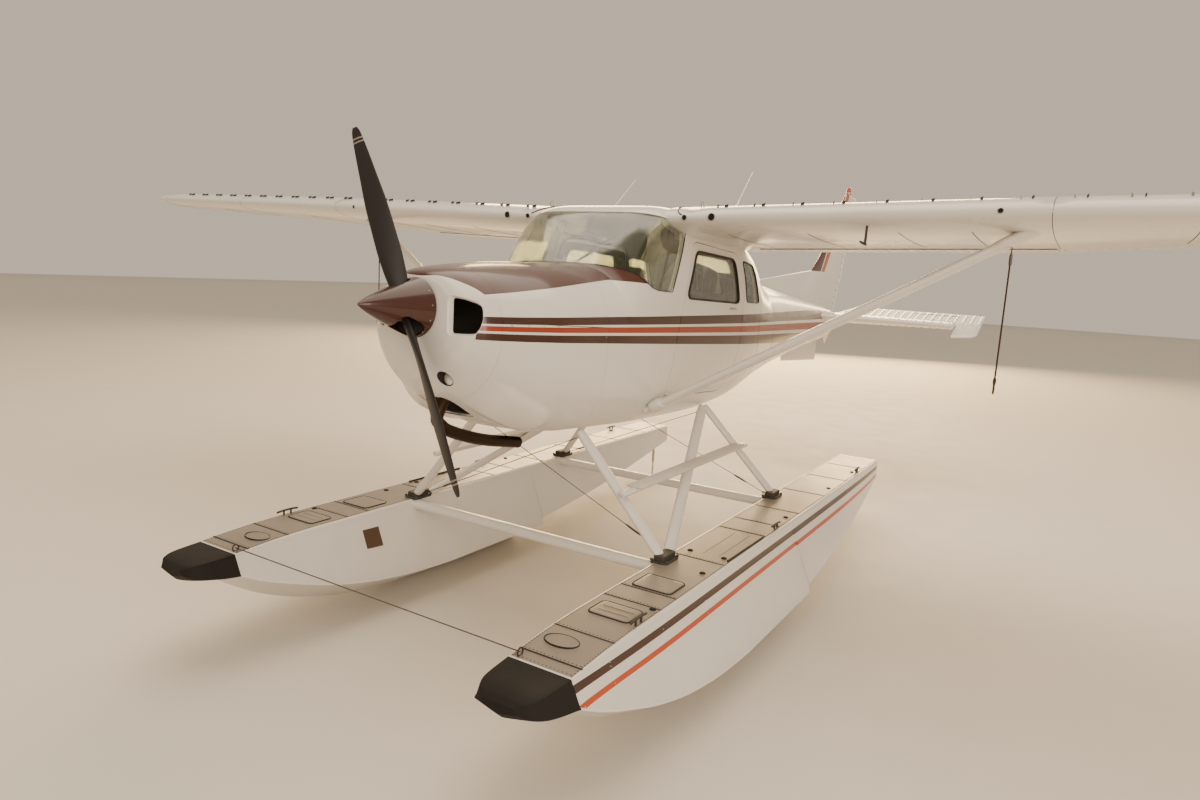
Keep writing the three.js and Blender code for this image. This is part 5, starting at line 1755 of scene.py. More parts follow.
@dataclass
class Wings(SubAssembly):
    """The two cambered wings, with flaps and ailerons behind their coves."""

    root_x: float = 0.44
    from_x: float = 0.55
    joint_x: float = 2.54
    tip_from: float = 5.30
    root_z: float = 0.662
    dihedral: float = math.radians(1.73)
    thickness: float = 0.12
    camber: float = 0.02
    camber_at: float = 0.4
    edge_share: float = 0.0012
    flap: tuple = (0.64, 2.56)
    cove_y: float = 1.88
    aileron: tuple = (2.60, 5.15)
    aileron_y: tuple = (2.0, 1.742)
    cove_gap: float = 0.012
    end_gap: float = 0.006
    bead_pitch: float = 0.064
    bead_height: float = 0.0042
    tab_pitch: float = 0.237
    tip: Table = Table(
        [(5.3, 0, 0, 1), (5.4, 0.012, 0.030, 0.86), (5.455, 0.045, 0.095, 0.6), (5.485, 0.12, 0.23, 0.22)]
    )

    def row(self, x: np.ndarray) -> tuple[np.ndarray, np.ndarray, np.ndarray]:
        """The leading edge's station, the chord and the twist at x, which change evenly beyond the joint."""
        t = np.clip((np.minimum(x, self.tip_from) - self.joint_x) / (self.tip_from - self.joint_x), 0, 1)
        return 0.64 + 0.15 * t, 1.63 - 0.49 * t, np.radians(1.5 - 2.5 * t)

    def section(
        self, x: np.ndarray, c: np.ndarray, side: np.ndarray, lift: float | np.ndarray = 0.0
    ) -> np.ndarray:
        """The four-digit section: a two-part parabola for the mean line, and half the thickness on each side,
        which is 5 t (0.2969 root c - 0.126 c - 0.3516 c^2 + 0.2843 c^3 - 0.1015 c^4).

        Args:
            x: span station.
            c: share of the chord.
            side: 1 for the upper skin, -1 for the lower.
            lift: how far the point stands out from the skin.

        Returns:
            Points in the airframe's axes.
        """
        lead, chord, twist = self.row(x)
        whole = np.array([0.0, 0.0, 1.0]).reshape(3, *[1] * np.ndim(x))
        front, back, share = np.where(x > self.tip_from, self.tip(x), whole)
        lead, chord = lead + front, chord - front - back
        half = 5 * self.thickness * share * (
            0.2969 * np.sqrt(c) - 0.126 * c - 0.3516 * c**2 + 0.2843 * c**3 - 0.1015 * c**4)
        half = np.maximum(half, np.where(c > 0.5, self.edge_share, 0))
        m, p = self.camber, self.camber_at
        rise = 2 * p * c - c * c
        mean = np.where(c < p, m / p**2 * rise, m / (1 - p) ** 2 * (1 - 2 * p + rise))
        y, z = c * chord, (mean + side * half) * chord + side * lift
        base = self.root_z + (x - self.from_x) * math.tan(self.dihedral)
        station = lead + y * np.cos(twist) + z * np.sin(twist)
        return spread(x + 0 * c, station, base - y * np.sin(twist) + z * np.cos(twist))

    def hinge_y(self, x: np.ndarray) -> np.ndarray:
        """Where the flap or the aileron begins at a span station.

        Args:
            x: span station.

        Returns:
            Distances behind the firewall.
        """
        t = np.clip((x - self.aileron[0]) / (self.aileron[1] - self.aileron[0]), 0, 1)
        first, last = self.aileron_y
        return np.where(x < 2.58, self.cove_y, first + t * (last - first))

    def share_at(self, x: np.ndarray, station: np.ndarray) -> np.ndarray:
        """The share of the chord at a station."""
        lead, chord, _ = self.row(x)
        return (station - lead) / chord

    def beads(self, x: np.ndarray, c: np.ndarray, first: np.ndarray) -> np.ndarray:
        """Pressed beads that stiffen a thin skin: a sharpened cosine along the span, fading at both edges.

        Args:
            x: span station.
            c: share of the chord.
            first: the share where the beads may begin.

        Returns:
            How far the skin stands out.
        """
        wave = np.maximum(np.cos(2 * np.pi * x / self.bead_pitch), 0) ** 3
        share = (c - first) / (1 - first)
        return self.bead_height * wave * ease(share, 0.16, 0.2) * (1 - ease(share, 0.86, 0.92))

    def wing(self, name: str, side: float) -> None:
        """The fixed wing: rows of section along the span, cut off at the coves.

        Each row has its upper skin back to front, its lower skin front to back, and then either the cove's
        hollow or the trailing part, so a cut row and a whole row at one station make a flat end between them.

        Args:
            name: the piece's name.
            side: 1 on the left, -1 on the right.
        """
        gap = self.end_gap
        spans = [
            (self.root_x, self.flap[0] - gap, False),
            (self.flap[0] - gap, self.flap[1] + gap, True),
            (self.flap[1] + gap, self.aileron[0] - gap, False),
            (self.aileron[0] - gap, self.aileron[1] + gap, True),
            (self.aileron[1] + gap, 5.485, False),
        ]
        x, cut = [], []
        for first, last, is_cut in spans:
            count = max(2, int((last - first) / 0.08) + 1) if last < 5.4 else 22
            x.append(np.linspace(first, last, count))
            cut += [is_cut] * count
        x, cut = np.concatenate(x)[:, None], np.array(cut)
        split = self.share_at(x, self.hinge_y(x) - self.cove_gap)
        t = np.linspace(0, 1, 44)[None]
        run = split * (0.5 - 0.5 * np.cos(np.pi * t))
        upper, lower = self.section(x, run[:, ::-1], 1.0), self.section(x, run[:, 1:], -1.0)
        u = np.linspace(0, 1, 9)[None, 1:-1]
        back = split + (1 - split) * np.concatenate([u, [[1.0]]], 1)
        whole = np.concatenate([self.section(x, back, -1.0), self.section(x, back[:, ::-1], 1.0)], 1)
        low, high = lower[:, -1:], upper[:, :1]
        w = np.linspace(0, 1, whole.shape[1] + 2)[None, 1:-1, None]
        hollow = low + (high - low) * w - np.array([0, 1, 0]) * 0.012 * np.sin(np.pi * w)
        ends = np.where(cut[:, None, None], hollow, whole)
        points = np.concatenate([upper, lower, ends], 1) * [side, 1, 1]
        shape = Shape().grid(points)
        self.add(shape, f"{name}_skin", WHITE, replaces=[name], sharp=40)

    def moving(self, name: str, body: str, side: float, ends: tuple[float, float]) -> None:
        """A flap or an aileron: the section behind its cove, with a rounded nose and beaded skins.

        Args:
            name: the piece's name.
            body: the moving body that carries it.
            side: 1 on the left, -1 on the right.
            ends: its first and last span station.
        """
        count = int((ends[1] - ends[0]) / self.bead_pitch * 10)
        x = np.linspace(*ends, count)[:, None]
        first = self.share_at(x, self.hinge_y(x) + 0.0015)
        t = np.linspace(0, 1, 30)[None]
        c = first + (1 - first) * (0.02 + 0.98 * t)
        bead = self.beads(x, c, first)
        upper, lower = self.section(x, c, 1.0, bead), self.section(x, c, -1.0, bead)
        nose_t = np.linspace(0, 1, 9)[None, 1:-1, None]
        high, low = upper[:, :1], lower[:, :1]
        round_nose = high + (low - high) * nose_t
        front = self.section(x, first, 1.0)[..., 1:2]
        round_nose[..., 1:2] += (front - high[..., 1:2]) * (1 - (2 * nose_t - 1) ** 4)
        if "aileron" in name:
            round_nose[..., 1:2] += 0.03 * np.clip(nose_t - 0.35, 0, 1)
            lower[..., 1] += 0.022 * (1 - ease(t, 0.0, 0.12))
        points = np.concatenate([upper[:, ::-1], round_nose, lower], 1) * [side, 1, 1]
        self.add(Shape().grid(points), f"{name}_skin", WHITE, body, replaces=[name], sharp=50)

    def fittings(self, name: str, side: float) -> None:
        """Vortex tabs, skin joints, rivets, a tip lamp, and the pitot tube on the left wing only.

        Args:
            name: the piece's name.
            side: 1 on the left, -1 on the right.
        """
        word, mirror = name.split("_")[1], [side, 1, 1]
        tabs, at = Shape(), np.arange(0.79 if side > 0 else 0.67, 5.15, self.tab_pitch)
        for lean in (-0.025, 0.025):
            x = at + lean
            for a, b in zip(self.section(x, 0.062, 1.0), self.section(x + lean * 0.25, 0.084, 1.0)):
                middle, along = (a + b) / 2 * mirror + [0, 0, 0.006], (b - a) * mirror
                rows = [
                    middle - along * 0.55 - [0, 0, 0.008], middle - along * 0.4 + [0, 0, 0.008],
                    middle + along * 0.5 + [0, 0, 0.009], middle + along * 0.55 - [0, 0, 0.008],
                ]
                tabs.tube(rows, 0.0012, 6, 1.0, ends=False)
                blade = [middle - along * 0.5, middle + along * 0.5]
                tabs.tube(blade, 0.009, 8, 0.14, wide=(0, 0, 1), ends=False)
        self.add(tabs, f"vortex_tabs_{word}", PLASTIC)
        self.joints(word, side)
        self.vents(word, side)
        x = np.arange(0.6, 5.25, 0.045)
        rivets = Shape()
        for share, up in ((0.12, 1.0), (0.3, 1.0), (0.55, 1.0), (0.12, -1.0), (0.3, -1.0), (0.62, -1.0)):
            points = self.section(x, share, up)
            normals = np.cross((self.section(x, share + 0.01, up) - points) * mirror, [1.0, 0, 0])
            normals *= np.sign(normals[:, 2:]) * up
            rivets.domes(points * mirror, normals, 0.003, 0.0012)
        self.add(rivets, f"wing_rivets_{word}", WHITE)
        middle = (self.section(5.43, 0.16, 1.0) + self.section(5.43, 0.16, -1.0)) / 2 * mirror
        lens = [(0, -0.028), (0.012, -0.02), (0.017, 0), (0.012, 0.022), (0, 0.03)]
        shape = Shape().turned(lens, middle + [side * 0.012, 0, 0], (0, 1, 0), 20)
        self.add(shape, f"tip_lamp_{word}", LAMP_RED if side > 0 else LAMP_CLEAR, slot="beacon_lens")
        if side > 0:
            foot = self.section(1.68, 0.06, -1.0)
            mast = foot + np.array([[0, 0, 0.012], [0, 0, -0.05], [0, -0.004, -0.098]])
            self.add(Shape().tube(mast, 0.013, 12, 0.5, wide=(0, 1, 0)), "pitot_mast", IRON)
            head = mast[-1] + np.array([[0, 0.015, 0], [0, -0.04, 0], [0, -0.10, 0.002]])
            self.add(Shape().tube(head, np.array([0.008, 0.008, 0.006]), 12), "pitot_head", PLASTIC)

    def joints(self, word: str, side: float) -> None:
        """The joints between skins, round the wing or only under it, and a dark strip under the cove, which
        is painted shade for the flap's shaded front face.

        Args:
            word: left or right.
            side: 1 on the left, -1 on the right.
        """
        c = np.concatenate([np.linspace(0.86, 0, 40) ** 1.5, np.linspace(0, 0.86, 40)[1:] ** 1.5])
        face = np.concatenate([np.ones(40), -np.ones(39)])
        joints, mirror = Shape(), [side, 1, 1]
        for x in (2.58, 3.95, 5.27):
            joints.tube(self.section(x, c, face, 0.0002) * mirror, 0.0018, 8, 0.4)
        under = np.linspace(0.15, 0.66, 24)
        for x in (0.80, 1.30, 1.82, 2.20, 3.2, 4.5):
            joints.tube(self.section(x, under, -1.0, 0.0006) * mirror, 0.0026, 8, 0.4)
        # Painted shade: a dark strip under the cove for the flap's front face, which lies in shade just below
        # the wing's lower skin
        x = np.linspace(*self.flap, 40)
        share = self.share_at(x, self.hinge_y(x) - self.cove_gap) - 0.002
        joints.tube(self.section(x, share, -1.0, 0.0015) * mirror, 0.0035, 8)
        self.add(joints, f"wing_joints_{word}", GAP)

    def vents(self, word: str, side: float) -> None:
        """The cabin air vents and the lamp in the leading edge, their dark mouths painted shade for the
        inside of each opening, the lifting ring and the root strip.

        Args:
            word: left or right.
            side: 1 for the left wing, -1 for the right.
        """
        mouths, rims = Shape(), Shape()
        # Each mouth is a solid dark plug: painted shade for the inside of the opening
        for x, r in ((0.60, 0.014), (0.78, 0.020), (2.35, 0.011)):
            at = self.section(x, 0.0, 1.0) * [side, 1, 1]
            mouths.turned([(0, -0.004), (r, -0.004), (r, 0.012), (0, 0.012)], at, (0, 1, 0), 20)
            rim = [(r, -0.003), (r + 0.002, -0.0055), (r + 0.004, -0.003), (r + 0.004, 0.012), (r, 0.012)]
            rims.turned(rim, at, (0, 1, 0), 24, loop=True)
        self.add(mouths, f"leading_edge_vent_shade_{word}", BLACK_RUBBER_AND_SHADE, slot="cabin_trim")
        a = np.linspace(0, 2 * np.pi, 29)
        top = self.section(0.59, 0.16, 1.0) * [side, 1, 1]
        rims.tube(top + spread(0 * a, 0.020 * np.cos(a), 0.018 + 0.020 * np.sin(a)), 0.0035, 8)
        self.add(rims, f"leading_edge_rims_{word}", BARE, slot="engine_metal")
        t = np.linspace(0, 1, 24)
        strip = self.section(0.575 - 0.105 * t, 0.004 + 0.13 * t**2, 1.0, 0.001) * [side, 1, 1]
        self.seam(strip, f"wing_root_strip_{word}", SEAL, 0.006, thin=0.45)

    def aerials(self) -> None:
        """Two whip aerials on the roof, each a thin rod that leans aft from a small moulded foot."""
        for name, side in both_sides("whip_aerial"):
            aft, up = (0.35, 0.41) if side > 0 else (0.43, 0.38)
            foot = self.section(0.52, self.share_at(0.52, 1.51), 1.0) * [side, 1, 1]
            rod = foot + np.array([[0, 0, 0.01], [0, 0.5 * aft, 0.51 * up], [0, aft, up]])
            shape = Shape().tube(rod, np.array([0.0048, 0.0042, 0.0034]), 8)
            boss = [(0, -0.01), (0.022, -0.006), (0.019, 0.006), (0.007, 0.02), (0.0055, 0.05), (0, 0.05)]
            shape.turned(boss, foot, (0, 0.55, 0.83), 18)
            self.add(shape, name, WHITE)

    def strut(self, name: str, side: float) -> None:
        """A wing strut: an oval tube that widens smoothly into its upper cuff, with a foot pod.

        Args:
            name: the piece's name.
            side: 1 on the left, -1 on the right.
        """
        foot, head = np.array([0.500, 0.650, -0.528]), np.array([2.551, 0.985, 0.700])
        t = np.concatenate([np.linspace(-0.02, 0.86, 40), np.linspace(0.865, 1.0, 16)])
        grow = ease(t, 0.875, 0.905)
        path = (foot + (head - foot) * t[:, None]) * [side, 1, 1]
        half, thin = 0.066 + 0.029 * grow, 0.41 - 0.063 * grow
        wide = (0, 1, 0)
        self.add(Shape().tube(path, half, 32, thin, wide), f"{name}_tube", WHITE, replaces=[name])
        pod_t = np.linspace(0, 1, 16)
        pod = (foot + (head - foot) * (-0.012 + 0.05 * pod_t[:, None])) * [side, 1, 1]
        size = 0.084 * np.sqrt(np.maximum(1 - (2 * pod_t - 1) ** 4, 0.02))
        self.add(Shape().tube(pod, size, 28, 0.5, wide), f"{name}_foot", WHITE)

    def build(self) -> None:
        """Make both wings with their moving surfaces and struts, and the two aerials on the roof."""
        for name, side in both_sides("wing"):
            self.wing(name, side)
            self.fittings(name, side)
        for kind, ends in (("flap", self.flap), ("aileron", self.aileron)):
            for name, side in both_sides(kind):
                self.moving(name, f"{name.split('_')[1]}_{kind}", side, ends)
        for name, side in both_sides("wing_strut"):
            self.strut(name, side)
        self.aerials()


# Tail


@dataclass
class Tail(SubAssembly):
    """The stabilizer and elevator, the fin with its fillet, the rudder, the beacon and the ventral fin."""

    level: float = 0.19
    hinge_at: float = 6.0
    tip_x: float = 1.725
    horn_x: float = 1.48
    rest_up: float = math.radians(20)
    rest_right: float = math.radians(16)
    nose: float = 0.030
    bead_pitch: float = 0.085
    lens: Table = Table([(0, 0.12), (0.03, 0.40), (0.08, 0.62), (0.3, 1), (0.7, 0.94), (1, 0.8)])
    fin: Table = Table(
        [
            (0.150, 4.700, 0.060), (0.450, 4.780, 0.060), (0.560, 5.010, 0.066), (0.690, 5.190, 0.078),
            (0.870, 5.437, 0.074), (1.250, 5.787, 0.062), (1.620, 6.128, 0.046), (1.690, 6.205, 0.038),
            (1.715, 6.262, 0.022),
        ]
    )
    rudder: Table = Table([(-0.045, 0.30), (0.06, 0.37), (0.30, 0.40), (1.675, 0.25), (1.715, 0.215)])
    ventral: Table = Table(
        [(0.03, 4.30, 5.88, 0.028), (-0.241, 4.453, 5.64, 0.028), (-0.33, 4.62, 5.44, 0.026)]
    )

    def fin_hinge(self, level: np.ndarray) -> np.ndarray:
        """The station of the rudder's leaning hinge line at a level."""
        return 6.127 + (level - 0.255) * 0.501 / 1.46

    @property
    def lean(self) -> float:
        """How far the rudder's hinge line leans aft."""
        return math.atan2(0.501, 1.46)

    def lens_ring(self, count: int = 22) -> tuple[np.ndarray, np.ndarray]:
        """A lens-shaped section as (share of the chord, signed share of half the thickness).

        Args:
            count: how many points each half has.

        Returns:
            The two columns.
        """
        c = 0.5 - 0.5 * np.cos(np.pi * np.linspace(0, 1, count))
        t = self.lens(c)[0]
        return np.concatenate([c[::-1], c]), np.concatenate([t[::-1], -t])

    def stab_row(self, x: np.ndarray) -> tuple[np.ndarray, np.ndarray]:
        """The stabilizer's leading edge and thickness at a span station."""
        t = np.abs(x) / self.tip_x
        return 5.215 + 0.485 * t, 0.108 - 0.046 * t

    def stabilizer(self) -> None:
        """The fixed tailplane, its skins beaded fore and aft."""
        x = np.linspace(-1.474, 1.474, 461)[:, None]
        lead, thick = self.stab_row(x)
        c, t = self.lens_ring()
        back = self.hinge_at - thick * 0.4 - 0.006
        wave = np.maximum(np.cos(2 * np.pi * x / self.bead_pitch), 0) ** 3
        bead = 0.0045 * wave * ease(c, 0.14, 0.18) * (1 - ease(c, 0.86, 0.9)) * np.sign(t)
        points = spread(x + 0 * c, lead + (back - lead) * c, self.level + t * thick / 2 + bead)
        self.add(Shape().grid(points), "stabilizer_skin", WHITE, replaces=["stabilizer"], sharp=50)

    def turned_up(self, points: np.ndarray) -> np.ndarray:
        """Turn the elevator about its hinge to where it rests.

        Args:
            points: points in rows of xyz.

        Returns:
            The turned points.
        """
        y, z = points[..., 1], points[..., 2]
        c, s = math.cos(self.rest_up), math.sin(self.rest_up)
        return spread(points[..., 0], self.hinge_at + y * c - z * s, self.level + y * s + z * c)

    def elevator(self) -> None:
        """The elevator: round nose and straight taper, cut away at the rudder, with horns at its tips."""
        shape = Shape()
        for side in (1.0, -1.0):
            x = np.concatenate([np.linspace(0.063, 1.48, 223), np.linspace(1.4805, 1.722, 39)])[:, None]
            _, thick = self.stab_row(x)
            r = thick * 0.4
            trail = (6.45 - 0.03 * x / self.tip_x) - self.hinge_at - 0.012 * ease(x, 1.66, 1.725) ** 2
            a = np.linspace(np.pi / 2, 3 * np.pi / 2, 13)[None]
            s = np.linspace(0, 1, 24)[None]
            wave = np.maximum(np.cos(2 * np.pi * x / self.bead_pitch), 0) ** 3
            bead = 0.0045 * wave * ease(s, 0.1, 0.16) * (1 - ease(s, 0.86, 0.93))
            limit = np.where(x < 0.26, (x - 0.063) / 0.197 * 0.48, 9.0)
            taper_y = np.minimum(trail, limit + 0.004) * s
            taper_z = r + (0.004 - r) * taper_y / trail
            upper = spread(x + 0 * s, taper_y, taper_z + bead)
            lower = spread(x + 0 * s, taper_y, -taper_z - bead)
            nose = spread(x + 0 * a, r * np.cos(a), r * np.sin(a))
            ring = np.concatenate([upper[:, ::-1], nose[:, 1:-1], lower], 1) * [side, 1, 1]
            shape.grid(self.turned_up(ring))
            hx = np.linspace(self.horn_x + 0.001, 1.7245, 16)[:, None]
            lead, thick = self.stab_row(hx)
            c, t = self.lens_ring()
            cap = ease(hx, 1.70, 1.7245) * 0.35
            front = lead - self.hinge_at + 0.05 * ease(hx, 1.68, 1.7245)
            horn = spread(side * (hx + 0 * c), front + (0.02 - front) * c, t * thick * 0.4 * (1 - cap))
            shape.grid(self.turned_up(horn))
        a = np.linspace(0, 2 * np.pi, 14, endpoint=False)[None]
        shape.grid(self.turned_up(spread(np.array([[-0.1], [0.1]]), 0.018 * np.cos(a), 0.018 * np.sin(a))))
        self.add(shape, "elevator_skin", WHITE, "elevator_body", replaces=["elevator"], sharp=50)
        for name, side in both_sides("static_wick"):
            rows = np.array([(side * 1.66, 0.40, 0.0), (side * 1.66, 0.50, -0.002)])
            self.add(Shape().tube(self.turned_up(rows), 0.0025, 6), name, PLASTIC, "elevator_body")
        for name, side in both_sides("trim_tab_joint"):
            rows = [(0.95, 0.435, 0.006), (0.95, 0.33, 0.0125), (1.44, 0.33, 0.0115), (1.44, 0.43, 0.005)]
            path = even(np.array(rows) * [side, 1, 1], 60, False)
            self.seam(self.turned_up(path), name, GAP, 0.002, "elevator_body", 0.8)

    def fixed_fin(self) -> None:
        """The fin over its long dorsal fillet."""
        level = np.concatenate([np.linspace(0.16, 1.60, 90), np.linspace(1.62, 1.7148, 14)])[:, None]
        lead, thick = self.fin(level)
        back = self.fin_hinge(level) - self.nose / math.cos(self.lean) - 0.006
        c, t = self.lens_ring(28)
        points = spread(t * thick / 2, lead + (back - lead) * c, level + 0 * c)
        shape = Shape().grid(points)
        y = np.linspace(3.26, 5.25, 60)[:, None]
        share = (y - 3.25) / 2.0
        top = 0.425 + 0.275 * share
        foot = 0.30 - 0.10 * share
        a = np.linspace(0, np.pi, 13)[None]
        half_top = 0.004 + 0.010 * share
        half_low = 0.004 + 0.026 * share
        crown = spread(half_top * np.cos(a), y + 0 * a, top - 0.012 + 0.012 * np.sin(a))
        flare = np.linspace(0, 1, 8)[None, 1:]
        drop = top - 0.012 + (foot - top + 0.012) * flare
        left = spread(half_top + (half_low - half_top) * flare**2, y + 0 * flare, drop)
        fillet = np.concatenate([left[:, ::-1], crown, left * [-1, 1, 1]], 1)
        shape.grid(fillet)
        self.add(shape, "fin_skin", FIN_PAINT, replaces=["fin"])
        rivets, z = Shape(), np.linspace(0.36, 1.64, 16)
        for side in (1.0, -1.0):
            lead, thick = self.fin(z)
            back = self.fin_hinge(z) - self.nose / math.cos(self.lean) - 0.006
            rivets.domes(spread(side * thick * 0.42, back - 0.03, z), (side, 0.1, 0.05), 0.0105, 0.004)
        self.add(rivets, "fin_edge_screws", PLASTIC)

    def moving_rudder(self) -> None:
        """The rudder behind the leaning hinge, turned to where it rests, with its beaded skin."""
        z = np.linspace(-0.045, 1.712, 220)[:, None]
        chord = self.rudder(z)[0] - 0.001
        up = (z + 0.045) / math.cos(self.lean)
        a = np.linspace(np.pi / 2, 3 * np.pi / 2, 13)[None]
        s = np.linspace(0, 1, 20)[None]
        size = self.nose * (1 - 0.5 * ease(z, 1.69, 1.715))
        wave = np.maximum(np.cos(2 * np.pi * z / 0.09), 0) ** 4
        bead = 0.0025 * wave * ease(s, 0.15, 0.22) * (1 - ease(s, 0.85, 0.92)) * ease(z, 0.35, 0.4)
        half = size + (0.004 - size) * s + bead
        nose = spread(size * np.sin(a), size * np.cos(a), up + 0 * a)
        right = spread(half, chord * s, up + 0 * s)
        ring = np.concatenate([right[:, ::-1], nose[:, 1:-1], right * [-1, 1, 1]], 1)
        c, q = math.cos(self.rest_right), math.sin(self.rest_right)
        x, y = ring[..., 0] * c - ring[..., 1] * q, ring[..., 0] * q + ring[..., 1] * c
        c, q = math.cos(self.lean), math.sin(self.lean)
        z, foot = ring[..., 2], -0.045
        points = spread(x, self.fin_hinge(foot) + y * c + z * q, foot - y * q + z * c)
        self.add(Shape().grid(points), "rudder_skin", WHITE, "rudder_body", replaces=["rudder"], sharp=50)

    def beacon(self) -> None:
        """The red beacon on the fin's top: a ribbed lens on a short metal base."""
        at = (0, 6.345, 1.715)
        base = [(0, 0.001), (0.034, 0.001), (0.034, 0.018), (0.030, 0.024), (0, 0.024)]
        self.add(Shape().turned(base, at, sides=28), "beacon_base", BARE, slot="beacon_lens")
        ribs = np.linspace(0, 1, 26)
        radius = 0.029 * np.sqrt(np.maximum(1 - ribs**3.2, 0)) * (1 + 0.03 * np.cos(ribs * 2 * np.pi * 8))
        lens = np.stack([radius, 0.0245 + 0.068 * ribs], -1)
        lens = np.concatenate([[(0, 0.0245)], lens, [(0, 0.0928)]])
        self.add(Shape().turned(lens, at, sides=32), "beacon_dome", LAMP_RED, replaces=["beacon"])

    def ventral_fin(self) -> None:
        """The small fin under the tail cone."""
        level = np.linspace(-0.33, 0.02, 40)[:, None]
        lead, trail, thick = self.ventral(level)
        c, t = self.lens_ring(20)
        edge = 1 - 0.6 * (1 - ease(level, -0.33, -0.315))
        points = spread(t * thick / 2 * edge, lead + (trail - lead) * c, level + 0 * c)
        self.add(Shape().grid(points), "ventral_fin_skin", WHITE, replaces=["ventral_fin"])

    def build(self) -> None:
        """Make every tail surface."""
        self.stabilizer()
        self.elevator()
        self.fixed_fin()
        self.moving_rudder()
        self.beacon()
        self.ventral_fin()


# Propeller


@dataclass
class Propeller(SubAssembly):
    """The two-blade propeller and its spinner, turned to where they rest."""

    station: float = -1.095
    blade_y: float = 0.031
    rest: float = math.radians(-25.5)
    spinner_tip: float = -1.358
    spinner_back: float = -1.004
    spinner_radius: float = 0.148
    blade: Table = Table(
        [
            (0.060, 0.084, 0.060, 55), (0.130, 0.098, 0.050, 49), (0.200, 0.110, 0.040, 43),
            (0.300, 0.118, 0.031, 36), (0.500, 0.116, 0.022, 26), (0.700, 0.091, 0.015, 20),
            (0.860, 0.064, 0.011, 17), (0.925, 0.046, 0.008, 16), (0.950, 0.026, 0.006, 16),
        ]
    )

    def settle(self, points: np.ndarray) -> np.ndarray:
        """Turn about the shaft to the resting angle and move out to the propeller's station.

        Args:
            points: points in rows of xyz.

        Returns:
            The moved points.
        """
        c, s = math.cos(self.rest), math.sin(self.rest)
        x, y, z = points[..., 0], points[..., 1], points[..., 2]
        return spread(x * c + z * s, y + self.station, -x * s + z * c)

    def blades(self) -> None:
        """Both blades: a flat-bottomed section, twisted by the pitch and thinned towards the tip."""
        shape = Shape()
        radius = np.concatenate([np.linspace(0.05, 0.90, 60), np.linspace(0.905, 0.9498, 14)])[:, None]
        chord, thick, pitch = self.blade(radius)
        pitch = np.radians(pitch)
        a = np.linspace(0, 2 * np.pi, 36, endpoint=False)[None]
        along = np.cos(a) * 0.5
        swell = np.where(np.sin(a) > 0, 0.34, 0.5) * np.sin(a) * (1 - 0.25 * np.cos(a))
        x, y = along * chord, swell * thick
        back = self.blade_y + x * np.sin(pitch) + y * np.cos(pitch)
        ring = spread(x * np.cos(pitch) - y * np.sin(pitch), back, radius + 0 * a)
        for half_turn in (1.0, -1.0):
            shape.grid(self.settle(ring * [half_turn, 1, half_turn]))
        hub = [
            (0, -0.07), (0.06, -0.07), (0.072, -0.058), (0.072, 0.05), (0.06, 0.06), (0.06, 0.10), (0, 0.10),
        ]
        shape.turned(hub, (0, self.station, 0), (0, 1, 0), 32)
        self.add(shape, "propeller_blades", BLADE, "propeller_body", replaces=["propeller"])

    def spinner(self) -> None:
        """The spun spinner: its radius grows as the distance from the tip to the power 0.78."""
        t = np.linspace(0, 1, 44) ** 1.3
        depth = self.spinner_back - self.spinner_tip
        outer = np.stack([self.spinner_radius * t**0.78, depth * t], -1)
        outer[0, 0] = 0
        radius, along = outer[::-1].T
        inner = np.stack([np.maximum(radius - 0.006, 0), np.minimum(along + 0.007, depth)], -1)
        inner = inner[inner[:, 0] > 0.01]
        profile = np.concatenate([outer, inner, [(0, 0.045)]])
        data = Shape().turned(profile, (0, self.spinner_tip, 0), (0, 1, 0), 72)
        data = data.mesh("spinner", Place.AIRFRAME)
        tools = []
        for up in (1.0, -1.0):
            slot = oblong((0, 0.0005), (0.07, 0.0725), 0.05)
            rows = np.stack([np.insert(slot, 2, z, axis=1) for z in (0.03, 0.3)]) * [1, 1, up]
            tools.append(Shape().grid(self.settle(rows)).mesh("slot", Place.AIRFRAME))
        self.add(carved(data, tools), "spinner_shell", BROWN, "propeller_body", replaces=["spinner"])
        plate = [(0.062, 0.0), (0.140, 0.0), (0.1455, 0.004), (0.1455, 0.010), (0.062, 0.010)]
        back = Shape().turned(plate, (0, self.spinner_back - 0.011, 0), (0, 1, 0), 64, loop=True)
        self.add(back, "spinner_backplate", BARE, "propeller_body", "brown_skin")
        a = np.arange(12) * np.pi / 6 + 0.13
        points = spread(0.1425 * np.cos(a), np.full(12, self.spinner_back - 0.020), 0.1425 * np.sin(a))
        screws = Shape().domes(points, points * [1, 0, 1] + [0, -0.03, 0], 0.004, 0.002)
        self.add(screws, "spinner_screws", BARE, "propeller_body", "brown_skin")

    def build(self) -> None:
        """Make the blades and the spinner."""
        self.blades()
        self.spinner()


# Floats


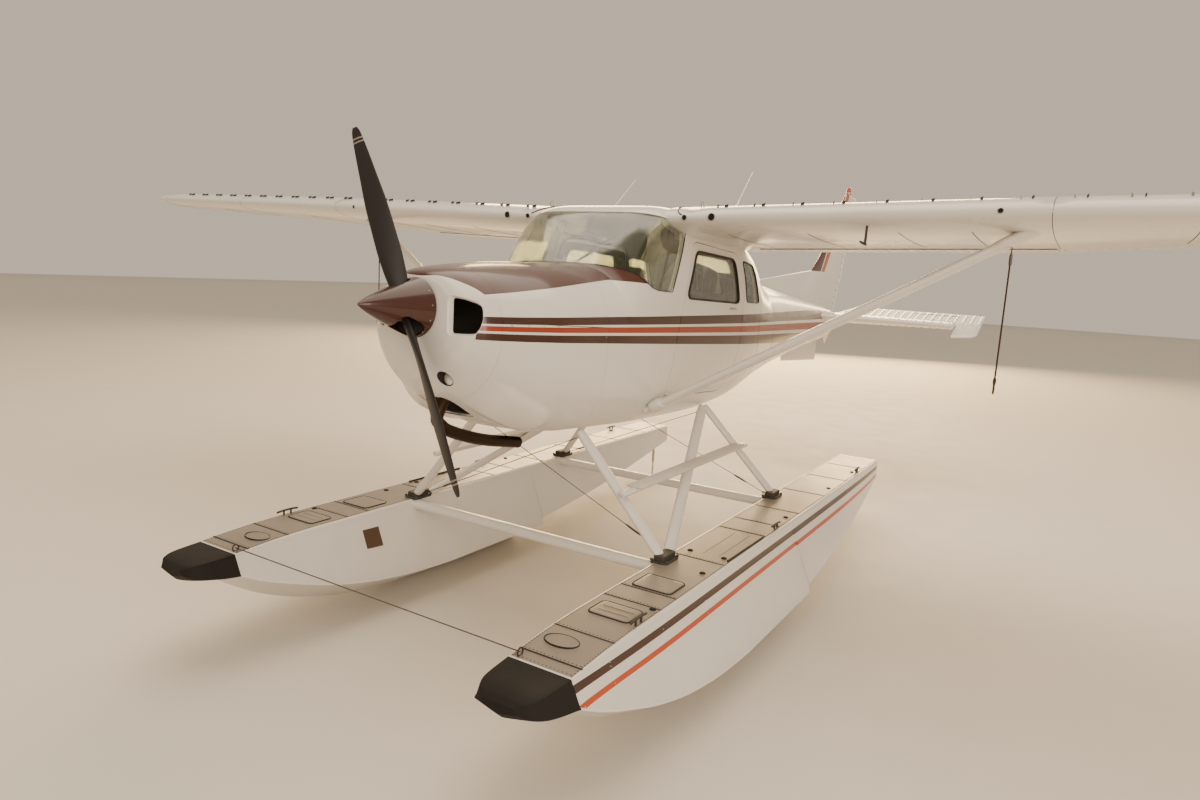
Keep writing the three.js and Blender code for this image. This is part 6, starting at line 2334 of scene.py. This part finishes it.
@dataclass
class Floats(SubAssembly):
    """The twin floats with their deck fittings, rubber bows and water rudders."""

    axes: Place = Place.FLOATS
    slot: str = "white_gear"
    step_y: float = 1.23
    stern_y: float = 3.676
    deck: float = 0.62
    fore: Table = Table(
        [  # station, deck, half the deck's width, half the chine's, chine, keel
            (-1.3600, 0.592, 0.157, 0.214, 0.482, 0.408), (-1.23, 0.603, 0.159, 0.236, 0.420, 0.320),
            (-1.05, 0.614, 0.161, 0.262, 0.355, 0.222), (-0.80, 0.620, 0.163, 0.300, 0.282, 0.126),
            (-0.50, 0.620, 0.165, 0.330, 0.226, 0.050), (-0.15, 0.620, 0.165, 0.345, 0.190, 0.010),
            (0.20, 0.620, 0.165, 0.350, 0.175, 0.000), (1.23, 0.620, 0.167, 0.350, 0.172, 0.000),
        ]
    )
    aft: Table = Table(
        [
            (1.23, 0.620, 0.167, 0.346, 0.228, 0.065), (2.0, 0.620, 0.168, 0.318, 0.290, 0.158),
            (2.8, 0.620, 0.170, 0.262, 0.372, 0.262), (3.35, 0.620, 0.171, 0.214, 0.436, 0.336),
            (3.676, 0.620, 0.171, 0.186, 0.478, 0.384),
        ]
    )
    bow: Table = Table(
        [
            (-1.62, 0.556, 0.078, 0.096, 0.534, 0.512), (-1.59, 0.574, 0.118, 0.142, 0.516, 0.482),
            (-1.52, 0.584, 0.144, 0.178, 0.500, 0.452), (-1.3603, 0.592, 0.157, 0.214, 0.482, 0.408),
        ]
    )
    rest_turn: float = math.radians(24)
    plate_top: float = 0.0016
    caps: tuple = (
        (0.125, -0.618), (0.112, -0.028), (0.112, 0.264), (-0.10, 0.264),
        (0.12, 1.30), (0.12, 2.3), (0.12, 3.0),
    )

    def hull_rows(self, table: Table, stations: np.ndarray) -> np.ndarray:
        """Rings of hull: keel, a hollow bottom, a chine lip, a flat side, a rounded shoulder and the deck.

        Args:
            table: the hull's lines.
            stations: where the rings stand.

        Returns:
            Rows, columns, xyz about the float's own middle.
        """
        y = stations[:, None]
        deck, half, chine_half, chine, keel = table(y)
        shoulder = 0.06 * (deck - chine)
        s = np.linspace(0, 1, 10)[None]
        bottom = spread(chine_half * s, y + 0 * s, keel + (chine - keel) * s**1.12)
        s = np.linspace(0, 1, 4)[None, 1:]
        lip = spread(chine_half - 0.005 * s, y + 0 * s, chine + shoulder * s)
        s = np.linspace(0, 1, 9)[None, 1:]
        low, high = chine_half - 0.005, half + 0.7 * shoulder
        side = spread(low + (high - low) * s, y + 0 * s, chine + shoulder + (deck - chine - 2 * shoulder) * s)
        a = np.linspace(0, np.pi / 2, 6)[None, 1:]
        edge = spread(half + 0.7 * shoulder * np.cos(a), y + 0 * a, deck - shoulder + shoulder * np.sin(a))
        s = np.linspace(1, 0, 7)[None, 1:]
        top = spread(half * s, y + 0 * s, deck + 0 * s)
        right = np.concatenate([bottom, lip, side, edge, top], 1)
        return np.concatenate([right, right[:, -2:0:-1] * [-1, 1, 1]], 1)

    def side_point(self, station: np.ndarray, share: np.ndarray, out: float = 0.0) -> np.ndarray:
        """A point on the hull's flat side, by its share of the way from the chine to the deck.

        Args:
            station: distance behind the firewall.
            share: nought at the chine, one at the deck.
            out: how far it stands out from the side.

        Returns:
            Points in the floats' axes, for a float in the middle.
        """
        values = np.where(station < self.step_y, self.fore(station), self.aft(station))
        deck, half, chine_half, chine, _ = values
        shoulder = 0.06 * (deck - chine)
        low, high = chine_half - 0.005, half + 0.7 * shoulder
        return spread(low + (high - low) * share + out, station + 0 * share,
                      chine + shoulder + (deck - chine - 2 * shoulder) * share)

    def hull(self, name: str, side: float) -> None:
        """The stepped hull, one closed body ahead of the step and one behind it.

        Args:
            name: the float's name.
            side: 1 on the left, -1 on the right.
        """
        shape = Shape()
        middle = np.array([side * FLOAT_X, 0, 0])
        stations = np.concatenate([np.linspace(-1.3600, -0.6, 24), np.linspace(-0.57, 1.23, 30)])
        ahead = self.hull_rows(self.fore, stations)
        behind = self.hull_rows(self.aft, np.linspace(1.229, 3.676, 50))
        shape.grid(ahead + middle).grid(behind + middle)
        self.add(shape, f"{name}_hull", HULL_PAINT, replaces=[name])

    def deck_plates(self, name: str, side: float) -> None:
        """The deck plating in twelve lengths, with their seams and rivets; its grey-brown is partly painted
        reflection.

        Args:
            name: the piece's name.
            side: 1 on the left, -1 on the right.
        """
        cuts = [-1.352, -1.28, -1.027, -0.60, -0.435, 0.162, 0.81, 1.07, 1.45, 2.05, 2.65, 3.20, 3.66]
        plates, rivets, seams = Shape(), Shape(), Shape()
        x0, up, proud = side * FLOAT_X, (0, 0, 1), self.plate_top
        for first, last in zip(cuts[:-1], cuts[1:]):
            lines = self.fore if first < 1.2 else self.aft
            y = np.linspace(first + 0.004, last - 0.004, 12)[:, None]
            deck, half = lines(y)[:2]
            top = spread(x0 + (half - 0.004) * np.linspace(-1, 1, 9), y, deck + proud)
            plates.slab(top, top - [0, 0, 0.003])
            edge = np.arange(first + 0.012, last - 0.006, 0.02)
            deck, half = lines(edge)[:2]
            for lean in (-1, 1):
                rivets.domes(spread(x0 + lean * (half - 0.008), edge, deck + proud), up, 0.0042, 0.0022)
            z = lines(first + 0.016)[0] + proud
            rivets.domes(spread(x0 + np.linspace(-0.14, 0.14, 15), first + 0.016, z), up, 0.0038, 0.002)
            if first > -1.3:
                line = [(x0 - 0.158, first, z), (x0 + 0.158, first, z)]
                seams.tube(line, 0.0055, 8, 0.35, wide=(0, 1, 0))
        for dx in (-0.02, 0.075):
            rivets.domes(spread(x0 + dx, np.arange(0.28, 0.74, 0.024), self.deck + proud), up, 0.0038, 0.002)
        self.add(seams, f"deck_seams_{name}", SEAL, slot="bow_rubber")
        self.add(plates, f"deck_plates_{name}", DECK_PAINT)
        self.add(rivets, f"deck_rivets_{name}", IRON, slot="bare_plate")

    def hatches(self, name: str, side: float) -> None:
        """The hatch lids with their seals and bars, the oval bow hatch and the pump caps.

        Args:
            name: the piece's name.
            side: 1 on the left, -1 on the right.
        """
        x0, top = side * FLOAT_X, self.deck + self.plate_top
        lids, rims, caps = Shape(), Shape(), Shape()
        for middle, half in ((-0.755, 0.08), (-0.32, 0.095)):
            lid = oblong((x0, middle), (0.113, half), 0.03, 56)
            lids.plate(inset(lid, 0.005), at_level(top - 0.002), at_level(top + 0.005), 0.003)
            rims.tube(at_level(top)(closed(lid)), 0.0055, 8, 0.5)
        for y in (-0.776, -0.726):
            bar = [(x0 - 0.08, y, top + 0.005), (x0 + 0.08, y, top + 0.005)]
            lids.tube(bar, 0.007, 10, 0.45, wide=(0, 1, 0))
        self.add(lids, f"deck_hatches_{name}", DECK_PAINT)
        a = np.linspace(0, 2 * np.pi, 41)
        oval = spread(x0 - side * 0.04 + 0.085 * np.cos(a), -1.14 + 0.055 * np.sin(a), 0.611)
        rims.tube(oval, 0.0045, 8, 0.5)
        self.add(rims, f"hatch_seals_{name}", SEAL, slot="bow_rubber")
        cap = [(0, 0.006), (0.012, 0.006), (0.016, 0.003), (0.018, -0.002), (0, -0.002)]
        for dx, y in self.caps:
            z = (self.fore if y < 1.2 else self.aft)(y)[0] + self.plate_top
            caps.turned(cap, (x0 + side * dx, y, z), sides=20)
        self.add(caps, f"pump_caps_{name}", BLACK_RUBBER_AND_SHADE)
        self.cleats(name, side)

    def cleats(self, name: str, side: float) -> None:
        """Three T cleats along the outer edge, a low rail between the struts and a ring at the bow.

        Args:
            name: the piece's name.
            side: 1 on the left, -1 on the right.
        """
        x0, top = side * FLOAT_X, self.deck + self.plate_top
        metal, x = Shape(), x0 + side * 0.148
        for y in (-0.80, 1.02, 3.05):
            for dy in (-0.025, 0.025):
                metal.tube([(x, y + dy, top - 0.004), (x, y + dy, top + 0.024)], 0.006, 10)
            bar = ((-0.07, 0.026), (-0.03, 0.03), (0.03, 0.03), (0.07, 0.026))
            metal.tube([(x, y + dy, top + dz) for dy, dz in bar], 0.0065, 10)
        rail = [(x0 + side * 0.150, 0.23, top + 0.006), (x0 + side * 0.156, 0.77, top + 0.006)]
        metal.tube(rail, 0.006, 10)
        a = np.linspace(0, 2 * np.pi, 25)
        metal.tube(spread(x0 - side * 0.12, -1.33 + 0.018 * np.cos(a), 0.612 + 0.018 * np.sin(a)), 0.004, 8)
        self.add(metal, f"deck_cleats_{name}", IRON)

    def hull_trim(self, name: str, side: float) -> None:
        """The chine and keel strips, and the rivet lines of the frames and the longerons.

        Args:
            name: the piece's name.
            side: 1 on the left, -1 on the right.
        """
        x0 = side * FLOAT_X
        rivets, station = Shape(), np.arange(-1.33, 3.65, 0.03)
        lines = [(station, share, 0.0036, 0.0018) for share in (0.04, 0.95)]
        lines += [(at, np.linspace(0.06, 0.94, 12), 0.0028, 0.0012) for at in np.arange(-1.1, 3.6, 0.46)]
        for at, share, radius, height in lines:
            for lean in (1.0, -1.0):
                points = self.side_point(at, share) * [lean, 1, 1] + [x0, 0, 0]
                rivets.domes(points, (lean, 0, 0.45), radius, height)
        self.add(rivets, f"hull_rivets_{name}", WHITE)
        strips = Shape()
        for table, first, last in ((self.fore, -1.355, 1.225), (self.aft, 1.235, 3.67)):
            y = np.linspace(first, last, 50)
            chine_half, chine, keel = table(y)[2:]
            strips.tube(spread(x0 + 0 * y, y, keel + 0.0055), 0.010, 8, 0.5, wide=(1, 0, 0))
            for lean in (1.0, -1.0):
                strips.tube(spread(x0 + lean * (chine_half - 0.003), y, chine + 0.002), 0.0055, 8, 1.0)
        self.add(strips, f"keel_and_chine_strips_{name}", WHITE)

    def bow_line(self) -> None:
        """The taut line between the two bows, and the blank plate on the right float's inner side."""
        ends = FLOAT_X - 0.12
        x = np.linspace(-ends, ends, 3)
        self.add(Shape().tube(spread(x, -1.33 + 0 * x, 0.612 + 0 * x), 0.0032, 8), "bow_line", RIGGING)
        y, share = np.linspace(-0.526, -0.40, 8)[:, None], np.linspace(0.48, 0.80, 5)[None]
        outer, inner = [self.side_point(y, share, out) - [FLOAT_X, 0, 0] for out in (0.003, -0.002)]
        shape = Shape().slab(outer, inner)
        self.add(shape, "blank_maker_plate", PLATE)

    def bow_cap(self, name: str, side: float) -> None:
        """The moulded rubber bumper on the bow.

        Args:
            name: the piece's name.
            side: 1 on the left, -1 on the right.
        """
        y = np.concatenate([-1.62 + 0.1 * np.linspace(0, 1, 16) ** 1.6, np.linspace(-1.50, -1.3605, 10)])
        rows = self.hull_rows(self.bow, y) + [side * FLOAT_X, 0, 0]
        word = name.split("_")[1]
        self.add(Shape().grid(rows), f"bow_rubber_{word}", BLACK_RUBBER_AND_SHADE, replaces=[f"bumper_{word}"])

    def water_rudder(self, name: str, side: float) -> None:
        """A water rudder: a ribbed plate on its post, turned to where it rests.

        Args:
            name: the piece's name.
            side: 1 on the left, -1 on the right.
        """
        word = name.split("_")[-1]
        body = f"{word}_water_rudder"
        corners = [(-0.008, 0.06), (0.06, 0.03), (0.20, 0.06), (0.215, 0.24), (0.12, 0.33), (-0.008, 0.33)]
        outline = rounded(corners, 0.03, 60)
        plate = lambda x: lambda flat, depth=0.0: spread(x - depth + 0 * flat[:, 0], flat[:, 0], flat[:, 1])
        shape = Shape().plate(outline, plate(-0.0048), plate(0.0048), 0.003)
        for z in (0.13, 0.20, 0.27):
            shape.tube([(0, 0.02, z), (0, 0.18, z)], 0.0075, 10, 1.0)
        shape.tube([(0, 0, 0.20), (0, 0, 0.58)], 0.012, 20, ends=False)
        shape.turned([(0.0, 0.515), (0.02, 0.515), (0.02, 0.545), (0.0, 0.545)], sides=24)
        shape.tube([(-0.06, 0, 0.566), (0.06, 0, 0.566)], 0.010, 10, 0.4, wide=(0, 1, 0))
        data = shape.mesh(f"{name}_plate")
        c, s = math.cos(self.rest_turn), math.sin(self.rest_turn)
        aft = FIREWALL_Y + self.stern_y + 0.055
        data.transform(Matrix(((c, -s, 0, side * FLOAT_X), (s, c, 0, aft), (0, 0, 1, 0), (0, 0, 0, 1))))
        self.add(data, f"{name}_plate", BARE, body, "bare_plate", replaces=[name])

    def build(self) -> None:
        """Make both floats."""
        self.bow_line()
        for name, side in both_sides("float"):
            word = name.split("_")[1]
            self.hull(name, side)
            self.deck_plates(word, side)
            self.hatches(word, side)
            self.hull_trim(word, side)
            self.bow_cap(name, side)
        for name, side in both_sides("water_rudder"):
            self.water_rudder(name, side)


# Undercarriage


@dataclass
class Undercarriage(SubAssembly):
    """The struts between floats and fuselage, their fittings, the spreaders, the steps and the rigging."""

    axes: Place = Place.FLOATS
    slot: str = "white_gear"
    float_front: tuple = (0.944, 0.022, 0.662)
    float_rear: tuple = (0.944, 1.757, 0.662)
    body_front: tuple = (0.385, -0.041, 1.262)
    body_rear: tuple = (0.432, 1.559, 1.236)
    half_chord: float = 0.042
    thin: float = 0.524

    def strut(self, name: str, low: np.ndarray, high: np.ndarray, side: float) -> None:
        """One streamlined strut, drawn in to its end fittings.

        Args:
            name: the piece's name.
            low: its lower end, on the left side.
            high: its upper end.
            side: 1 on the left, -1 on the right.
        """
        t = np.linspace(0, 1, 40)[:, None]
        path = (low + (high - low) * t) * [side, 1, 1]
        ends = 1 - 0.18 * (1 - ease(t[:, 0], 0, 0.05)) - 0.18 * ease(t[:, 0], 0.95, 1)
        shape = Shape().tube(path, self.half_chord * ends, 24, self.thin, wide=(0, 1, 0))
        self.add(shape, f"{name}_tube", WHITE, replaces=[name])

    def fitting(self, name: str, at: Sequence[float], side: float) -> None:
        """A deck fitting: a bolted foot plate with a rounded block on it that the strut stands in.

        Args:
            name: the piece's name.
            at: where the strut meets the deck, on the left side.
            side: 1 on the left, -1 on the right.
        """
        x, y, _ = at
        x *= side
        shape = Shape().plate(oblong((x, y), (0.055, 0.085), 0.03), at_level(0.618), at_level(0.632), 0.005)
        shape.plate(oblong((x, y), (0.036, 0.075), 0.02), at_level(0.619), at_level(0.664), 0.008)
        bolt = [(0, 0), (0.009, 0), (0.009, 0.008), (0.006, 0.010), (0, 0.010)]
        for dx in (-0.046, 0.046):
            for dy in (-0.07, 0.07):
                shape.turned(bolt, (x + dx, y + dy, 0.631), sides=12)
        self.add(shape, name, IRON)

    def wire(self, name: str, start: Sequence[float], stop: Sequence[float], radius: float = 0.0026) -> None:
        """A rigging wire with a turnbuckle near its lower end and an eye at each end.

        Args:
            name: the piece's name.
            start: its upper end.
            stop: its lower end.
            radius: half its thickness.
        """
        a, b = np.array(start, float), np.array(stop, float)
        shape = Shape().tube([a, a + (b - a) * 0.5, b], radius, 8)
        run = (b - a) / np.linalg.norm(b - a)
        barrel = [(0, -0.055), (0.004, -0.055), (0.0065, -0.03), (0.0065, 0.03), (0.004, 0.055), (0, 0.055)]
        shape.turned(barrel, b - run * 0.20, run, 12)
        eye = [(0.004, -0.004), (0.009, -0.004), (0.009, 0.004), (0.004, 0.004)]
        for end in (a, b):
            shape.turned(eye, end, np.cross(run, [0, 0, 1]), 16, loop=True)
        self.add(shape, name, RIGGING)

    def spreader(self, name: str, station: float) -> None:
        """A streamlined bar between the floats, with a cuff at each hull.

        Args:
            name: the piece's name.
            station: distance behind the firewall.
        """
        t = np.linspace(-1, 1, 61)
        path = spread(0.905 * t, station, 0.585)
        half = 0.048 * (1 - 0.12 * ease(np.abs(t), 0.955, 0.985))
        shape = Shape().tube(path, half, 24, 0.646, wide=(0, 1, 0))
        for side in (1.0, -1.0):
            cuff = spread(side * np.linspace(0.845, 0.915, 8), station, 0.585)
            shape.tube(cuff, np.array([0.046, 0.051] + [0.052] * 6), 24, 0.62, wide=(0, 1, 0))
        self.add(shape, f"{name}_tube", WHITE, replaces=[name])

    def step(self, name: str, side: float) -> None:
        """The boarding step bar between the struts, with a grit tread along its top.

        Args:
            name: the piece's name.
            side: 1 on the left, -1 on the right.
        """
        t = np.linspace(0, 1, 30)[:, None]
        low, high = np.array([0.704, -0.07, 0.972]), np.array([0.704, 1.74, 0.976])
        path = (low + (high - low) * t) * [side, 1, 1]
        shape = Shape().tube(path, 0.026, 20, 0.654, wide=(1, 0, 0))
        self.add(shape, f"{name}_bar", WHITE, replaces=[name])
        tread = (low + (high - low) * np.linspace(0.07, 0.93, 20)[:, None] + [0, 0, 0.020]) * [side, 1, 1]
        self.add(Shape().tube(tread, 0.052, 16, 0.16, wide=(1, 0, 0)), f"{name}_tread", GRIT)

    def build(self) -> None:
        """Make the struts, fittings, spreaders, steps and wires."""
        low_front, low_rear = np.array(self.float_front), np.array(self.float_rear)
        high_front, high_rear = np.array(self.body_front), np.array(self.body_rear)
        struts = (
            ("front", low_front, (0, -0.024, -0.032), high_front, (0, 0, 0.01)),
            ("rear", low_rear, (0, 0.018, -0.032), high_rear, (0, 0.024, 0.01)),
            ("diagonal", low_front, (0, 0.040, -0.052), high_rear, (0, -0.030, 0.01)),
        )
        wires = (("front", low_front, high_front, 1), ("rear", low_rear, high_rear, -1))
        for word, side in (("left", 1.0), ("right", -1.0)):
            for kind, low, low_shift, high, high_shift in struts:
                self.strut(f"float_strut_{kind}_{word}", low + low_shift, high + high_shift, side)
            self.fitting(f"deck_fitting_front_{word}", low_front, side)
            self.fitting(f"deck_fitting_rear_{word}", low_rear, side)
            self.step(f"boarding_step_{word}", side)
            for end, low, high, aft in wires:
                start = (high + [0, aft * 0.03, -0.01]) * [side, 1, 1]
                stop = (low + [-0.05, aft * 0.05, -0.01]) * [-side, 1, 1]
                self.wire(f"{end}_cross_wire_{word}", start, stop)
        for name, station in (("spreader_front", -0.03), ("spreader_rear", 1.69)):
            self.spreader(name, station)


# Cabin fittings


@dataclass
class CabinFittings(SubAssembly):
    """The panel, yokes, braces and padded seats that show through the glass."""

    floor: float = -0.535
    seats: tuple = (
        ("seat_front_left", 0.88, 0.04, 0.44, (0.24,)), ("seat_front_right", 0.88, -0.44, -0.04, (-0.24,)),
        ("seat_rear", 1.64, -0.42, 0.42, (-0.22, 0.22)),
    )
    gauges: tuple = (
        (0.20, (-0.33, -0.23, 0.12, 0.22, 0.32)), (0.09, (0.12, 0.22, 0.32, -0.28)), (-0.02, (0.17, 0.27)),
    )
    head_half: float = 0.125

    def dials(self) -> None:
        """Round gauges in three rows and the padded glareshield over them."""
        shape, faces = Shape(), Shape()
        aim = np.array([0, 1.0, 0.09])
        for z, xs in self.gauges:
            for x in xs:
                y = np.interp(z, [-0.15, 0.15], [0.421, 0.441])
                ring = [(0.033, 0.0), (0.0375, -0.001), (0.0405, 0.004), (0.0375, 0.007), (0.033, 0.004)]
                shape.turned(ring, (x, y, z), aim, 24, loop=True)
                faces.turned([(0, 0.002), (0.033, 0.002), (0.033, -0.002), (0, -0.002)], (x, y, z), aim, 24)
        self.add(shape, "gauge_rims", PLASTIC)
        self.add(faces, "gauge_faces", LAMP_CLEAR, slot="cabin_trim")
        across = np.linspace(-1, 1, 40)[:, None]
        station = np.linspace(0.10, 0.49, 14)[None]
        level = np.minimum(SECTIONS(station)[1] - 0.045, 0.292) - 0.03 * np.abs(across) ** 3
        half = skin_x(station, level, 0.045)
        top = spread(half * across, station, level - 0.03 * ease(station, 0.44, 0.49))
        self.add(Shape().slab(top, top - [0, 0, 0.022]), "glareshield", PLASTIC)

    def yokes(self) -> None:
        """Two control wheels on their shafts."""
        shape = Shape()
        for x in (0.22, -0.22):
            shape.tube([(x, 0.40, 0.0), (x, 0.60, -0.005)], 0.011, 12)
            a = np.linspace(-0.25 * np.pi, 1.25 * np.pi, 28) + np.pi
            rim = spread(x + 0.12 * np.cos(a), 0.605 + 0 * a, 0.01 - 0.085 * np.sin(a))
            shape.tube(rim, 0.012, 12)
            shape.tube([(x - 0.10, 0.605, 0.0), (x + 0.10, 0.605, 0.0)], 0.016, 12, 0.6, wide=(0, 0, 1))
        self.add(shape, "control_wheels", PLASTIC)

    def braces(self) -> None:
        """The V of tubes behind the windshield, from the panel's middle up to the spar."""
        shape = Shape()
        for side in (1.0, -1.0):
            shape.tube([(side * 0.05, 0.22, 0.30), (side * 0.27, 0.62, 0.62)], 0.009, 14)
            shape.tube([(side * 0.44, 0.60, 0.20), (side * 0.43, 0.74, 0.60)], 0.012, 14)
        self.add(shape, "windshield_braces", PLASTIC)

    def pad(
        self, name: str, low: Sequence[float], high: Sequence[float], lean: float, anchor: Sequence[float]
    ) -> bpy.types.Object:
        """A stuffed pad: a squared oval whose faces are crowned and whose sides draw in at the corners.

        The surface is the sphere's two angles put through signed powers, which squares it: the cosine of
        the second to the 0.45 across and along, and its sine to the 0.8 in thickness.

        Args:
            name: the piece's name.
            low: its lowest corner before it leans.
            high: its highest corner.
            lean: how far it leans aft, in degrees.
            anchor: the (station, level) that it leans about.

        Returns:
            The pad.
        """
        low, high = np.array(low, float), np.array(high, float)
        size, middle = (high - low) / 2, (high + low) / 2
        thin = int(np.argmin(size))
        wide = [k for k in range(3) if k != thin]
        v = np.linspace(-np.pi / 2, np.pi / 2, 34)[1:-1, None]
        u = np.linspace(0, 2 * np.pi, 64, endpoint=False)[None]
        power = lambda value, n: np.sign(value) * np.abs(value) ** n
        points = np.zeros((32, 64, 3))
        points[..., wide[0]] = size[wide[0]] * power(np.cos(u), 0.4) * np.cos(v) ** 0.45
        points[..., wide[1]] = size[wide[1]] * power(np.sin(u), 0.4) * np.cos(v) ** 0.45
        points[..., thin] = size[thin] * power(np.sin(v), 0.8) + 0 * u
        tuck = 1 - 0.05 * (np.abs(np.cos(u) * np.sin(u)) * 2) ** 6 * np.cos(v) ** 4
        points[..., wide[0]] *= tuck
        points[..., wide[1]] *= tuck
        points += middle
        a = math.radians(lean)
        y, z = points[..., 1] - anchor[0], points[..., 2] - anchor[1]
        points[..., 1] = anchor[0] + y * math.cos(a) + z * math.sin(a)
        points[..., 2] = anchor[1] - y * math.sin(a) + z * math.cos(a)
        made = self.add(Shape().grid(points), name, CLOTH)
        return made

    def seat(self, name: str, station: float, x0: float, x1: float, heads: tuple) -> None:
        """One seat: a cushion on a frame, a leaning back and its head rests.

        Args:
            name: the CAD node that it replaces.
            station: the station of its front edge.
            x0: its right side.
            x1: its left side.
            heads: the middle of each head rest.
        """
        f, y = self.floor, station
        low, high = (x0, y - 0.01, f + 0.075), (x1, y + 0.44, f + 0.215)
        cushion = self.pad(f"{name}_cushion", low, high, -3, (y, f + 0.13))
        hinge = (y + 0.44, f + 0.18)
        self.pad(f"{name}_back", (x0, y + 0.395, f + 0.16), (x1, y + 0.51, f + 0.775), 14, hinge)
        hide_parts(name)
        for number, middle in enumerate(heads):
            low = (middle - self.head_half, y + 0.405, f + 0.775)
            high = (middle + self.head_half, y + 0.495, f + 0.96)
            self.pad(f"{name}_head_rest_{number + 1}", low, high, 14, hinge)
        frame_shape = Shape()
        for x in (x0 + 0.05, x1 - 0.05):
            legs = [(y + 0.03, f + 0.015), (y + 0.05, f + 0.10), (y + 0.38, f + 0.10), (y + 0.40, f + 0.015)]
            frame_shape.tube([(x, *leg) for leg in legs], 0.011, 10)
        self.add(frame_shape, f"{name}_frame", IRON)

    def build(self) -> None:
        """Make what shows through the glass."""
        self.dials()
        self.yokes()
        self.braces()
        for row in self.seats:
            self.seat(*row)


def dress_solids(nodes: dict[str, bpy.types.Object]) -> None:
    """Give the solids that stay in view their own finishes.

    Args:
        nodes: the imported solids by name.
    """
    for name, finish in (("engine_block", IRON), ("cabin_floor", PLASTIC), ("instrument_panel", PLASTIC)):
        node = nodes[name]
        node.data.materials.clear()
        node.data.materials.append(finish.material())


def main() -> None:
    """Build every sub-assembly in order and say what was made."""
    logging.basicConfig(level=logging.INFO, format="%(name)s: %(message)s")
    Studio().build()
    HandlingRopes().build()
    dress_solids(frame["nodes"])
    assemblies = [NoseAndCowl, Cabin, TailCone, Wings, Tail, Propeller, Floats, Undercarriage, CabinFittings]
    for kind in assemblies:
        group = kind()
        group.build()
        group.report()
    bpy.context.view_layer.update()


if __name__ == "__main__":
    main()
